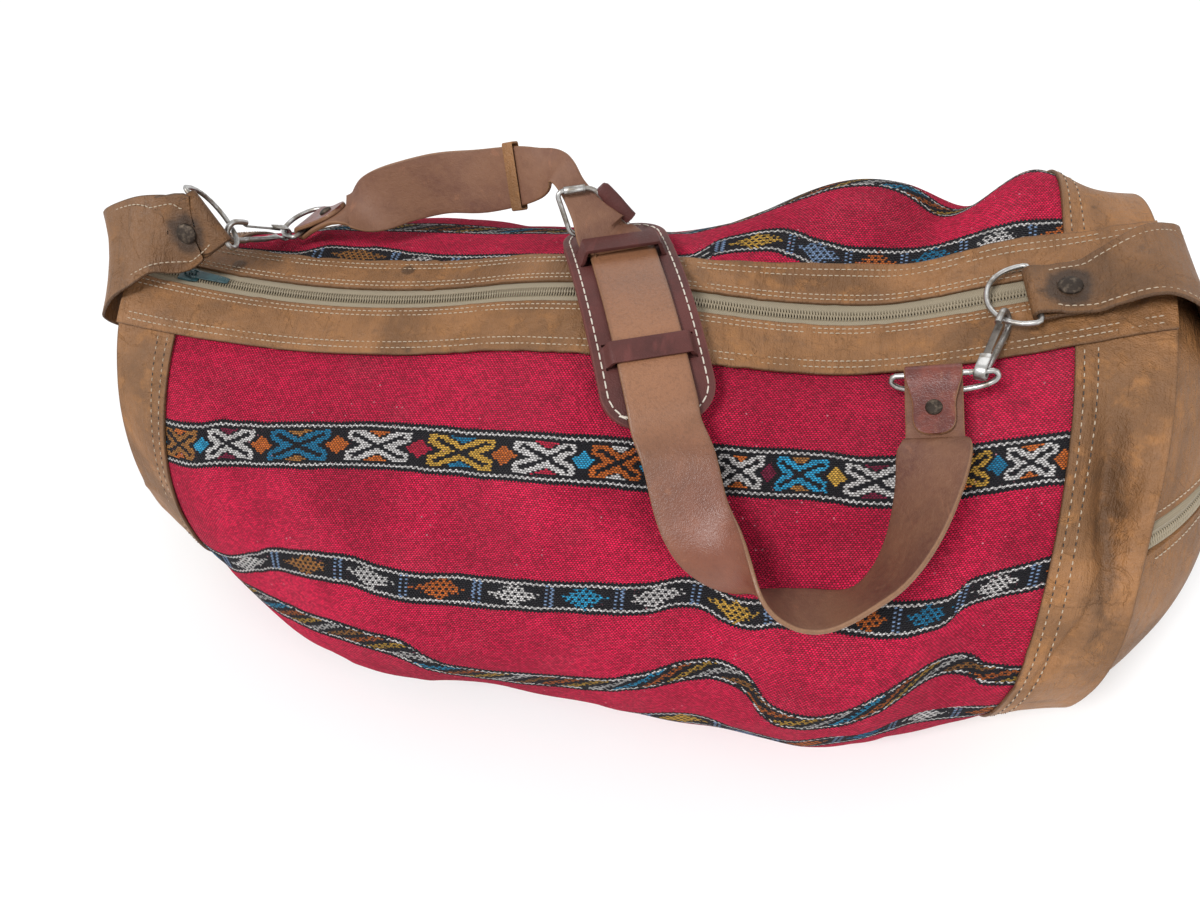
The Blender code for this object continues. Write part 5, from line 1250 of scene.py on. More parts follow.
def make_wraps():
    crease = sizes().crease

    def streak(x, signed, line, slope, at, width, length):
        """1 along a slanting line, x of which is given at the running length at, and 0 away from it."""
        aside, onwards = (x - line - slope * (signed - at[0])) / width, (signed - at[1]) / length
        return np.exp(-(aside**2) - onwards**2)

    def relief(x, signed):
        """Creases along the wrap's length and across its rim."""
        along = ridges(21, 120, x, signed, 0.016, 0.0035, (0.9, 1.5))
        return crease * (along + 0.8 * ridges(22, 50, x, signed, 0.03, 0.008))

    def right_relief(x, signed):
        """Stronger creases, and one deep fold with a ridge beside it and a shallower fold below."""
        deep = streak(x, signed, 0.279, 0.16, (0.13, 0.130), 0.0075, 0.050)
        ridge = streak(x, signed, 0.2925, -0.05, (0.15, 0.150), 0.0035, 0.045)
        fan = streak(x, signed, 0.274, -0.30, (0.20, 0.210), 0.0035, 0.030)
        return 1.5 * relief(x, signed) - 0.0105 * deep + 0.0020 * ridge - 0.0035 * fan

    def edge(x, runs, starts, stops):
        inner = np.minimum(np.abs(x - LEFT_WRAP_EDGE), np.abs(x - RIGHT_WRAP_EDGE))
        outer = 0.3 - np.abs(x)
        return np.broadcast_to(1 - np.clip(np.minimum(inner, outer) / 0.0011, 0, 1), runs.shape)

    shares = np.linspace(0.0, 1.0, 260)
    for side, low, high, shape in (
        ("left", -0.3, LEFT_WRAP_EDGE, relief),
        ("right", RIGHT_WRAP_EDGE, 0.3, right_relief),
    ):
        xs, finish = stations_between(low, high, 24), look(side + " wrap")
        wrap = sheet_on_skin(side + "_wrap", xs, shares, belly_ends, 0.0, finish, shape, edge_values=edge)
        settle(wrap, "bag", "tan_leather", side + "_end_wrap")


def make_bands():
    crease, lift = sizes().crease, LEATHER + GAP
    for side, name, outer in ((1, "front", BAND_FRONT), (-1, "rear", BAND_REAR)):

        def relief(x, signed):
            """Creases across the band, and waves that grow towards its outer edge."""
            cross = ridges(31 + side, 150, x, signed * 4, 0.060, 0.0028, (0.0, 0.5))
            waves = 0.6 * np.sin(x * 150 + 4 * np.sin(x * 23 + side)) * (np.abs(signed) / outer) ** 2
            return crease * (0.9 * cross + waves)

        def edge(x, runs, starts, stops):
            return 1 - np.clip(np.minimum(runs - starts, stops - runs) / 0.0010, 0, 1)

        def ends(xs):
            near, far = sorted((side * BAND_INNER, side * outer))
            return np.full(len(xs), near), np.full(len(xs), far)

        fine = np.array((0.0, 0.0005, 0.0012, 0.0024)) / (outer - BAND_INNER)
        shares = np.concatenate([fine, np.linspace(0.12, 0.88, 16), 1 - fine[::-1]])
        xs, finish = np.linspace(0.3, -0.3, 321), look("band")
        band = sheet_on_skin("band_" + name, xs, shares, ends, lift, finish, relief, edge_values=edge)
        settle(band, "bag", "tan_leather", "top_band_" + name)


# Zips


def teeth_along(name, path, across, up, side, node):
    """Turns of a coil: at even steps, a bent thread that leaves the tape, rises over the middle and dips."""
    pitch = sizes().tooth_pitch
    points, heading, (across, up) = resample(path, pitch, 0.0, [across, up])
    ways = np.array((0.0037, 0.0034, 0.0018, 0.0002, -0.0006, -0.0009))
    rises = np.array((-0.0003, 0.0007, 0.0011, 0.0009, 0.0003, -0.0003))
    radii = np.array((0.50, 0.95, 1.0, 1.05, 0.95, 0.5)) * 0.00052
    points = points + side * 0.25 * pitch * heading
    coil = many(name, [beads(points, side * across, heading, up, ways, rises, radii)], look("coil"))
    settle(coil, "bag", "zip_tape", node)


def make_zip():
    """Tapes and coils on both sides of the zip line, which lies on the skin."""
    xs = np.linspace(ZIP_END, -ZIP_END, 321)
    path, normal = skin_line(xs[::-1], 0.0, 0.0)
    across = np.cross(unit(np.gradient(path, axis=0)), normal)
    across = across * np.where(across[:, 1:2] < 0, 1.0, -1.0)
    for side, name in ((1, "front"), (-1, "rear")):

        def ends(stations):
            near, far = sorted((side * (COIL_OUTER - COIL_LAP), side * TAPE_OUTER))
            return np.full(len(stations), near), np.full(len(stations), far)

        shares = np.linspace(0, 1, 12)
        tape = sheet_on_skin("tape_" + name, xs, shares, ends, 0.0, look("tape"), thickness=TAPE)
        settle(tape, "bag", "zip_tape", "zip_tape_" + name)
        teeth_along("coil_" + name, path, across, normal, side, "zip_coil_" + name)


def pocket_frame(turn):
    """Points of the pocket zip's arc, the direction up its face, and its outward direction."""
    turn = np.asarray(turn, float)
    out = np.stack([np.cos(turn), np.sin(turn), np.zeros_like(turn)], -1)
    level = np.array((0.0, 0.0, 1.0))
    points = np.array((*POCKET_CENTRE, POCKET_ZIP_Z)) + POCKET_RADIUS * out
    normal = math.cos(POCKET_LEAN) * out + math.sin(POCKET_LEAN) * level
    upwards = math.cos(POCKET_LEAN) * level - math.sin(POCKET_LEAN) * out
    return points, upwards, normal


def make_pocket_zip():
    """Tapes and coils of the pocket, the tapes tucked under the leather at their outer edges."""
    turn = np.linspace(*POCKET_TURN, 121)
    points, upwards, normal = pocket_frame(turn)
    lip = SLOT_HALF - TAPE_DROP
    ways = np.array((*np.linspace(COIL_OUTER - COIL_LAP, lip, 6), SLOT_HALF, SLOT_HALF + TAPE_UNDER))
    sink = TAPE_SINK * smooth((ways - lip) / TAPE_DROP)
    for side, name in ((1, "upper"), (-1, "lower")):
        grid = points[:, None] + side * ways[:, None] * upwards[:, None] - sink[:, None] * normal[:, None]
        uv = np.stack(np.broadcast_arrays(POCKET_RADIUS * turn[:, None], ways[None]), -1)
        grid, uv = grid[::side], uv[::side]
        n, m = uv.shape[:2]
        tape = piece("pocket_tape_" + name, grid, [grid_faces(n, m)], look("tape"), grid_corners(uv, n, m))
        settle(thicken(tape, TAPE), "bag", "zip_tape", "pocket_zip_" + name)
        teeth_along("pocket_coil_" + name, points, upwards, normal, side, "pocket_zip_" + name)


# End panels


def dome_edge(side, count):
    """The panel's edge inside the wrap: a blend of the skin's outlines at the rim and at the seam's line."""
    k = int(side > 0)
    rim = side * 0.3
    line = rim - side * (0.3 + LEFT_WRAP_EDGE if side < 0 else 0.3 - RIGHT_WRAP_EDGE) / 2
    depth = -(LEATHER + 4 * GAP)
    shares = np.linspace(0, 1, count, endpoint=False)
    loops = []
    # The point half way round lies between two folds: a nanometre decides which one it takes, not rounding
    for x, nudge in ((rim, -1e-9), (line, 1e-9)):
        points, _ = skin(np.array([x]), shares[None] * girth(x)[:, None] + nudge, depth)
        loops.append(points[0, :, 1:])
    edge = (1 - TUCK_SHARE[k]) * loops[0] + TUCK_SHARE[k] * loops[1]
    return edge, 0.5 * (edge.max(axis=0) + edge.min(axis=0))


def dome_points(side, shares, count, relief=0.0):
    """The dome: the edge outline shrunk to each share about its middle, standing out by the bulge times one
    less the share to a power, with small dents."""
    k = int(side > 0)
    edge, middle = dome_edge(side, count)
    yz = middle + shares[:, None, None] * (edge - middle)
    rise = (END_BULGE[k] + END_TUCK) * (1 - shares ** END_ROUNDNESS[k])
    x = side * (0.3 - END_TUCK + rise)[:, None]
    dents = ridges(41 + k, 60, yz[..., 0], yz[..., 1] - 0.13, 0.05, 0.010, (0.0, 1.5))
    fade = smooth((1 - shares) / 0.15)[:, None]
    x = x + side * relief * dents * fade
    return np.concatenate([np.broadcast_to(x, yz.shape[:2])[..., None], yz], -1)


def dome_piece(name, side, material):
    """A domed end panel from its rim to the middle, closed there by a small cap."""
    shares = np.concatenate([[1.0, 0.994, 0.985], np.linspace(0.97, 0.0, 46)])
    shares[-1] = 0.004
    points = dome_points(side, shares, 256, 0.0011)
    if side > 0:
        points = points[:, ::-1]
    n, m = points.shape[:2]
    cap = ((n - 1) * m + np.arange(m))[None, ::-1]
    faces = grid_faces(n, m, wrap=True)
    centre = points.reshape(-1, 3)[cap[0]]
    facing = np.cross(centre[1] - centre[0], centre[40] - centre[0])[0] * side
    obj = piece(name, points, [faces, cap if facing > 0 else cap[:, ::-1]], material)
    return thicken(obj, LEATHER)


def cut_above(obj, low, high):
    """Takes away what lies between two heights, and keeps the result as the piece's own mesh."""
    corners = np.array([(x, y, z) for x in (0.26, 0.40) for y in (-0.3, 0.3) for z in (low, high)])
    faces = np.array(((0, 1, 3, 2), (4, 6, 7, 5), (0, 4, 5, 1), (2, 3, 7, 6), (0, 2, 6, 4), (1, 5, 7, 3)))
    block = piece(obj.name + "_cutter", corners, [faces], look("leather"), flat=True)
    cut = obj.modifiers.new("cut", "BOOLEAN")
    cut.operation = "DIFFERENCE"
    cut.object = block
    bpy.context.view_layer.update()
    result = obj.evaluated_get(bpy.context.evaluated_depsgraph_get())
    mesh = bpy.data.meshes.new_from_object(result)
    obj.modifiers.clear()
    obj.data = mesh
    mesh.shade_smooth()
    mesh.set_sharp_from_angle(angle=math.radians(40))
    bpy.data.objects.remove(block, do_unlink=True)


def make_ends():
    """The left panel, the two parts of the right one beside the pocket zip, and both pipings."""
    left = dome_piece("left_end_leather", -1, look("leather"))
    settle(left, "bag", "tan_leather", "left_end_panel")
    upper = dome_piece("right_end_upper_leather", 1, look("leather"))
    cut_above(upper, -0.1, POCKET_ZIP_Z + SLOT_HALF)
    settle(upper, "bag", "tan_leather", "right_end_upper_panel")
    lower = dome_piece("right_end_pocket_leather", 1, look("leather"))
    cut_above(lower, POCKET_ZIP_Z - SLOT_HALF, 0.5)
    settle(lower, "bag", "tan_leather", "right_end_pocket_panel")
    for side, name in ((-1, "left"), (1, "right")):
        piping = dome_points(side, np.array([0.996]), 300)[0]
        piping[:, 0] += side * 0.0005
        heading = np.roll(piping, -1, axis=0) - np.roll(piping, 1, axis=0)
        rim = wire(name + "_rim_piping", piping, (1.0, 0.0, 0.0), 0.0016, look("leather"), True, 8, heading)
        settle(rim, "bag", "tan_leather")


# Rings and rivets


def ring_axes(ring):
    return unit(ring[1]), square_to(ring[2], ring[1])


def ring_point(ring, angle):
    """On the bow: half the width times cos along the bar, and the depth times sin to 0.85 out."""
    bar, bow = ring_axes(ring)
    turn = np.radians(np.asarray(angle, float))[..., None]
    out = RING_CORNER + (ring[4] - RING_CORNER) * np.sin(turn) ** 0.85
    return np.asarray(ring[0]) + ring[3] * np.cos(turn) * bar + out * bow


def make_ring(name, ring, body):
    """A D-shaped ring: a straight bar, short bends at its ends and a bow between them."""
    bar, bow = ring_axes(ring)
    flat = ring[3] - RING_CORNER
    middle = np.asarray(ring[0])
    straight = middle + np.linspace(-1, 1, 12)[:, None] * flat * bar
    bend = middle + (flat + RING_BEND[0]) * bar + RING_BEND[1] * bow
    other = middle - (flat + RING_BEND[0]) * bar + RING_BEND[1] * bow
    bow_points = ring_point(ring, np.concatenate([[0.0], np.linspace(3, 177, 59), [180.0]]))
    path = np.vstack([straight, bend, bow_points, other])
    made = wire(name, path, np.cross(bar, bow), RING_WIRE, look("steel"), closed=True)
    settle(made, body, "nickel_steel", body)


def make_rings():
    for name, ring, body in (
        ("left_tab_ring", LEFT_RING, "left_ring"),
        ("right_tab_ring", RIGHT_RING, "right_ring"),
        ("left_end_ring", LEFT_STRAP_RING, "left_strap_ring"),
        ("right_end_ring", RIGHT_STRAP_RING, "right_strap_ring"),
    ):
        make_ring(name, ring, body)


TAB_AXES = {
    -1: ((0.90, 0.23, 0.37), (-0.30, -0.60, 0.75)),
    1: ((-0.97, -0.08, -0.22), (-0.22, -0.05, 0.97)),
}


def fold_axes(ring, heading, face):
    """The heading and face made square to the ring's bar and to each other."""
    bar, _ = ring_axes(ring)
    heading = square_to(heading, bar)
    return heading, square_to(square_to(face, bar), heading)


def rivet_place(side):
    """Middle of the tab's rivet, behind the ring's bar."""
    ring = LEFT_RING if side < 0 else RIGHT_RING
    heading, _ = fold_axes(ring, *TAB_AXES[side])
    return np.asarray(ring[0]) - TAB_RIVET_BACK * heading


def rivet(name, place, face, leather, head, node):
    """A domed head and a small foot through two layers of leather."""
    reach = leather + 1.5 * GAP
    turns = np.radians((1, 20, 40, 58, 74, 90))
    dome = [(head * math.sin(turn), reach + 0.0004 + 0.0018 * math.cos(turn)) for turn in turns]
    profile = [*dome, (head, reach - 0.0002), (0.0015, reach - 0.0002), (0.0015, -reach)]
    profile += [(0.7 * head, -reach), (0.65 * head, -reach - 0.0006), (0.0001, -reach - 0.0008)]
    obj = turned(name, profile, place, face, look("rivet"))
    settle(obj, "bag", "antique_rivet", node)


def make_rivets():
    for side, ring, name in ((-1, LEFT_RING, "left"), (1, RIGHT_RING, "right")):
        _, face = fold_axes(ring, *TAB_AXES[side])
        rivet(name + "_tab_stud", rivet_place(side), face, TAB_LEATHER, 0.0062, name + "_tab_rivet")
    ends = (
        ("left", LEFT_STRAP_RING, 0.0, LEFT_END_HEADING, LEFT_END_FACE),
        ("right", RIGHT_STRAP_RING, RIGHT_FOLD_OFFSET, RIGHT_END_HEADING, RIGHT_END_FACE),
    )
    for name, ring, offset, heading, face in ends:
        heading, face = fold_axes(ring, heading, face)
        place = np.asarray(ring[0]) + offset * ring_axes(ring)[0] - STRAP_RIVET_BACK * heading
        rivet(name + "_strap_stud", place, -face, STRAP_LEATHER, 0.0042, name + "_strap_rivet")


# Tabs


def fold_back(bar, heading, face, across, leather, lap, width, tongue):
    """Stations of a strap that comes along heading to a bar with its upper side towards face, goes round
    the bar in a half circle, and lies back under itself, narrowed to the tongue."""
    bar = np.asarray(bar, float)
    round_bar = RING_WIRE + GAP + leather / 2
    flat = (leather + GAP) / 2
    stations = []
    for back, height in ((lap, flat), (0.5 * lap, flat), (0.009, flat + 0.0006), (0.004, round_bar - 0.0003)):
        stations.append((bar - back * heading + height * face, across, width))
    for turn in np.radians((90, 60, 30, 0, -30, -60, -90)):
        at = round_bar * (math.cos(turn) * heading + math.sin(turn) * face)
        stations.append((bar + at, across, width))
    narrowing = ((0.004, round_bar - 0.0003, 0.9), (0.009, flat + 0.0006, 0.5), (0.5 * lap, flat, 0.0))
    for back, height, share in narrowing:
        stations.append((bar - back * heading - height * face, across, tongue + share * (width - tongue)))
    for back, share in ((lap - 0.009, 1.0), (lap - 0.004, 0.9), (lap - 0.001, 0.62), (lap, 0.3)):
        stations.append((bar - back * heading - flat * face, across, share * tongue))
    return stations


def smooth_stations(keys, cells):
    """Stations refined along a smooth curve."""
    middle, across, width = refine([(np.asarray(m, float), a, w) for m, a, w in keys], cells)
    return list(zip(middle, across, width))


def tab_stations(ring, keys, flare, heading, face):
    """The tab's keys joined to its fold, which is made wider and shifted along the bar by the flare."""
    bar, _ = ring_axes(ring)
    heading, face = fold_axes(ring, heading, face)
    fold = fold_back(ring[0], heading, face, bar, TAB_LEATHER, TAB_LAP, TAB_END_WIDTH, TAB_END_WIDTH)
    for k, share in ((0, 1.0), (1, 0.5)):
        middle, across, width = fold[k]
        fold[k] = (middle + share * flare[1] * bar, across, width + share * flare[0])
    return smooth_stations([*keys, fold[0]], 4) + fold[1:]


# Stations of the tabs before their folds: middle, way across, width
TAB_KEYS = {
    -1: (
        ((-0.31899, 0.012, 0.118), (0.0, -1.0, 0.0), 0.066),
        ((-0.31649, 0.008, 0.150), (0.0, -1.0, 0.0), 0.066),
        ((-0.30862, 0.002, 0.182), (0.0, -1.0, 0.0), 0.066),
        ((-0.3185, -0.006, 0.2060), (0.12, -0.88, -0.46), 0.066),
        ((-0.3096, -0.0105, 0.2258), (0.19, -0.75, -0.60), 0.056),
        ((-0.2885, -0.0050, 0.2370), (0.42, -0.66, -0.60), 0.048),
    ),
    1: (
        ((0.3431, 0.026, 0.218), (0.0, -1.0, 0.0), 0.066),
        ((0.33604, 0.027, 0.226), (0.0, -1.0, 0.0), 0.066),
        ((0.32784, 0.027, 0.234), (0.0, -1.0, 0.0), 0.066),
        ((0.3165, 0.0260, 0.2520), (0.05, -0.99, 0.0), 0.066),
        ((0.3065, 0.0220, 0.2665), (0.04, -0.99, -0.05), 0.062),
        ((0.2840, 0.0160, 0.2725), (0.06, -0.99, -0.06), 0.050),
    ),
}
TAB_FLARES = {-1: (0.012, -0.005), 1: (0.004, 0.0)}
FOLD_STATIONS = 14


def make_tabs():
    """The tabs, with two rows of stitches up to the turn round the ring's bar."""
    cells = 4
    for side, ring, name in ((-1, LEFT_RING, "left"), (1, RIGHT_RING, "right")):
        stations = refine(tab_stations(ring, TAB_KEYS[side], TAB_FLARES[side], *TAB_AXES[side]), cells)
        tab = ribbon(name + "_tab_leather", stations, TAB_LEATHER, look(name + " tab"))
        settle(tab, "bag", "tan_leather", name + "_tab")
        middle, across, width = stations
        heading = unit(np.gradient(middle, axis=0))
        up = unit(np.cross(heading, square_to(across, heading)))
        turn = len(middle) - cells * FOLD_STATIONS
        _, face = fold_axes(ring, *TAB_AXES[side])
        up = up * np.sign(np.dot(up[turn], face))
        rows = []
        for share in (-1, 1):
            half = 0.5 * width[:turn] - 0.0045
            line = middle[:turn] + share * half[:, None] * unit(across)[:turn] + (TAB_LEATHER / 2) * up[:turn]
            rows.append(stitch_row(line, up[:turn], margin=0.004))
        settle(many(name + "_tab_stitches", rows, look("thread")), "bag", "tan_leather")


# Snap hooks


def hook_piece(name, eye, heading, back, path, wide, deep, material):
    """A bar along the hook's line: ellipses as wide as the strip along its normal and as deep across it."""
    slopes = np.gradient(path, axis=0)
    up = back(path[:, 0])
    side = np.cross(up, heading)
    across = unit(slopes[:, :1] * up - slopes[:, 1:] * heading)
    turn = np.arange(20) * math.pi / 10
    power = np.interp(wide / deep, (1.0, 2.0), (1.0, 0.65))[:, None]
    cosine = np.sign(np.cos(turn)) * np.abs(np.cos(turn)) ** power
    sine = np.sign(np.sin(turn)) * np.abs(np.sin(turn)) ** power
    shape = (wide[:, None] * cosine)[..., None] * side[:, None]
    shape = shape + (deep[:, None] * sine)[..., None] * across[:, None]
    centre = np.asarray(eye) + path[:, :1] * heading + path[:, 1:] * up
    return loft(name, centre[:, None] + shape, material)


def make_hook(name, eye, grip, curl_axis, normal):
    """A flat clip round the strap ring that turns into a round shank and a nose, and its gate."""
    along_hook = np.asarray(grip) - np.asarray(eye)
    reach = float(np.linalg.norm(along_hook)) - NOSE_SEAT
    heading = unit(along_hook)
    flat = square_to(normal, heading)
    curl = square_to(curl_axis, heading)
    curl = curl if np.dot(curl, flat) > 0 else -curl

    def back(way):
        share = smooth((np.asarray(way) - 0.003) / 0.012)[:, None]
        return unit(np.cross(heading, (1 - share) * curl + share * flat))

    keys = [(0.0085, -CLIP_RADIUS), (0.0040, -CLIP_RADIUS)]
    for turn in np.radians((-90, -120, -150, -180, -210, -240, -270)):
        keys.append((CLIP_RADIUS * math.cos(turn), CLIP_RADIUS * math.sin(turn)))
    cells = 4
    clip_end = cells * len(keys)
    keys += [(0.0040, 0.0028), (0.0075, 0.0034), (0.0110, 0.0041), (0.0160, 0.0048)]
    keys += [(0.0280, 0.0056), (reach - 0.0080, NOSE_RADIUS)]
    for turn in np.radians((90, 60, 30, 0, -30, -60, -90)):
        keys.append((reach + NOSE_RADIUS * math.cos(turn), NOSE_RADIUS * math.sin(turn)))
    keys += [(reach - 0.0040, -NOSE_RADIUS), (reach - 0.0070, 0.0004 - NOSE_RADIUS)]
    path = spline(keys, cells)
    way = np.where(np.arange(len(path)) < clip_end, 0.0, path[:, 0])
    share = np.clip((way - 0.003) / 0.011, 0.0, 1.0)
    wide = CLIP_WIDTH / 2 + share * (HOOK_WIRE - CLIP_WIDTH / 2)
    deep = CLIP_STRIP / 2 + share * (HOOK_WIRE - CLIP_STRIP / 2)
    hook = hook_piece(name + "_snap_hook", eye, heading, back, path, wide, deep, look("steel"))
    settle(hook, name + "_hook", "nickel_steel", name + "_hook")
    low = CLIP_STRIP / 2 + GAP + GATE_STRIP / 2 - CLIP_RADIUS
    high = HOOK_WIRE + GAP + GATE_STRIP / 2 - NOSE_RADIUS
    ways = np.concatenate([[0.0045, 0.0065, 0.0085], np.linspace(0.0110, reach - 0.0060, 16)])
    gate_path = np.column_stack([ways, np.interp(ways, (0.0085, reach - 0.0060), (low, high))])
    wide, deep = np.full(len(ways), GATE_WIDTH / 2), np.full(len(ways), GATE_STRIP / 2)
    gate = hook_piece(name + "_spring_gate", eye, heading, back, gate_path, wide, deep, look("gate"))
    settle(gate, name + "_hook_gate", "gate_steel", name + "_hook_gate")


def make_hooks():
    eye, grip = ring_point(LEFT_STRAP_RING, 36), ring_point(LEFT_RING, 60)
    curl = unit(ring_point(LEFT_STRAP_RING, 40) - ring_point(LEFT_STRAP_RING, 32))
    make_hook("left", eye, grip, curl, (-0.869, 0.488, -0.071))
    bar, _ = ring_axes(RIGHT_STRAP_RING)
    eye = np.asarray(RIGHT_STRAP_RING[0]) + 0.0182 * bar
    make_hook("right", eye, ring_point(RIGHT_RING, 40), bar, (0.70, -0.53, 0.44))


# Shoulder pad and buckle


def pad_point(run, across, height):
    """Over the pad: an arc of the pad's radius about a level axis, with the way across and the height
    over its underside added."""
    run, across, height = np.broadcast_arrays(*(np.asarray(part, float) for part in (run, across, height)))
    turn = ((run - PAD_CREST_RUN) / PAD_RADIUS)[..., None]
    out = np.sin(turn) * PAD_HEADING + np.cos(turn) * np.array([0.0, 0.0, 1.0])
    centre = PAD_CREST - np.array([0.0, 0.0, PAD_RADIUS])
    return centre + across[..., None] * PAD_ACROSS + (PAD_RADIUS + height)[..., None] * out


def pad_half_width(run):
    """Straight sides with quarter rounds at the corners."""
    from_end = np.minimum(run, PAD_LENGTH - run)
    inside = np.maximum(PAD_CORNER - from_end, 0.0)
    return PAD_WIDTH / 2 - PAD_CORNER + np.sqrt(np.maximum(PAD_CORNER**2 - inside**2, 0.0))


def pad_rows():
    """Running lengths of the pad's rows: closer at its ends and beside the bars' slits."""
    ends = 0.020 * (1 - np.cos(np.linspace(0, math.pi / 2, 14)))
    rows = [ends, PAD_LENGTH - ends, np.linspace(0.02, 0.13, 56)]
    for start, _ in PAD_BARS:
        edges = [start - SLIT, start, start + BAR_LENGTH, start + BAR_LENGTH + SLIT]
        rows = [part[(part < edges[0] - 0.0006) | (part > edges[3] + 0.0006)] for part in rows]
        rows.append(np.concatenate([edges, start + np.array((0.0006, 0.003, 0.006, 0.009, 0.0114))]))
    return np.unique(np.round(np.concatenate(rows), 6))


def bar_lift(run, share):
    """The bars rise over the strap layers below them with smooth shoulders at their ends."""
    lift = np.zeros(np.broadcast(run, share).shape)
    for start, layers in PAD_BARS:
        inside = (run >= start - 1e-6) & (run <= start + BAR_LENGTH + 1e-6)
        height = layers * (STRAP_LEATHER + GAP) + GAP + PAD_TOP
        crown = 0.0004 * np.sin(np.clip((run - start) / BAR_LENGTH, 0, 1) * math.pi)
        lift = lift + inside * (height + crown) * smooth((BAR_SHARE - np.abs(share)) / BAR_SHOULDER)
    return lift


def seam_on_pad(base):
    """The row of stitches along the pad's rim, and the knot where the thread was tied off."""
    corner = PAD_CORNER - PAD_SEAM
    loops = []
    for sign_run, sign_across in ((-1, -1), (-1, 1), (1, 1), (1, -1)):
        turn = np.linspace(0, 1, 40)[:: -1 if sign_run * sign_across < 0 else 1] * math.pi / 2
        at_run = PAD_LENGTH / 2 + sign_run * (PAD_LENGTH / 2 - PAD_CORNER + corner * np.sin(turn))
        at_across = sign_across * (PAD_WIDTH / 2 - PAD_CORNER + corner * np.cos(turn))
        loops.append(np.stack([at_run, at_across], 1))
    loop = resample(np.concatenate([*loops, loops[0][:1]]), 0.001)[0]
    loop = np.concatenate([loop, loop[:1]])
    line = pad_point(loop[:, 0], loop[:, 1], base + 0.0002)
    up = unit(pad_point(loop[:, 0], loop[:, 1], base + 0.01) - line)
    rows = [stitch_row(line, up, 0.0056, 0.0046, width=0.0009)]
    knot_runs, knot_sides = np.array(((0.144, 0.1425, 0.1445), (-0.0200, -0.0225, -0.0170)))
    knot = pad_point(knot_runs, knot_sides, base + 0.0006)
    for ends, length in (([0, 1], 0.0030), ([2, 1], 0.0032)):
        rows.append(stitch_row(knot[ends], np.repeat(up[:1], 2, axis=0), 0.002, length, width=0.0011))
    return rows


def make_pad():
    """The lining, the top with two raised bars between slits, and the seam."""
    runs = pad_rows()
    inner = (*np.linspace(0, 0.62, 9), 0.66, 0.69, 0.72, 0.75, 0.78, 0.81)
    side = np.concatenate([inner, np.linspace(0.84, 1.0, 6)])
    shares = np.unique(np.round(np.concatenate([-side, side]), 5))
    run, share = runs[:, None], shares[None]
    half = pad_half_width(run)
    base = PAD_LINING + GAP + PAD_TOP
    swell = PAD_SWELL * (1 - np.abs(share) ** 4)
    points = pad_point(run, share * half, base + bar_lift(run, share) + swell)
    n, m = points.shape[:2]
    i, j, _, _ = grid_cells(n, m)
    middle_run, middle_share = 0.5 * (runs[i] + runs[i + 1]), 0.5 * (shares[j] + shares[j + 1])
    slit = np.zeros(len(i), bool)
    for start, _ in PAD_BARS:
        for low in (start - SLIT, start + BAR_LENGTH):
            slit |= (middle_run > low) & (middle_run < low + SLIT) & (np.abs(middle_share) < BAR_SHARE)
    edge_way = np.minimum((1 - np.abs(share)) * half, np.minimum(run, PAD_LENGTH - run))
    edge = {"edge": 1 - np.clip(edge_way / 0.0009, 0, 1)}
    uv = grid_corners(np.stack(np.broadcast_arrays(run, share * half), -1), n, m)
    faces = grid_faces(n, m)
    top = piece("shoulder_pad_top", points, [faces[~slit]], look("pad"), uv[~slit], edge)
    settle(thicken(top, PAD_TOP, 0.0005), "bag", "pad_leather", "pad_top")
    under = pad_point(run, share * half, PAD_LINING)
    lining = piece("shoulder_pad_lining", under, [faces], look("pad"), uv, edge)
    settle(thicken(lining, PAD_LINING, 0.0009, 3), "bag", "pad_leather", "pad_lining")
    settle(many("pad_stitches", seam_on_pad(base), look("pad thread")), "bag", "pad_leather")


def buckle_corners():
    """Corners of the frame: the first two are the ends of the roller's side, the others of the strap's."""
    c = pad_point(0.020, 0.010, 0.0108)
    b = c + np.array(ROLLER_RISE)
    return b - ROLLER_BAR * PAD_ACROSS, b, c, c - STRAP_BAR * PAD_ACROSS


def rounded_loop(corners, radius, steps):
    """A closed path with each corner a quarter of a rounded turn, and its heading at each point."""
    path, headings = [], []
    for k, corner in enumerate(corners):
        before, after = unit(corners[k - 1] - corner), unit(corners[(k + 1) % len(corners)] - corner)
        for turn in np.radians(np.linspace(0, 90, steps + 1)):
            path.append(corner + radius * ((1 - math.sin(turn)) * before + (1 - math.cos(turn)) * after))
            headings.append(math.sin(turn) * after - math.cos(turn) * before)
    return np.array(path), np.array(headings)


def buckle_middles():
    """Middles of the roller's side and the strap's side, and the way out of the buckle's plane."""
    a, b, c, d = buckle_corners()
    return (a + b) / 2, (c + d) / 2, unit(np.cross(PAD_ACROSS, c - b))


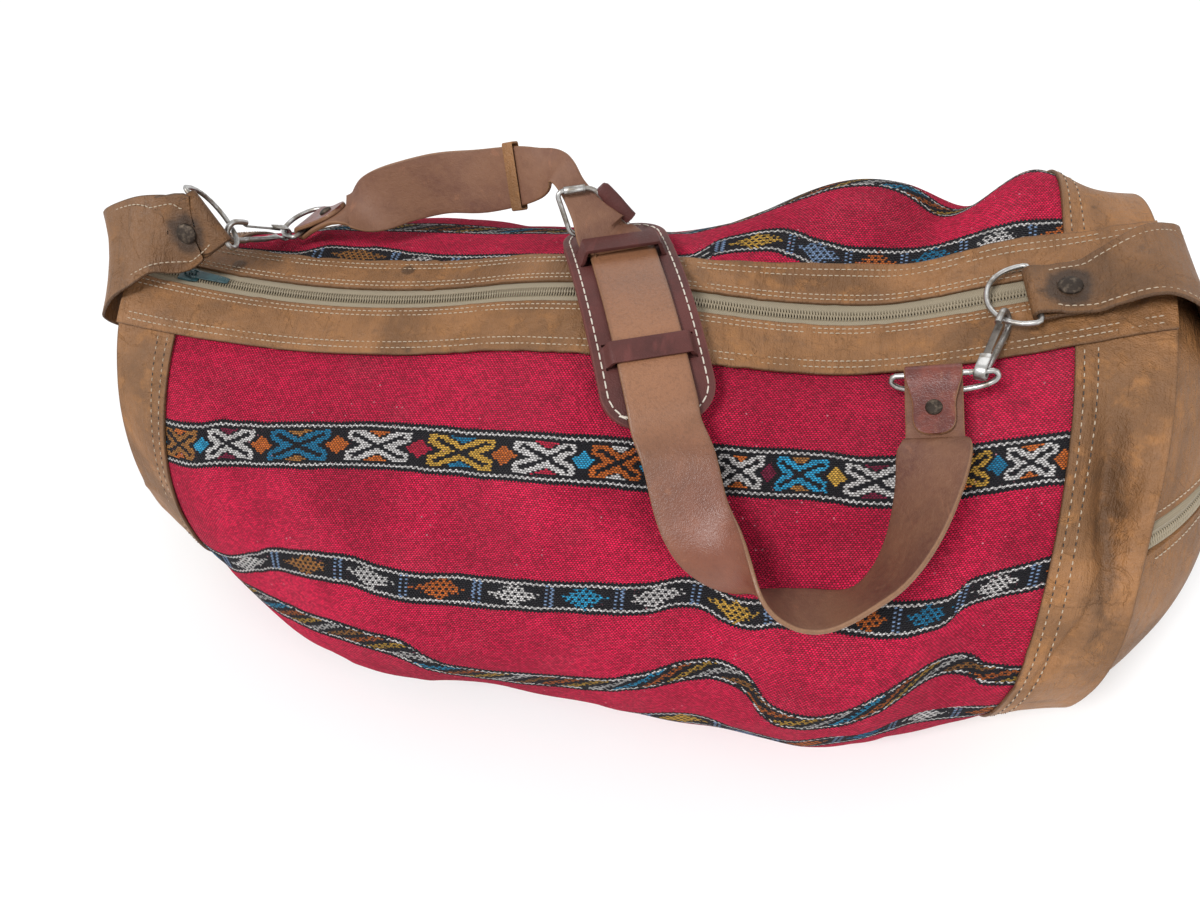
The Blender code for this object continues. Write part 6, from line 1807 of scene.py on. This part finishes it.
def make_buckle():
    """The wire frame, the roller, and a roll of leather round one side."""
    a, b, c, d = buckle_corners()
    roller, _, normal = buckle_middles()
    path, heading = rounded_loop([a, b, c, d], 0.004, 10)
    ring = wire("buckle_wire", path, normal, BUCKLE_WIRE, look("steel"), True, 16, heading)
    settle(ring, "bag", "nickel_steel", "buckle_frame")
    half, bore = ROLLER_BAR / 2 - 0.0042, BUCKLE_WIRE + GAP
    turn = np.arange(40) * 2 * math.pi / 40
    out = np.cos(turn)[:, None] * np.cross(PAD_ACROSS, normal) + np.sin(turn)[:, None] * normal
    soft = 0.0003
    shape = ((-half, bore), (half, bore), (half, ROLLER_RADIUS - soft), (half - soft, ROLLER_RADIUS))
    shape += ((soft - half, ROLLER_RADIUS), (-half, ROLLER_RADIUS - soft))
    reach, radius = np.array(shape).T
    rings = roller + reach[None, :, None] * PAD_ACROSS + radius[None, :, None] * out[:, None]
    tube = loft("buckle_roller_tube", rings, look("steel"), closed=True)
    settle(tube, "buckle_roller", "nickel_steel", "buckle_roller")
    down = unit(c - b)
    beside = square_to(PAD_ACROSS, down)
    length = float(np.linalg.norm(c - b))
    ways = np.linspace(0.003, length - 0.004, 14)
    radii = np.interp(ways, (0.003, 0.005, 0.5 * length, length - 0.004), (0.70, 0.95, 1.0, 0.90))
    spiral = radii[:, None] * (1 + 0.04 * np.sin(3 * turn[None, ::2] + 200 * ways[:, None]))
    oval = 0.0048 * np.cos(turn[::2])[:, None] * beside + 0.0030 * np.sin(turn[::2])[:, None] * normal
    rings = b + 0.0032 * beside + ways[:, None, None] * down + spiral[..., None] * oval[None]
    settle(loft("buckle_leather_roll", rings, look("pad")), "bag", "pad_leather", "buckle_side_roll")


# Shoulder strap


def press_out(points, margin):
    """The points, each moved straight out of the bag until it is the margin clear of the skin."""
    loops, run = outline(np.clip(points[:, 0], STATIONS[0], STATIONS[-1]))
    rows = np.arange(len(points))
    away = loops - points[:, None, 1:]
    nearest = np.argmin(np.linalg.norm(away, axis=-1), axis=1)
    step = loops[rows, (nearest + 1) % loops.shape[1]] - loops[rows, nearest - 1]
    outward = unit(np.stack([step[:, 1], -step[:, 0]], 1))
    height = -np.sum(away[rows, nearest] * outward, axis=1)
    at = run[rows, nearest]
    signed = np.where(at > run[:, -1] / 2, at - run[:, -1], at)
    short = np.maximum(0.0, margin + fold_height(points[:, 0], signed) - height)
    found = points.copy()
    found[:, 1:] += short[:, None] * outward
    return found


def lay_on_bag(stations, thickness):
    """The stations pressed out of the bag, their width turned to lie on it."""
    margin = 2 * (LEATHER + GAP) + thickness / 2
    middle, across, width = (np.array([s[k] for s in stations]) for k in range(3))
    half = 0.5 * width[:, None] * unit(across)
    low, high = press_out(middle - half, margin), press_out(middle + half, margin)
    return list(zip(press_out(0.5 * (low + high), margin), high - low, width))


def over_pad(layer):
    """Height of the middle of a strap layer over the pad's underside."""
    return PAD_LINING + GAP + PAD_TOP + (layer + 1) * GAP + (layer + 0.5) * STRAP_LEATHER


def upper_strap_stations():
    """From the left ring over the arch, behind the roller and through the buckle to the pad's first bar."""
    ring = LEFT_STRAP_RING
    bar, _ = ring_axes(ring)
    heading, face = fold_axes(ring, LEFT_END_HEADING, LEFT_END_FACE)
    fold = fold_back(ring[0], heading, face, bar, STRAP_LEATHER, TONGUE_LAP, STRAP_END_WIDTH, TONGUE_WIDTH)
    fold.reverse()
    roller, strap_bar, normal = buckle_middles()
    side = -PAD_ACROSS
    keys = [
        fold[-1],
        ((-0.1620, 0.0585, 0.2300), (-0.05, -0.55, -0.83), 0.036),
        ((-0.1438, 0.0620, 0.2370), (0.02, -0.30, -0.95), STRAP_WIDTH),
        ((-0.1166, 0.0650, 0.2450), (0.06, -0.30, -0.95), STRAP_WIDTH),
        ((-0.0893, 0.0625, 0.2510), (0.10, -0.43, -0.89), STRAP_WIDTH),
        ((-0.0640, 0.0550, 0.2620), (0.08, -0.46, -0.88), 0.035),
        ((-0.0490, 0.0500, 0.2690), (-0.10, -0.50, -0.86), 0.030),
        ((-0.0380, 0.0470, 0.2755), (-0.45, -0.50, -0.70), 0.023),
        ((-0.0315, 0.0430, 0.2765), (-0.75, -0.45, -0.40), 0.018),
        (roller + 0.0047 * normal, (-0.90, -0.40, -0.12), 0.016),
        (0.5 * (roller + strap_bar) - 0.001 * normal, side, 0.022),
        (strap_bar - 0.0068 * normal, side, 0.033),
        (pad_point(PAD_BARS[0][0], -0.002, over_pad(1)), side, 0.035),
        (pad_point(PAD_BARS[0][0] + 0.008, -0.001, over_pad(1)), side, 0.035),
    ]
    return fold[:-1] + smooth_stations(keys, 4)


def lower_strap_stations():
    """Round the buckle's bar, under the pad's bars, down the front in a loop, to the right ring."""
    _, strap_bar, _ = buckle_middles()
    side = PAD_ACROSS
    upwards = unit(pad_point(0.020, 0.0, 0.01) - pad_point(0.020, 0.0, 0.0))
    onwards = np.cross(side, upwards)
    round_bar = BUCKLE_WIRE + GAP + STRAP_LEATHER / 2
    stations = []
    for turn in np.radians((60, 90, 120, 150, 180, 210, 240, 265)):
        out = math.cos(turn) * onwards + math.sin(turn) * upwards
        stations.append((strap_bar + round_bar * out, side, 0.024))
    first, second = PAD_BARS[0][0], PAD_BARS[1][0]
    keys = [stations.pop(), (pad_point(first - 0.004, -0.005, over_pad(0)), side, 0.034)]
    for run in (first + 0.004, 0.055, 0.075, 0.095, second + 0.004, 0.125, 0.140, 0.152):
        rise = 0.0012 if run > 0.130 else 0.0
        keys.append((pad_point(run, 0.0, over_pad(0) + rise), side, STRAP_WIDTH))
    loop = (
        ((0.0590, -0.1080, 0.2140), (1.00, 0.15, 0.00)),
        ((0.0700, -0.1290, 0.1960), (1.00, 0.05, 0.05)),
        ((0.0840, -0.1440, 0.1860), (0.92, -0.28, 0.22)),
        ((0.1010, -0.1545, 0.1790), (0.78, -0.53, 0.34)),
        ((0.1190, -0.1600, 0.1750), (0.42, -0.79, 0.44)),
        ((0.1370, -0.1600, 0.1750), (0.05, -0.88, 0.46)),
        ((0.1545, -0.1545, 0.1795), (-0.05, -0.80, 0.60)),
        ((0.1681, -0.1430, 0.1868), (0.20, -0.70, 0.68)),
        ((0.1775, -0.1264, 0.1990), (0.45, -0.56, 0.70)),
        ((0.1825, -0.1060, 0.2120), (0.66, -0.42, 0.62)),
        ((0.1840, -0.0880, 0.2220), (0.82, -0.25, 0.50)),
    )
    keys += [(np.array(middle), np.array(across), STRAP_WIDTH) for middle, across in loop]
    bar, _ = ring_axes(RIGHT_STRAP_RING)
    middle = np.asarray(RIGHT_STRAP_RING[0]) + RIGHT_FOLD_OFFSET * bar
    heading, face = fold_axes(RIGHT_STRAP_RING, RIGHT_END_HEADING, RIGHT_END_FACE)
    fold = fold_back(middle, heading, face, bar, STRAP_LEATHER, TONGUE_LAP, RIGHT_END_WIDTH, TONGUE_WIDTH)
    keys.append(fold[0])
    return stations + lay_on_bag(smooth_stations(keys, 3), STRAP_LEATHER) + fold[1:]


def make_keeper():
    """A leather loop round the strap, left of the buckle."""
    middle = np.array((-0.0640, 0.0550, 0.2620))
    heading = unit(np.array((-0.0594, 0.0535, 0.2640)) - np.array((-0.0696, 0.0568, 0.2594)))
    across = square_to((0.0803, -0.4618, -0.8834), heading)
    face = np.cross(heading, across)
    half, deep = 0.035 / 2 + 0.0018, STRAP_LEATHER / 2 + 0.0014
    corners = [middle + i * half * across + j * deep * face for i, j in ((-1, -1), (1, -1), (1, 1), (-1, 1))]
    path, _ = rounded_loop(corners, 0.0012, 5)
    out = unit(path - middle)
    shape = np.array(((-0.004, -0.0004), (-0.0038, -0.0006), (0.0038, -0.0006), (0.004, -0.0004)))
    shape = np.concatenate([shape, -shape])
    rings = path[:, None] + shape[None, :, :1] * heading + shape[None, :, 1:] * out[:, None]
    keeper = loft("strap_keeper_loop", rings, look("leather"), closed=True)
    settle(keeper, "bag", "tan_leather", "strap_keeper")


def make_straps():
    """Both lengths of the strap, each with a redder tongue at its outer end, and the keeper."""
    for name, stations, tongue in (
        ("upper", upper_strap_stations(), lambda run: 1.0 * (run < 0.040)),
        ("lower", lower_strap_stations(), lambda run: 1.0 * (run > run[-1] - 0.040)),
    ):
        strap = ribbon("shoulder_strap_" + name, refine(stations, 4), STRAP_LEATHER, look("strap"), tongue)
        settle(strap, "bag", "strap_leather", "strap_" + name)
    make_keeper()


# Sliders


def rounded_block(size, centre, taper=1.0, corner=0.3):
    """A box with rounded edges as closed outlines along X: a rectangle with rounded corners whose size
    swells from its ends, narrowed towards +X by the taper."""
    length, wide, deep = size
    shares = np.sin(np.linspace(-math.pi / 2, math.pi / 2, 13))
    inset = corner * min(wide, deep) * (1 - np.sqrt(np.maximum(0, 1 - np.abs(shares) ** 6)))
    turn = np.arange(16) * math.pi / 8 + math.pi / 16
    round_y, round_z = (np.sign(way) * np.abs(way) ** 0.35 for way in (np.cos(turn), np.sin(turn)))
    half_y = np.maximum(wide / 2 * (1 + (taper - 1) * (shares + 1) / 2) - inset, 0.15 * wide)
    half_z = np.maximum(deep / 2 - inset, 0.15 * deep)
    along_x = np.broadcast_to((shares * length / 2)[:, None], (13, 16))
    return np.stack([along_x, half_y[:, None] * round_y, half_z[:, None] * round_z], -1) + centre


def solids(name, blocks, place, material):
    """One mesh of several capped lofts, moved by the matrix."""
    points, groups, start = [], {}, 0
    for rings in blocks:
        flat = rings.reshape(-1, 3)
        for faces in capped(flat, *rings.shape[:2])[0]:
            groups.setdefault(faces.shape[1], []).append(faces + start)
        points.append(flat)
        start += len(flat)
    turn = np.array(place)
    points = np.concatenate(points) @ turn[:3, :3].T + turn[:3, 3]
    return piece(name, points, [np.concatenate(group) for group in groups.values()], material)


def make_slider(name, body, place, node, pull_body, pull_node):
    """A slider with two plates, rails, a bridge and a pull whose bar turns in it."""
    length, half, plate = 0.0125, 0.0058, 0.0010
    coil_top, height = 0.0007, 0.0022
    top, foot = coil_top + 0.0005 + plate, coil_top - height - 0.0005 - plate
    rail = COIL_OUTER + 0.00105
    turn = np.linspace(0, math.pi, 15)
    arch = np.stack([-0.0036 * np.cos(turn), 0 * turn, top - 0.0003 + 0.0034 * np.sin(turn) ** 0.7], 1)
    slope = np.gradient(arch, axis=0)
    up = unit(np.stack([-slope[:, 2], 0 * turn, slope[:, 0]], 1))
    blocks = (
        rounded_block((length, 2 * half, plate), (0, 0, top - plate / 2), 0.86),
        rounded_block((length, 1.9 * half, plate), (0, 0, foot + plate / 2), 0.9),
        rounded_block((0.003, 0.0012, top - foot - plate), (length / 2 - 0.0022, 0, (top + foot) / 2)),
        rounded_block((0.7 * length, 0.0011, 0.0018), (-0.001, -rail, top - 0.0008)),
        rounded_block((0.7 * length, 0.0011, 0.0018), (-0.001, rail, top - 0.0008)),
        tube(arch, (0.0, 1.0, 0.0), up, 0.0010, 0.00055, 10),
    )
    settle(solids(name, blocks, place, look("slider")), body, "slider_paint", node)
    reach, shoulder = 0.0260, 0.0052
    turn = np.linspace(0, 2 * math.pi, 28, endpoint=False)
    loop = np.stack([0.0031 + 0.0031 * np.cos(turn), 0.0029 * np.sin(turn), 0 * turn], 1)
    slope = np.roll(loop, -1, axis=0) - np.roll(loop, 1, axis=0)
    level = np.array((0.0, 0.0, 1.0))
    eye = tube(loop, unit(np.cross(slope, level)), level, 0.0007, 0.0006, 8)
    flat = reach - shoulder
    blocks = (
        np.concatenate([eye, eye[:1]]),
        rounded_block((flat, 0.0070, 0.0012), (shoulder + flat / 2 - 0.0008, 0, 0), 0.72, 0.45),
        rounded_block((0.0050, 0.0050, 0.0018), (flat, 0, 0), 0.9, 0.45),
    )
    pin = Matrix.Translation((0, 0, top + GAP + 0.0008))
    pull = solids(name + "_pull", blocks, place @ pin, look("slider"))
    settle(pull, pull_body, "slider_paint", pull_node)


def make_sliders():
    """The main slider on the arc of its zip, and the pocket slider near one end of its slot."""
    radius, middle, low, _ = ZIP_ARC
    x = -0.2665
    slope = math.asin((x - middle) / radius)
    height = low + radius - math.sqrt(radius**2 - (x - middle) ** 2)
    place = Matrix.Translation((x, ZIP_DRIFT[0], height)) @ Matrix.Rotation(-slope, 4, "Y")
    make_slider("main_slider", "zip_slider", place, "zip_slider", "zip_pull", "zip_pull")
    turn = POCKET_TURN[0] + 0.90 * (POCKET_TURN[1] - POCKET_TURN[0])
    points, _, normal = pocket_frame(np.array([turn]))
    out = Vector(normal[0])
    forward = Vector((math.sin(turn), -math.cos(turn), 0.0))
    axes = Matrix((forward, out.cross(forward), out)).transposed().to_4x4()
    place = Matrix.Translation(Vector(points[0])) @ axes
    make_slider("end_slider", "pocket_slider", place, "pocket_slider", "pocket_pull", "pocket_pull")


# Stitching of the barrel


def make_stitches():
    """Rows on the bands and by the pocket zip, and rows on the wraps whose every second stitch is dark."""
    lift = LEATHER + GAP
    xs = np.linspace(-0.294, 0.294, 600)
    rows = []
    for side, outer in ((1, BAND_FRONT), (-1, BAND_REAR)):
        for run in (0.0115, 0.0148, outer - 0.0082, outer - 0.0042):
            rows.append(stitch_row(*skin_line(xs, side * run, lift)))
    settle(many("band_stitches", rows, look("thread")), "bag", "tan_leather")
    light, dark = [], []
    for x, inwards in ((LEFT_WRAP_EDGE, -1), (RIGHT_WRAP_EDGE, 1)):
        for way in (0.0042, 0.0105):
            place = x + inwards * way
            runs = np.linspace(BAND_FRONT + 0.002, float(girth(place)[0]) - BAND_REAR - 0.002, 700)
            line, normal = skin_line(np.full(len(runs), place), runs, 0.0)
            shapes = stitch_row(line, normal, pitch=0.0033, length=0.0022)
            light.append(shapes[::2])
            dark.append(shapes[1::2])
    turn = np.linspace(POCKET_TURN[0] + 0.03, POCKET_TURN[1] - 0.03, 200)
    for side in (-1, 1):
        points, upwards, normal = pocket_frame(turn)
        line = points + side * (SLOT_HALF + 0.0042) * upwards
        light.append(stitch_row(seat_on_dome(line), normal))
    settle(many("seam_stitches_light", light, look("thread")), "bag", "tan_leather")
    settle(many("seam_stitches_dark", dark, look("dark thread")), "bag", "tan_leather")


def seat_on_dome(points):
    """The points moved along X onto the right end's dome."""
    edge, middle = dome_edge(1, 256)
    away = edge - middle
    turn = np.arctan2(away[:, 1], away[:, 0])
    order = np.argsort(turn)
    reach = np.hypot(away[:, 0], away[:, 1])[order]
    y, z = points[:, 1] - middle[0], points[:, 2] - middle[1]
    radius = np.interp(np.arctan2(z, y), turn[order], reach, period=2 * math.pi)
    share = np.minimum(np.hypot(y, z) / radius, 1.0)
    rise = (END_BULGE[1] + END_TUCK) * (1 - share ** END_ROUNDNESS[1])
    found = points.copy()
    found[:, 0] = 0.3 - END_TUCK + rise + 0.0002
    return found


# Stage


def aim(lamp, way):
    """The lamp turned to shine this way."""
    lamp.rotation_euler = Vector(way).to_track_quat("-Z", "Y").to_euler()


def make_floor():
    """A square of pale paper under the bag."""
    ground = float(CAD_BOX[0][2])
    net = Net("floor", roughness=0.9, Specular_IOR_Level=0.1)
    net.finish(net.mix(net.noise(3, 2) * 0.3, (0.97, 0.97, 0.97), (0.955, 0.955, 0.955)))
    corners = [(x * FLOOR_HALF, y * FLOOR_HALF, ground) for x, y in ((-1, -1), (1, -1), (1, 1), (-1, 1))]
    piece("floor", np.array(corners), [np.array([[0, 1, 2, 3]])], net.material, flat=True)


def make_world():
    """A pale blue sky that lights the bag. The camera and glossy rays meet plain white instead."""
    world = bpy.data.worlds.new("studio")
    bpy.context.scene.world = world
    world.use_nodes = True
    nodes, link = world.node_tree.nodes, world.node_tree.links.new
    kinds = ("Background", "LightPath", "Math", "MixShader")
    white, path, either, mixer = (nodes.new("ShaderNode" + kind) for kind in kinds)
    sky = nodes["Background"]
    for node, colour, strength in ((sky, (0.97, 0.985, 1.0, 1.0), 0.44), (white, (1.0, 1.0, 1.0, 1.0), 1.0)):
        node.inputs["Color"].default_value = colour
        node.inputs["Strength"].default_value = strength
    either.operation = "MAXIMUM"
    link(path.outputs["Is Camera Ray"], either.inputs[0])
    link(path.outputs["Is Glossy Ray"], either.inputs[1])
    for k, node in enumerate((either, sky, white)):
        link(node.outputs[0], mixer.inputs[k])
    link(mixer.outputs[0], nodes["World Output"].inputs["Surface"])


def make_lamps():
    """A soft sun from the front left, and two round lamps that fill the shadows."""
    sunlight = bpy.data.lights.new("sun", "SUN")
    sunlight.energy, sunlight.angle = 2.55, math.radians(18)
    aim(linked("sun", sunlight), (0.42, 0.52, -0.74))
    lamps = (("fill", (1.3, -1.2, 1.3), 1.4, 9.0), ("back", (0.2, 1.5, 1.6), 1.2, 6.0))
    for name, place, size, power in lamps:
        light = bpy.data.lights.new(name, "AREA")
        light.shape, light.size, light.energy = "DISK", size, power
        lamp = linked(name, light)
        lamp.location = place
        aim(lamp, Vector((0.02, 0.0, 0.12)) - Vector(place))


def make_camera():
    """The camera of the photograph: a wide lens close above the bag, slightly rolled."""
    camera = bpy.data.cameras.new("camera")
    camera.sensor_width, camera.lens = 36.0, CAMERA_LENS
    camera.clip_start, camera.clip_end = 0.01, 50.0
    eye = linked("camera", camera)
    forward = unit(CAMERA_FORWARD)
    right = square_to(CAMERA_RIGHT, forward)
    roll = math.radians(CAMERA_ROLL)
    rolled = math.cos(roll) * right + math.sin(roll) * np.cross(right, forward)
    turn = Matrix((rolled, np.cross(rolled, forward), -forward)).transposed().to_4x4()
    eye.matrix_world = Matrix.Translation(Vector(CAMERA_PLACE)) @ turn
    bpy.context.scene.camera = eye


def make_stage():
    make_floor()
    bpy.context.scene.view_settings.view_transform = "Standard"
    make_world()
    make_lamps()
    make_camera()


# Operators


class BAG_OT_stage(bpy.types.Operator):
    """Make the floor, the lamps, the background and the camera."""

    bl_idname = "bag.stage"
    bl_label = "Stage"

    def execute(self, context):
        make_stage()
        return {"FINISHED"}


class BAG_OT_cloth(bpy.types.Operator):
    """Make the woven wool of the barrel."""

    bl_idname = "bag.cloth"
    bl_label = "Kilim cloth"

    def execute(self, context):
        make_cloth()
        return {"FINISHED"}


class BAG_OT_wraps(bpy.types.Operator):
    """Make the leather wraps at both ends."""

    bl_idname = "bag.wraps"
    bl_label = "End wraps"

    def execute(self, context):
        make_wraps()
        return {"FINISHED"}


class BAG_OT_bands(bpy.types.Operator):
    """Make the leather bands beside the zip."""

    bl_idname = "bag.bands"
    bl_label = "Top bands"

    def execute(self, context):
        make_bands()
        return {"FINISHED"}


class BAG_OT_ends(bpy.types.Operator):
    """Make the domed end panels and their piping."""

    bl_idname = "bag.ends"
    bl_label = "End panels"

    def execute(self, context):
        make_ends()
        return {"FINISHED"}


class BAG_OT_zip(bpy.types.Operator):
    """Make the tapes and the coil of the main zip."""

    bl_idname = "bag.zip"
    bl_label = "Main zip"

    def execute(self, context):
        make_zip()
        return {"FINISHED"}


class BAG_OT_pocket_zip(bpy.types.Operator):
    """Make the zip of the end pocket."""

    bl_idname = "bag.pocket_zip"
    bl_label = "Pocket zip"

    def execute(self, context):
        make_pocket_zip()
        return {"FINISHED"}


class BAG_OT_sliders(bpy.types.Operator):
    """Make both sliders and their pulls."""

    bl_idname = "bag.sliders"
    bl_label = "Sliders"

    def execute(self, context):
        make_sliders()
        return {"FINISHED"}


class BAG_OT_tabs(bpy.types.Operator):
    """Make the leather tabs and their stitching."""

    bl_idname = "bag.tabs"
    bl_label = "Ring tabs"

    def execute(self, context):
        make_tabs()
        return {"FINISHED"}


class BAG_OT_rings(bpy.types.Operator):
    """Make the tab rings and the strap rings."""

    bl_idname = "bag.rings"
    bl_label = "Rings"

    def execute(self, context):
        make_rings()
        return {"FINISHED"}


class BAG_OT_rivets(bpy.types.Operator):
    """Make the four rivets."""

    bl_idname = "bag.rivets"
    bl_label = "Rivets"

    def execute(self, context):
        make_rivets()
        return {"FINISHED"}


class BAG_OT_hooks(bpy.types.Operator):
    """Make the snap hooks and their spring gates."""

    bl_idname = "bag.hooks"
    bl_label = "Snap hooks"

    def execute(self, context):
        make_hooks()
        return {"FINISHED"}


class BAG_OT_pad(bpy.types.Operator):
    """Make the pad, its bars and its stitching."""

    bl_idname = "bag.pad"
    bl_label = "Shoulder pad"

    def execute(self, context):
        make_pad()
        return {"FINISHED"}


class BAG_OT_buckle(bpy.types.Operator):
    """Make the buckle, its roller and its leather roll."""

    bl_idname = "bag.buckle"
    bl_label = "Buckle"

    def execute(self, context):
        make_buckle()
        return {"FINISHED"}


class BAG_OT_straps(bpy.types.Operator):
    """Make both straps and the keeper."""

    bl_idname = "bag.straps"
    bl_label = "Shoulder strap"

    def execute(self, context):
        make_straps()
        return {"FINISHED"}


class BAG_OT_stitches(bpy.types.Operator):
    """Make the stitching of bands, wraps and pocket."""

    bl_idname = "bag.stitches"
    bl_label = "Stitching"

    def execute(self, context):
        make_stitches()
        return {"FINISHED"}


STEPS = (
    BAG_OT_stage,
    BAG_OT_cloth,
    BAG_OT_wraps,
    BAG_OT_bands,
    BAG_OT_ends,
    BAG_OT_zip,
    BAG_OT_pocket_zip,
    BAG_OT_sliders,
    BAG_OT_tabs,
    BAG_OT_rings,
    BAG_OT_rivets,
    BAG_OT_hooks,
    BAG_OT_pad,
    BAG_OT_buckle,
    BAG_OT_straps,
    BAG_OT_stitches,
)


class BAG_PT_panel(bpy.types.Panel):
    """Settings and steps of the bag."""

    bl_label = "Kilim duffle bag"
    bl_space_type = "VIEW_3D"
    bl_region_type = "UI"
    bl_category = "Bag"

    def draw(self, context):
        for group in (context.scene.bag_sizes, context.scene.bag_colours):
            box = self.layout.box()
            for name in group.__annotations__:
                box.prop(group, name)
        for step in STEPS:
            self.layout.operator(step.bl_idname)


CLASSES = (BagColours, BagSizes, *STEPS, BAG_PT_panel)


def register():
    for cls in CLASSES:
        bpy.utils.register_class(cls)
    bpy.types.Scene.bag_colours = bpy.props.PointerProperty(type=BagColours)
    bpy.types.Scene.bag_sizes = bpy.props.PointerProperty(type=BagSizes)


def unregister():
    del bpy.types.Scene.bag_sizes
    del bpy.types.Scene.bag_colours
    for cls in reversed(CLASSES):
        bpy.utils.unregister_class(cls)


def main():
    register()
    for step in STEPS:
        getattr(bpy.ops.bag, step.bl_idname.split(".")[1])()


if __name__ == "__main__":
    main()
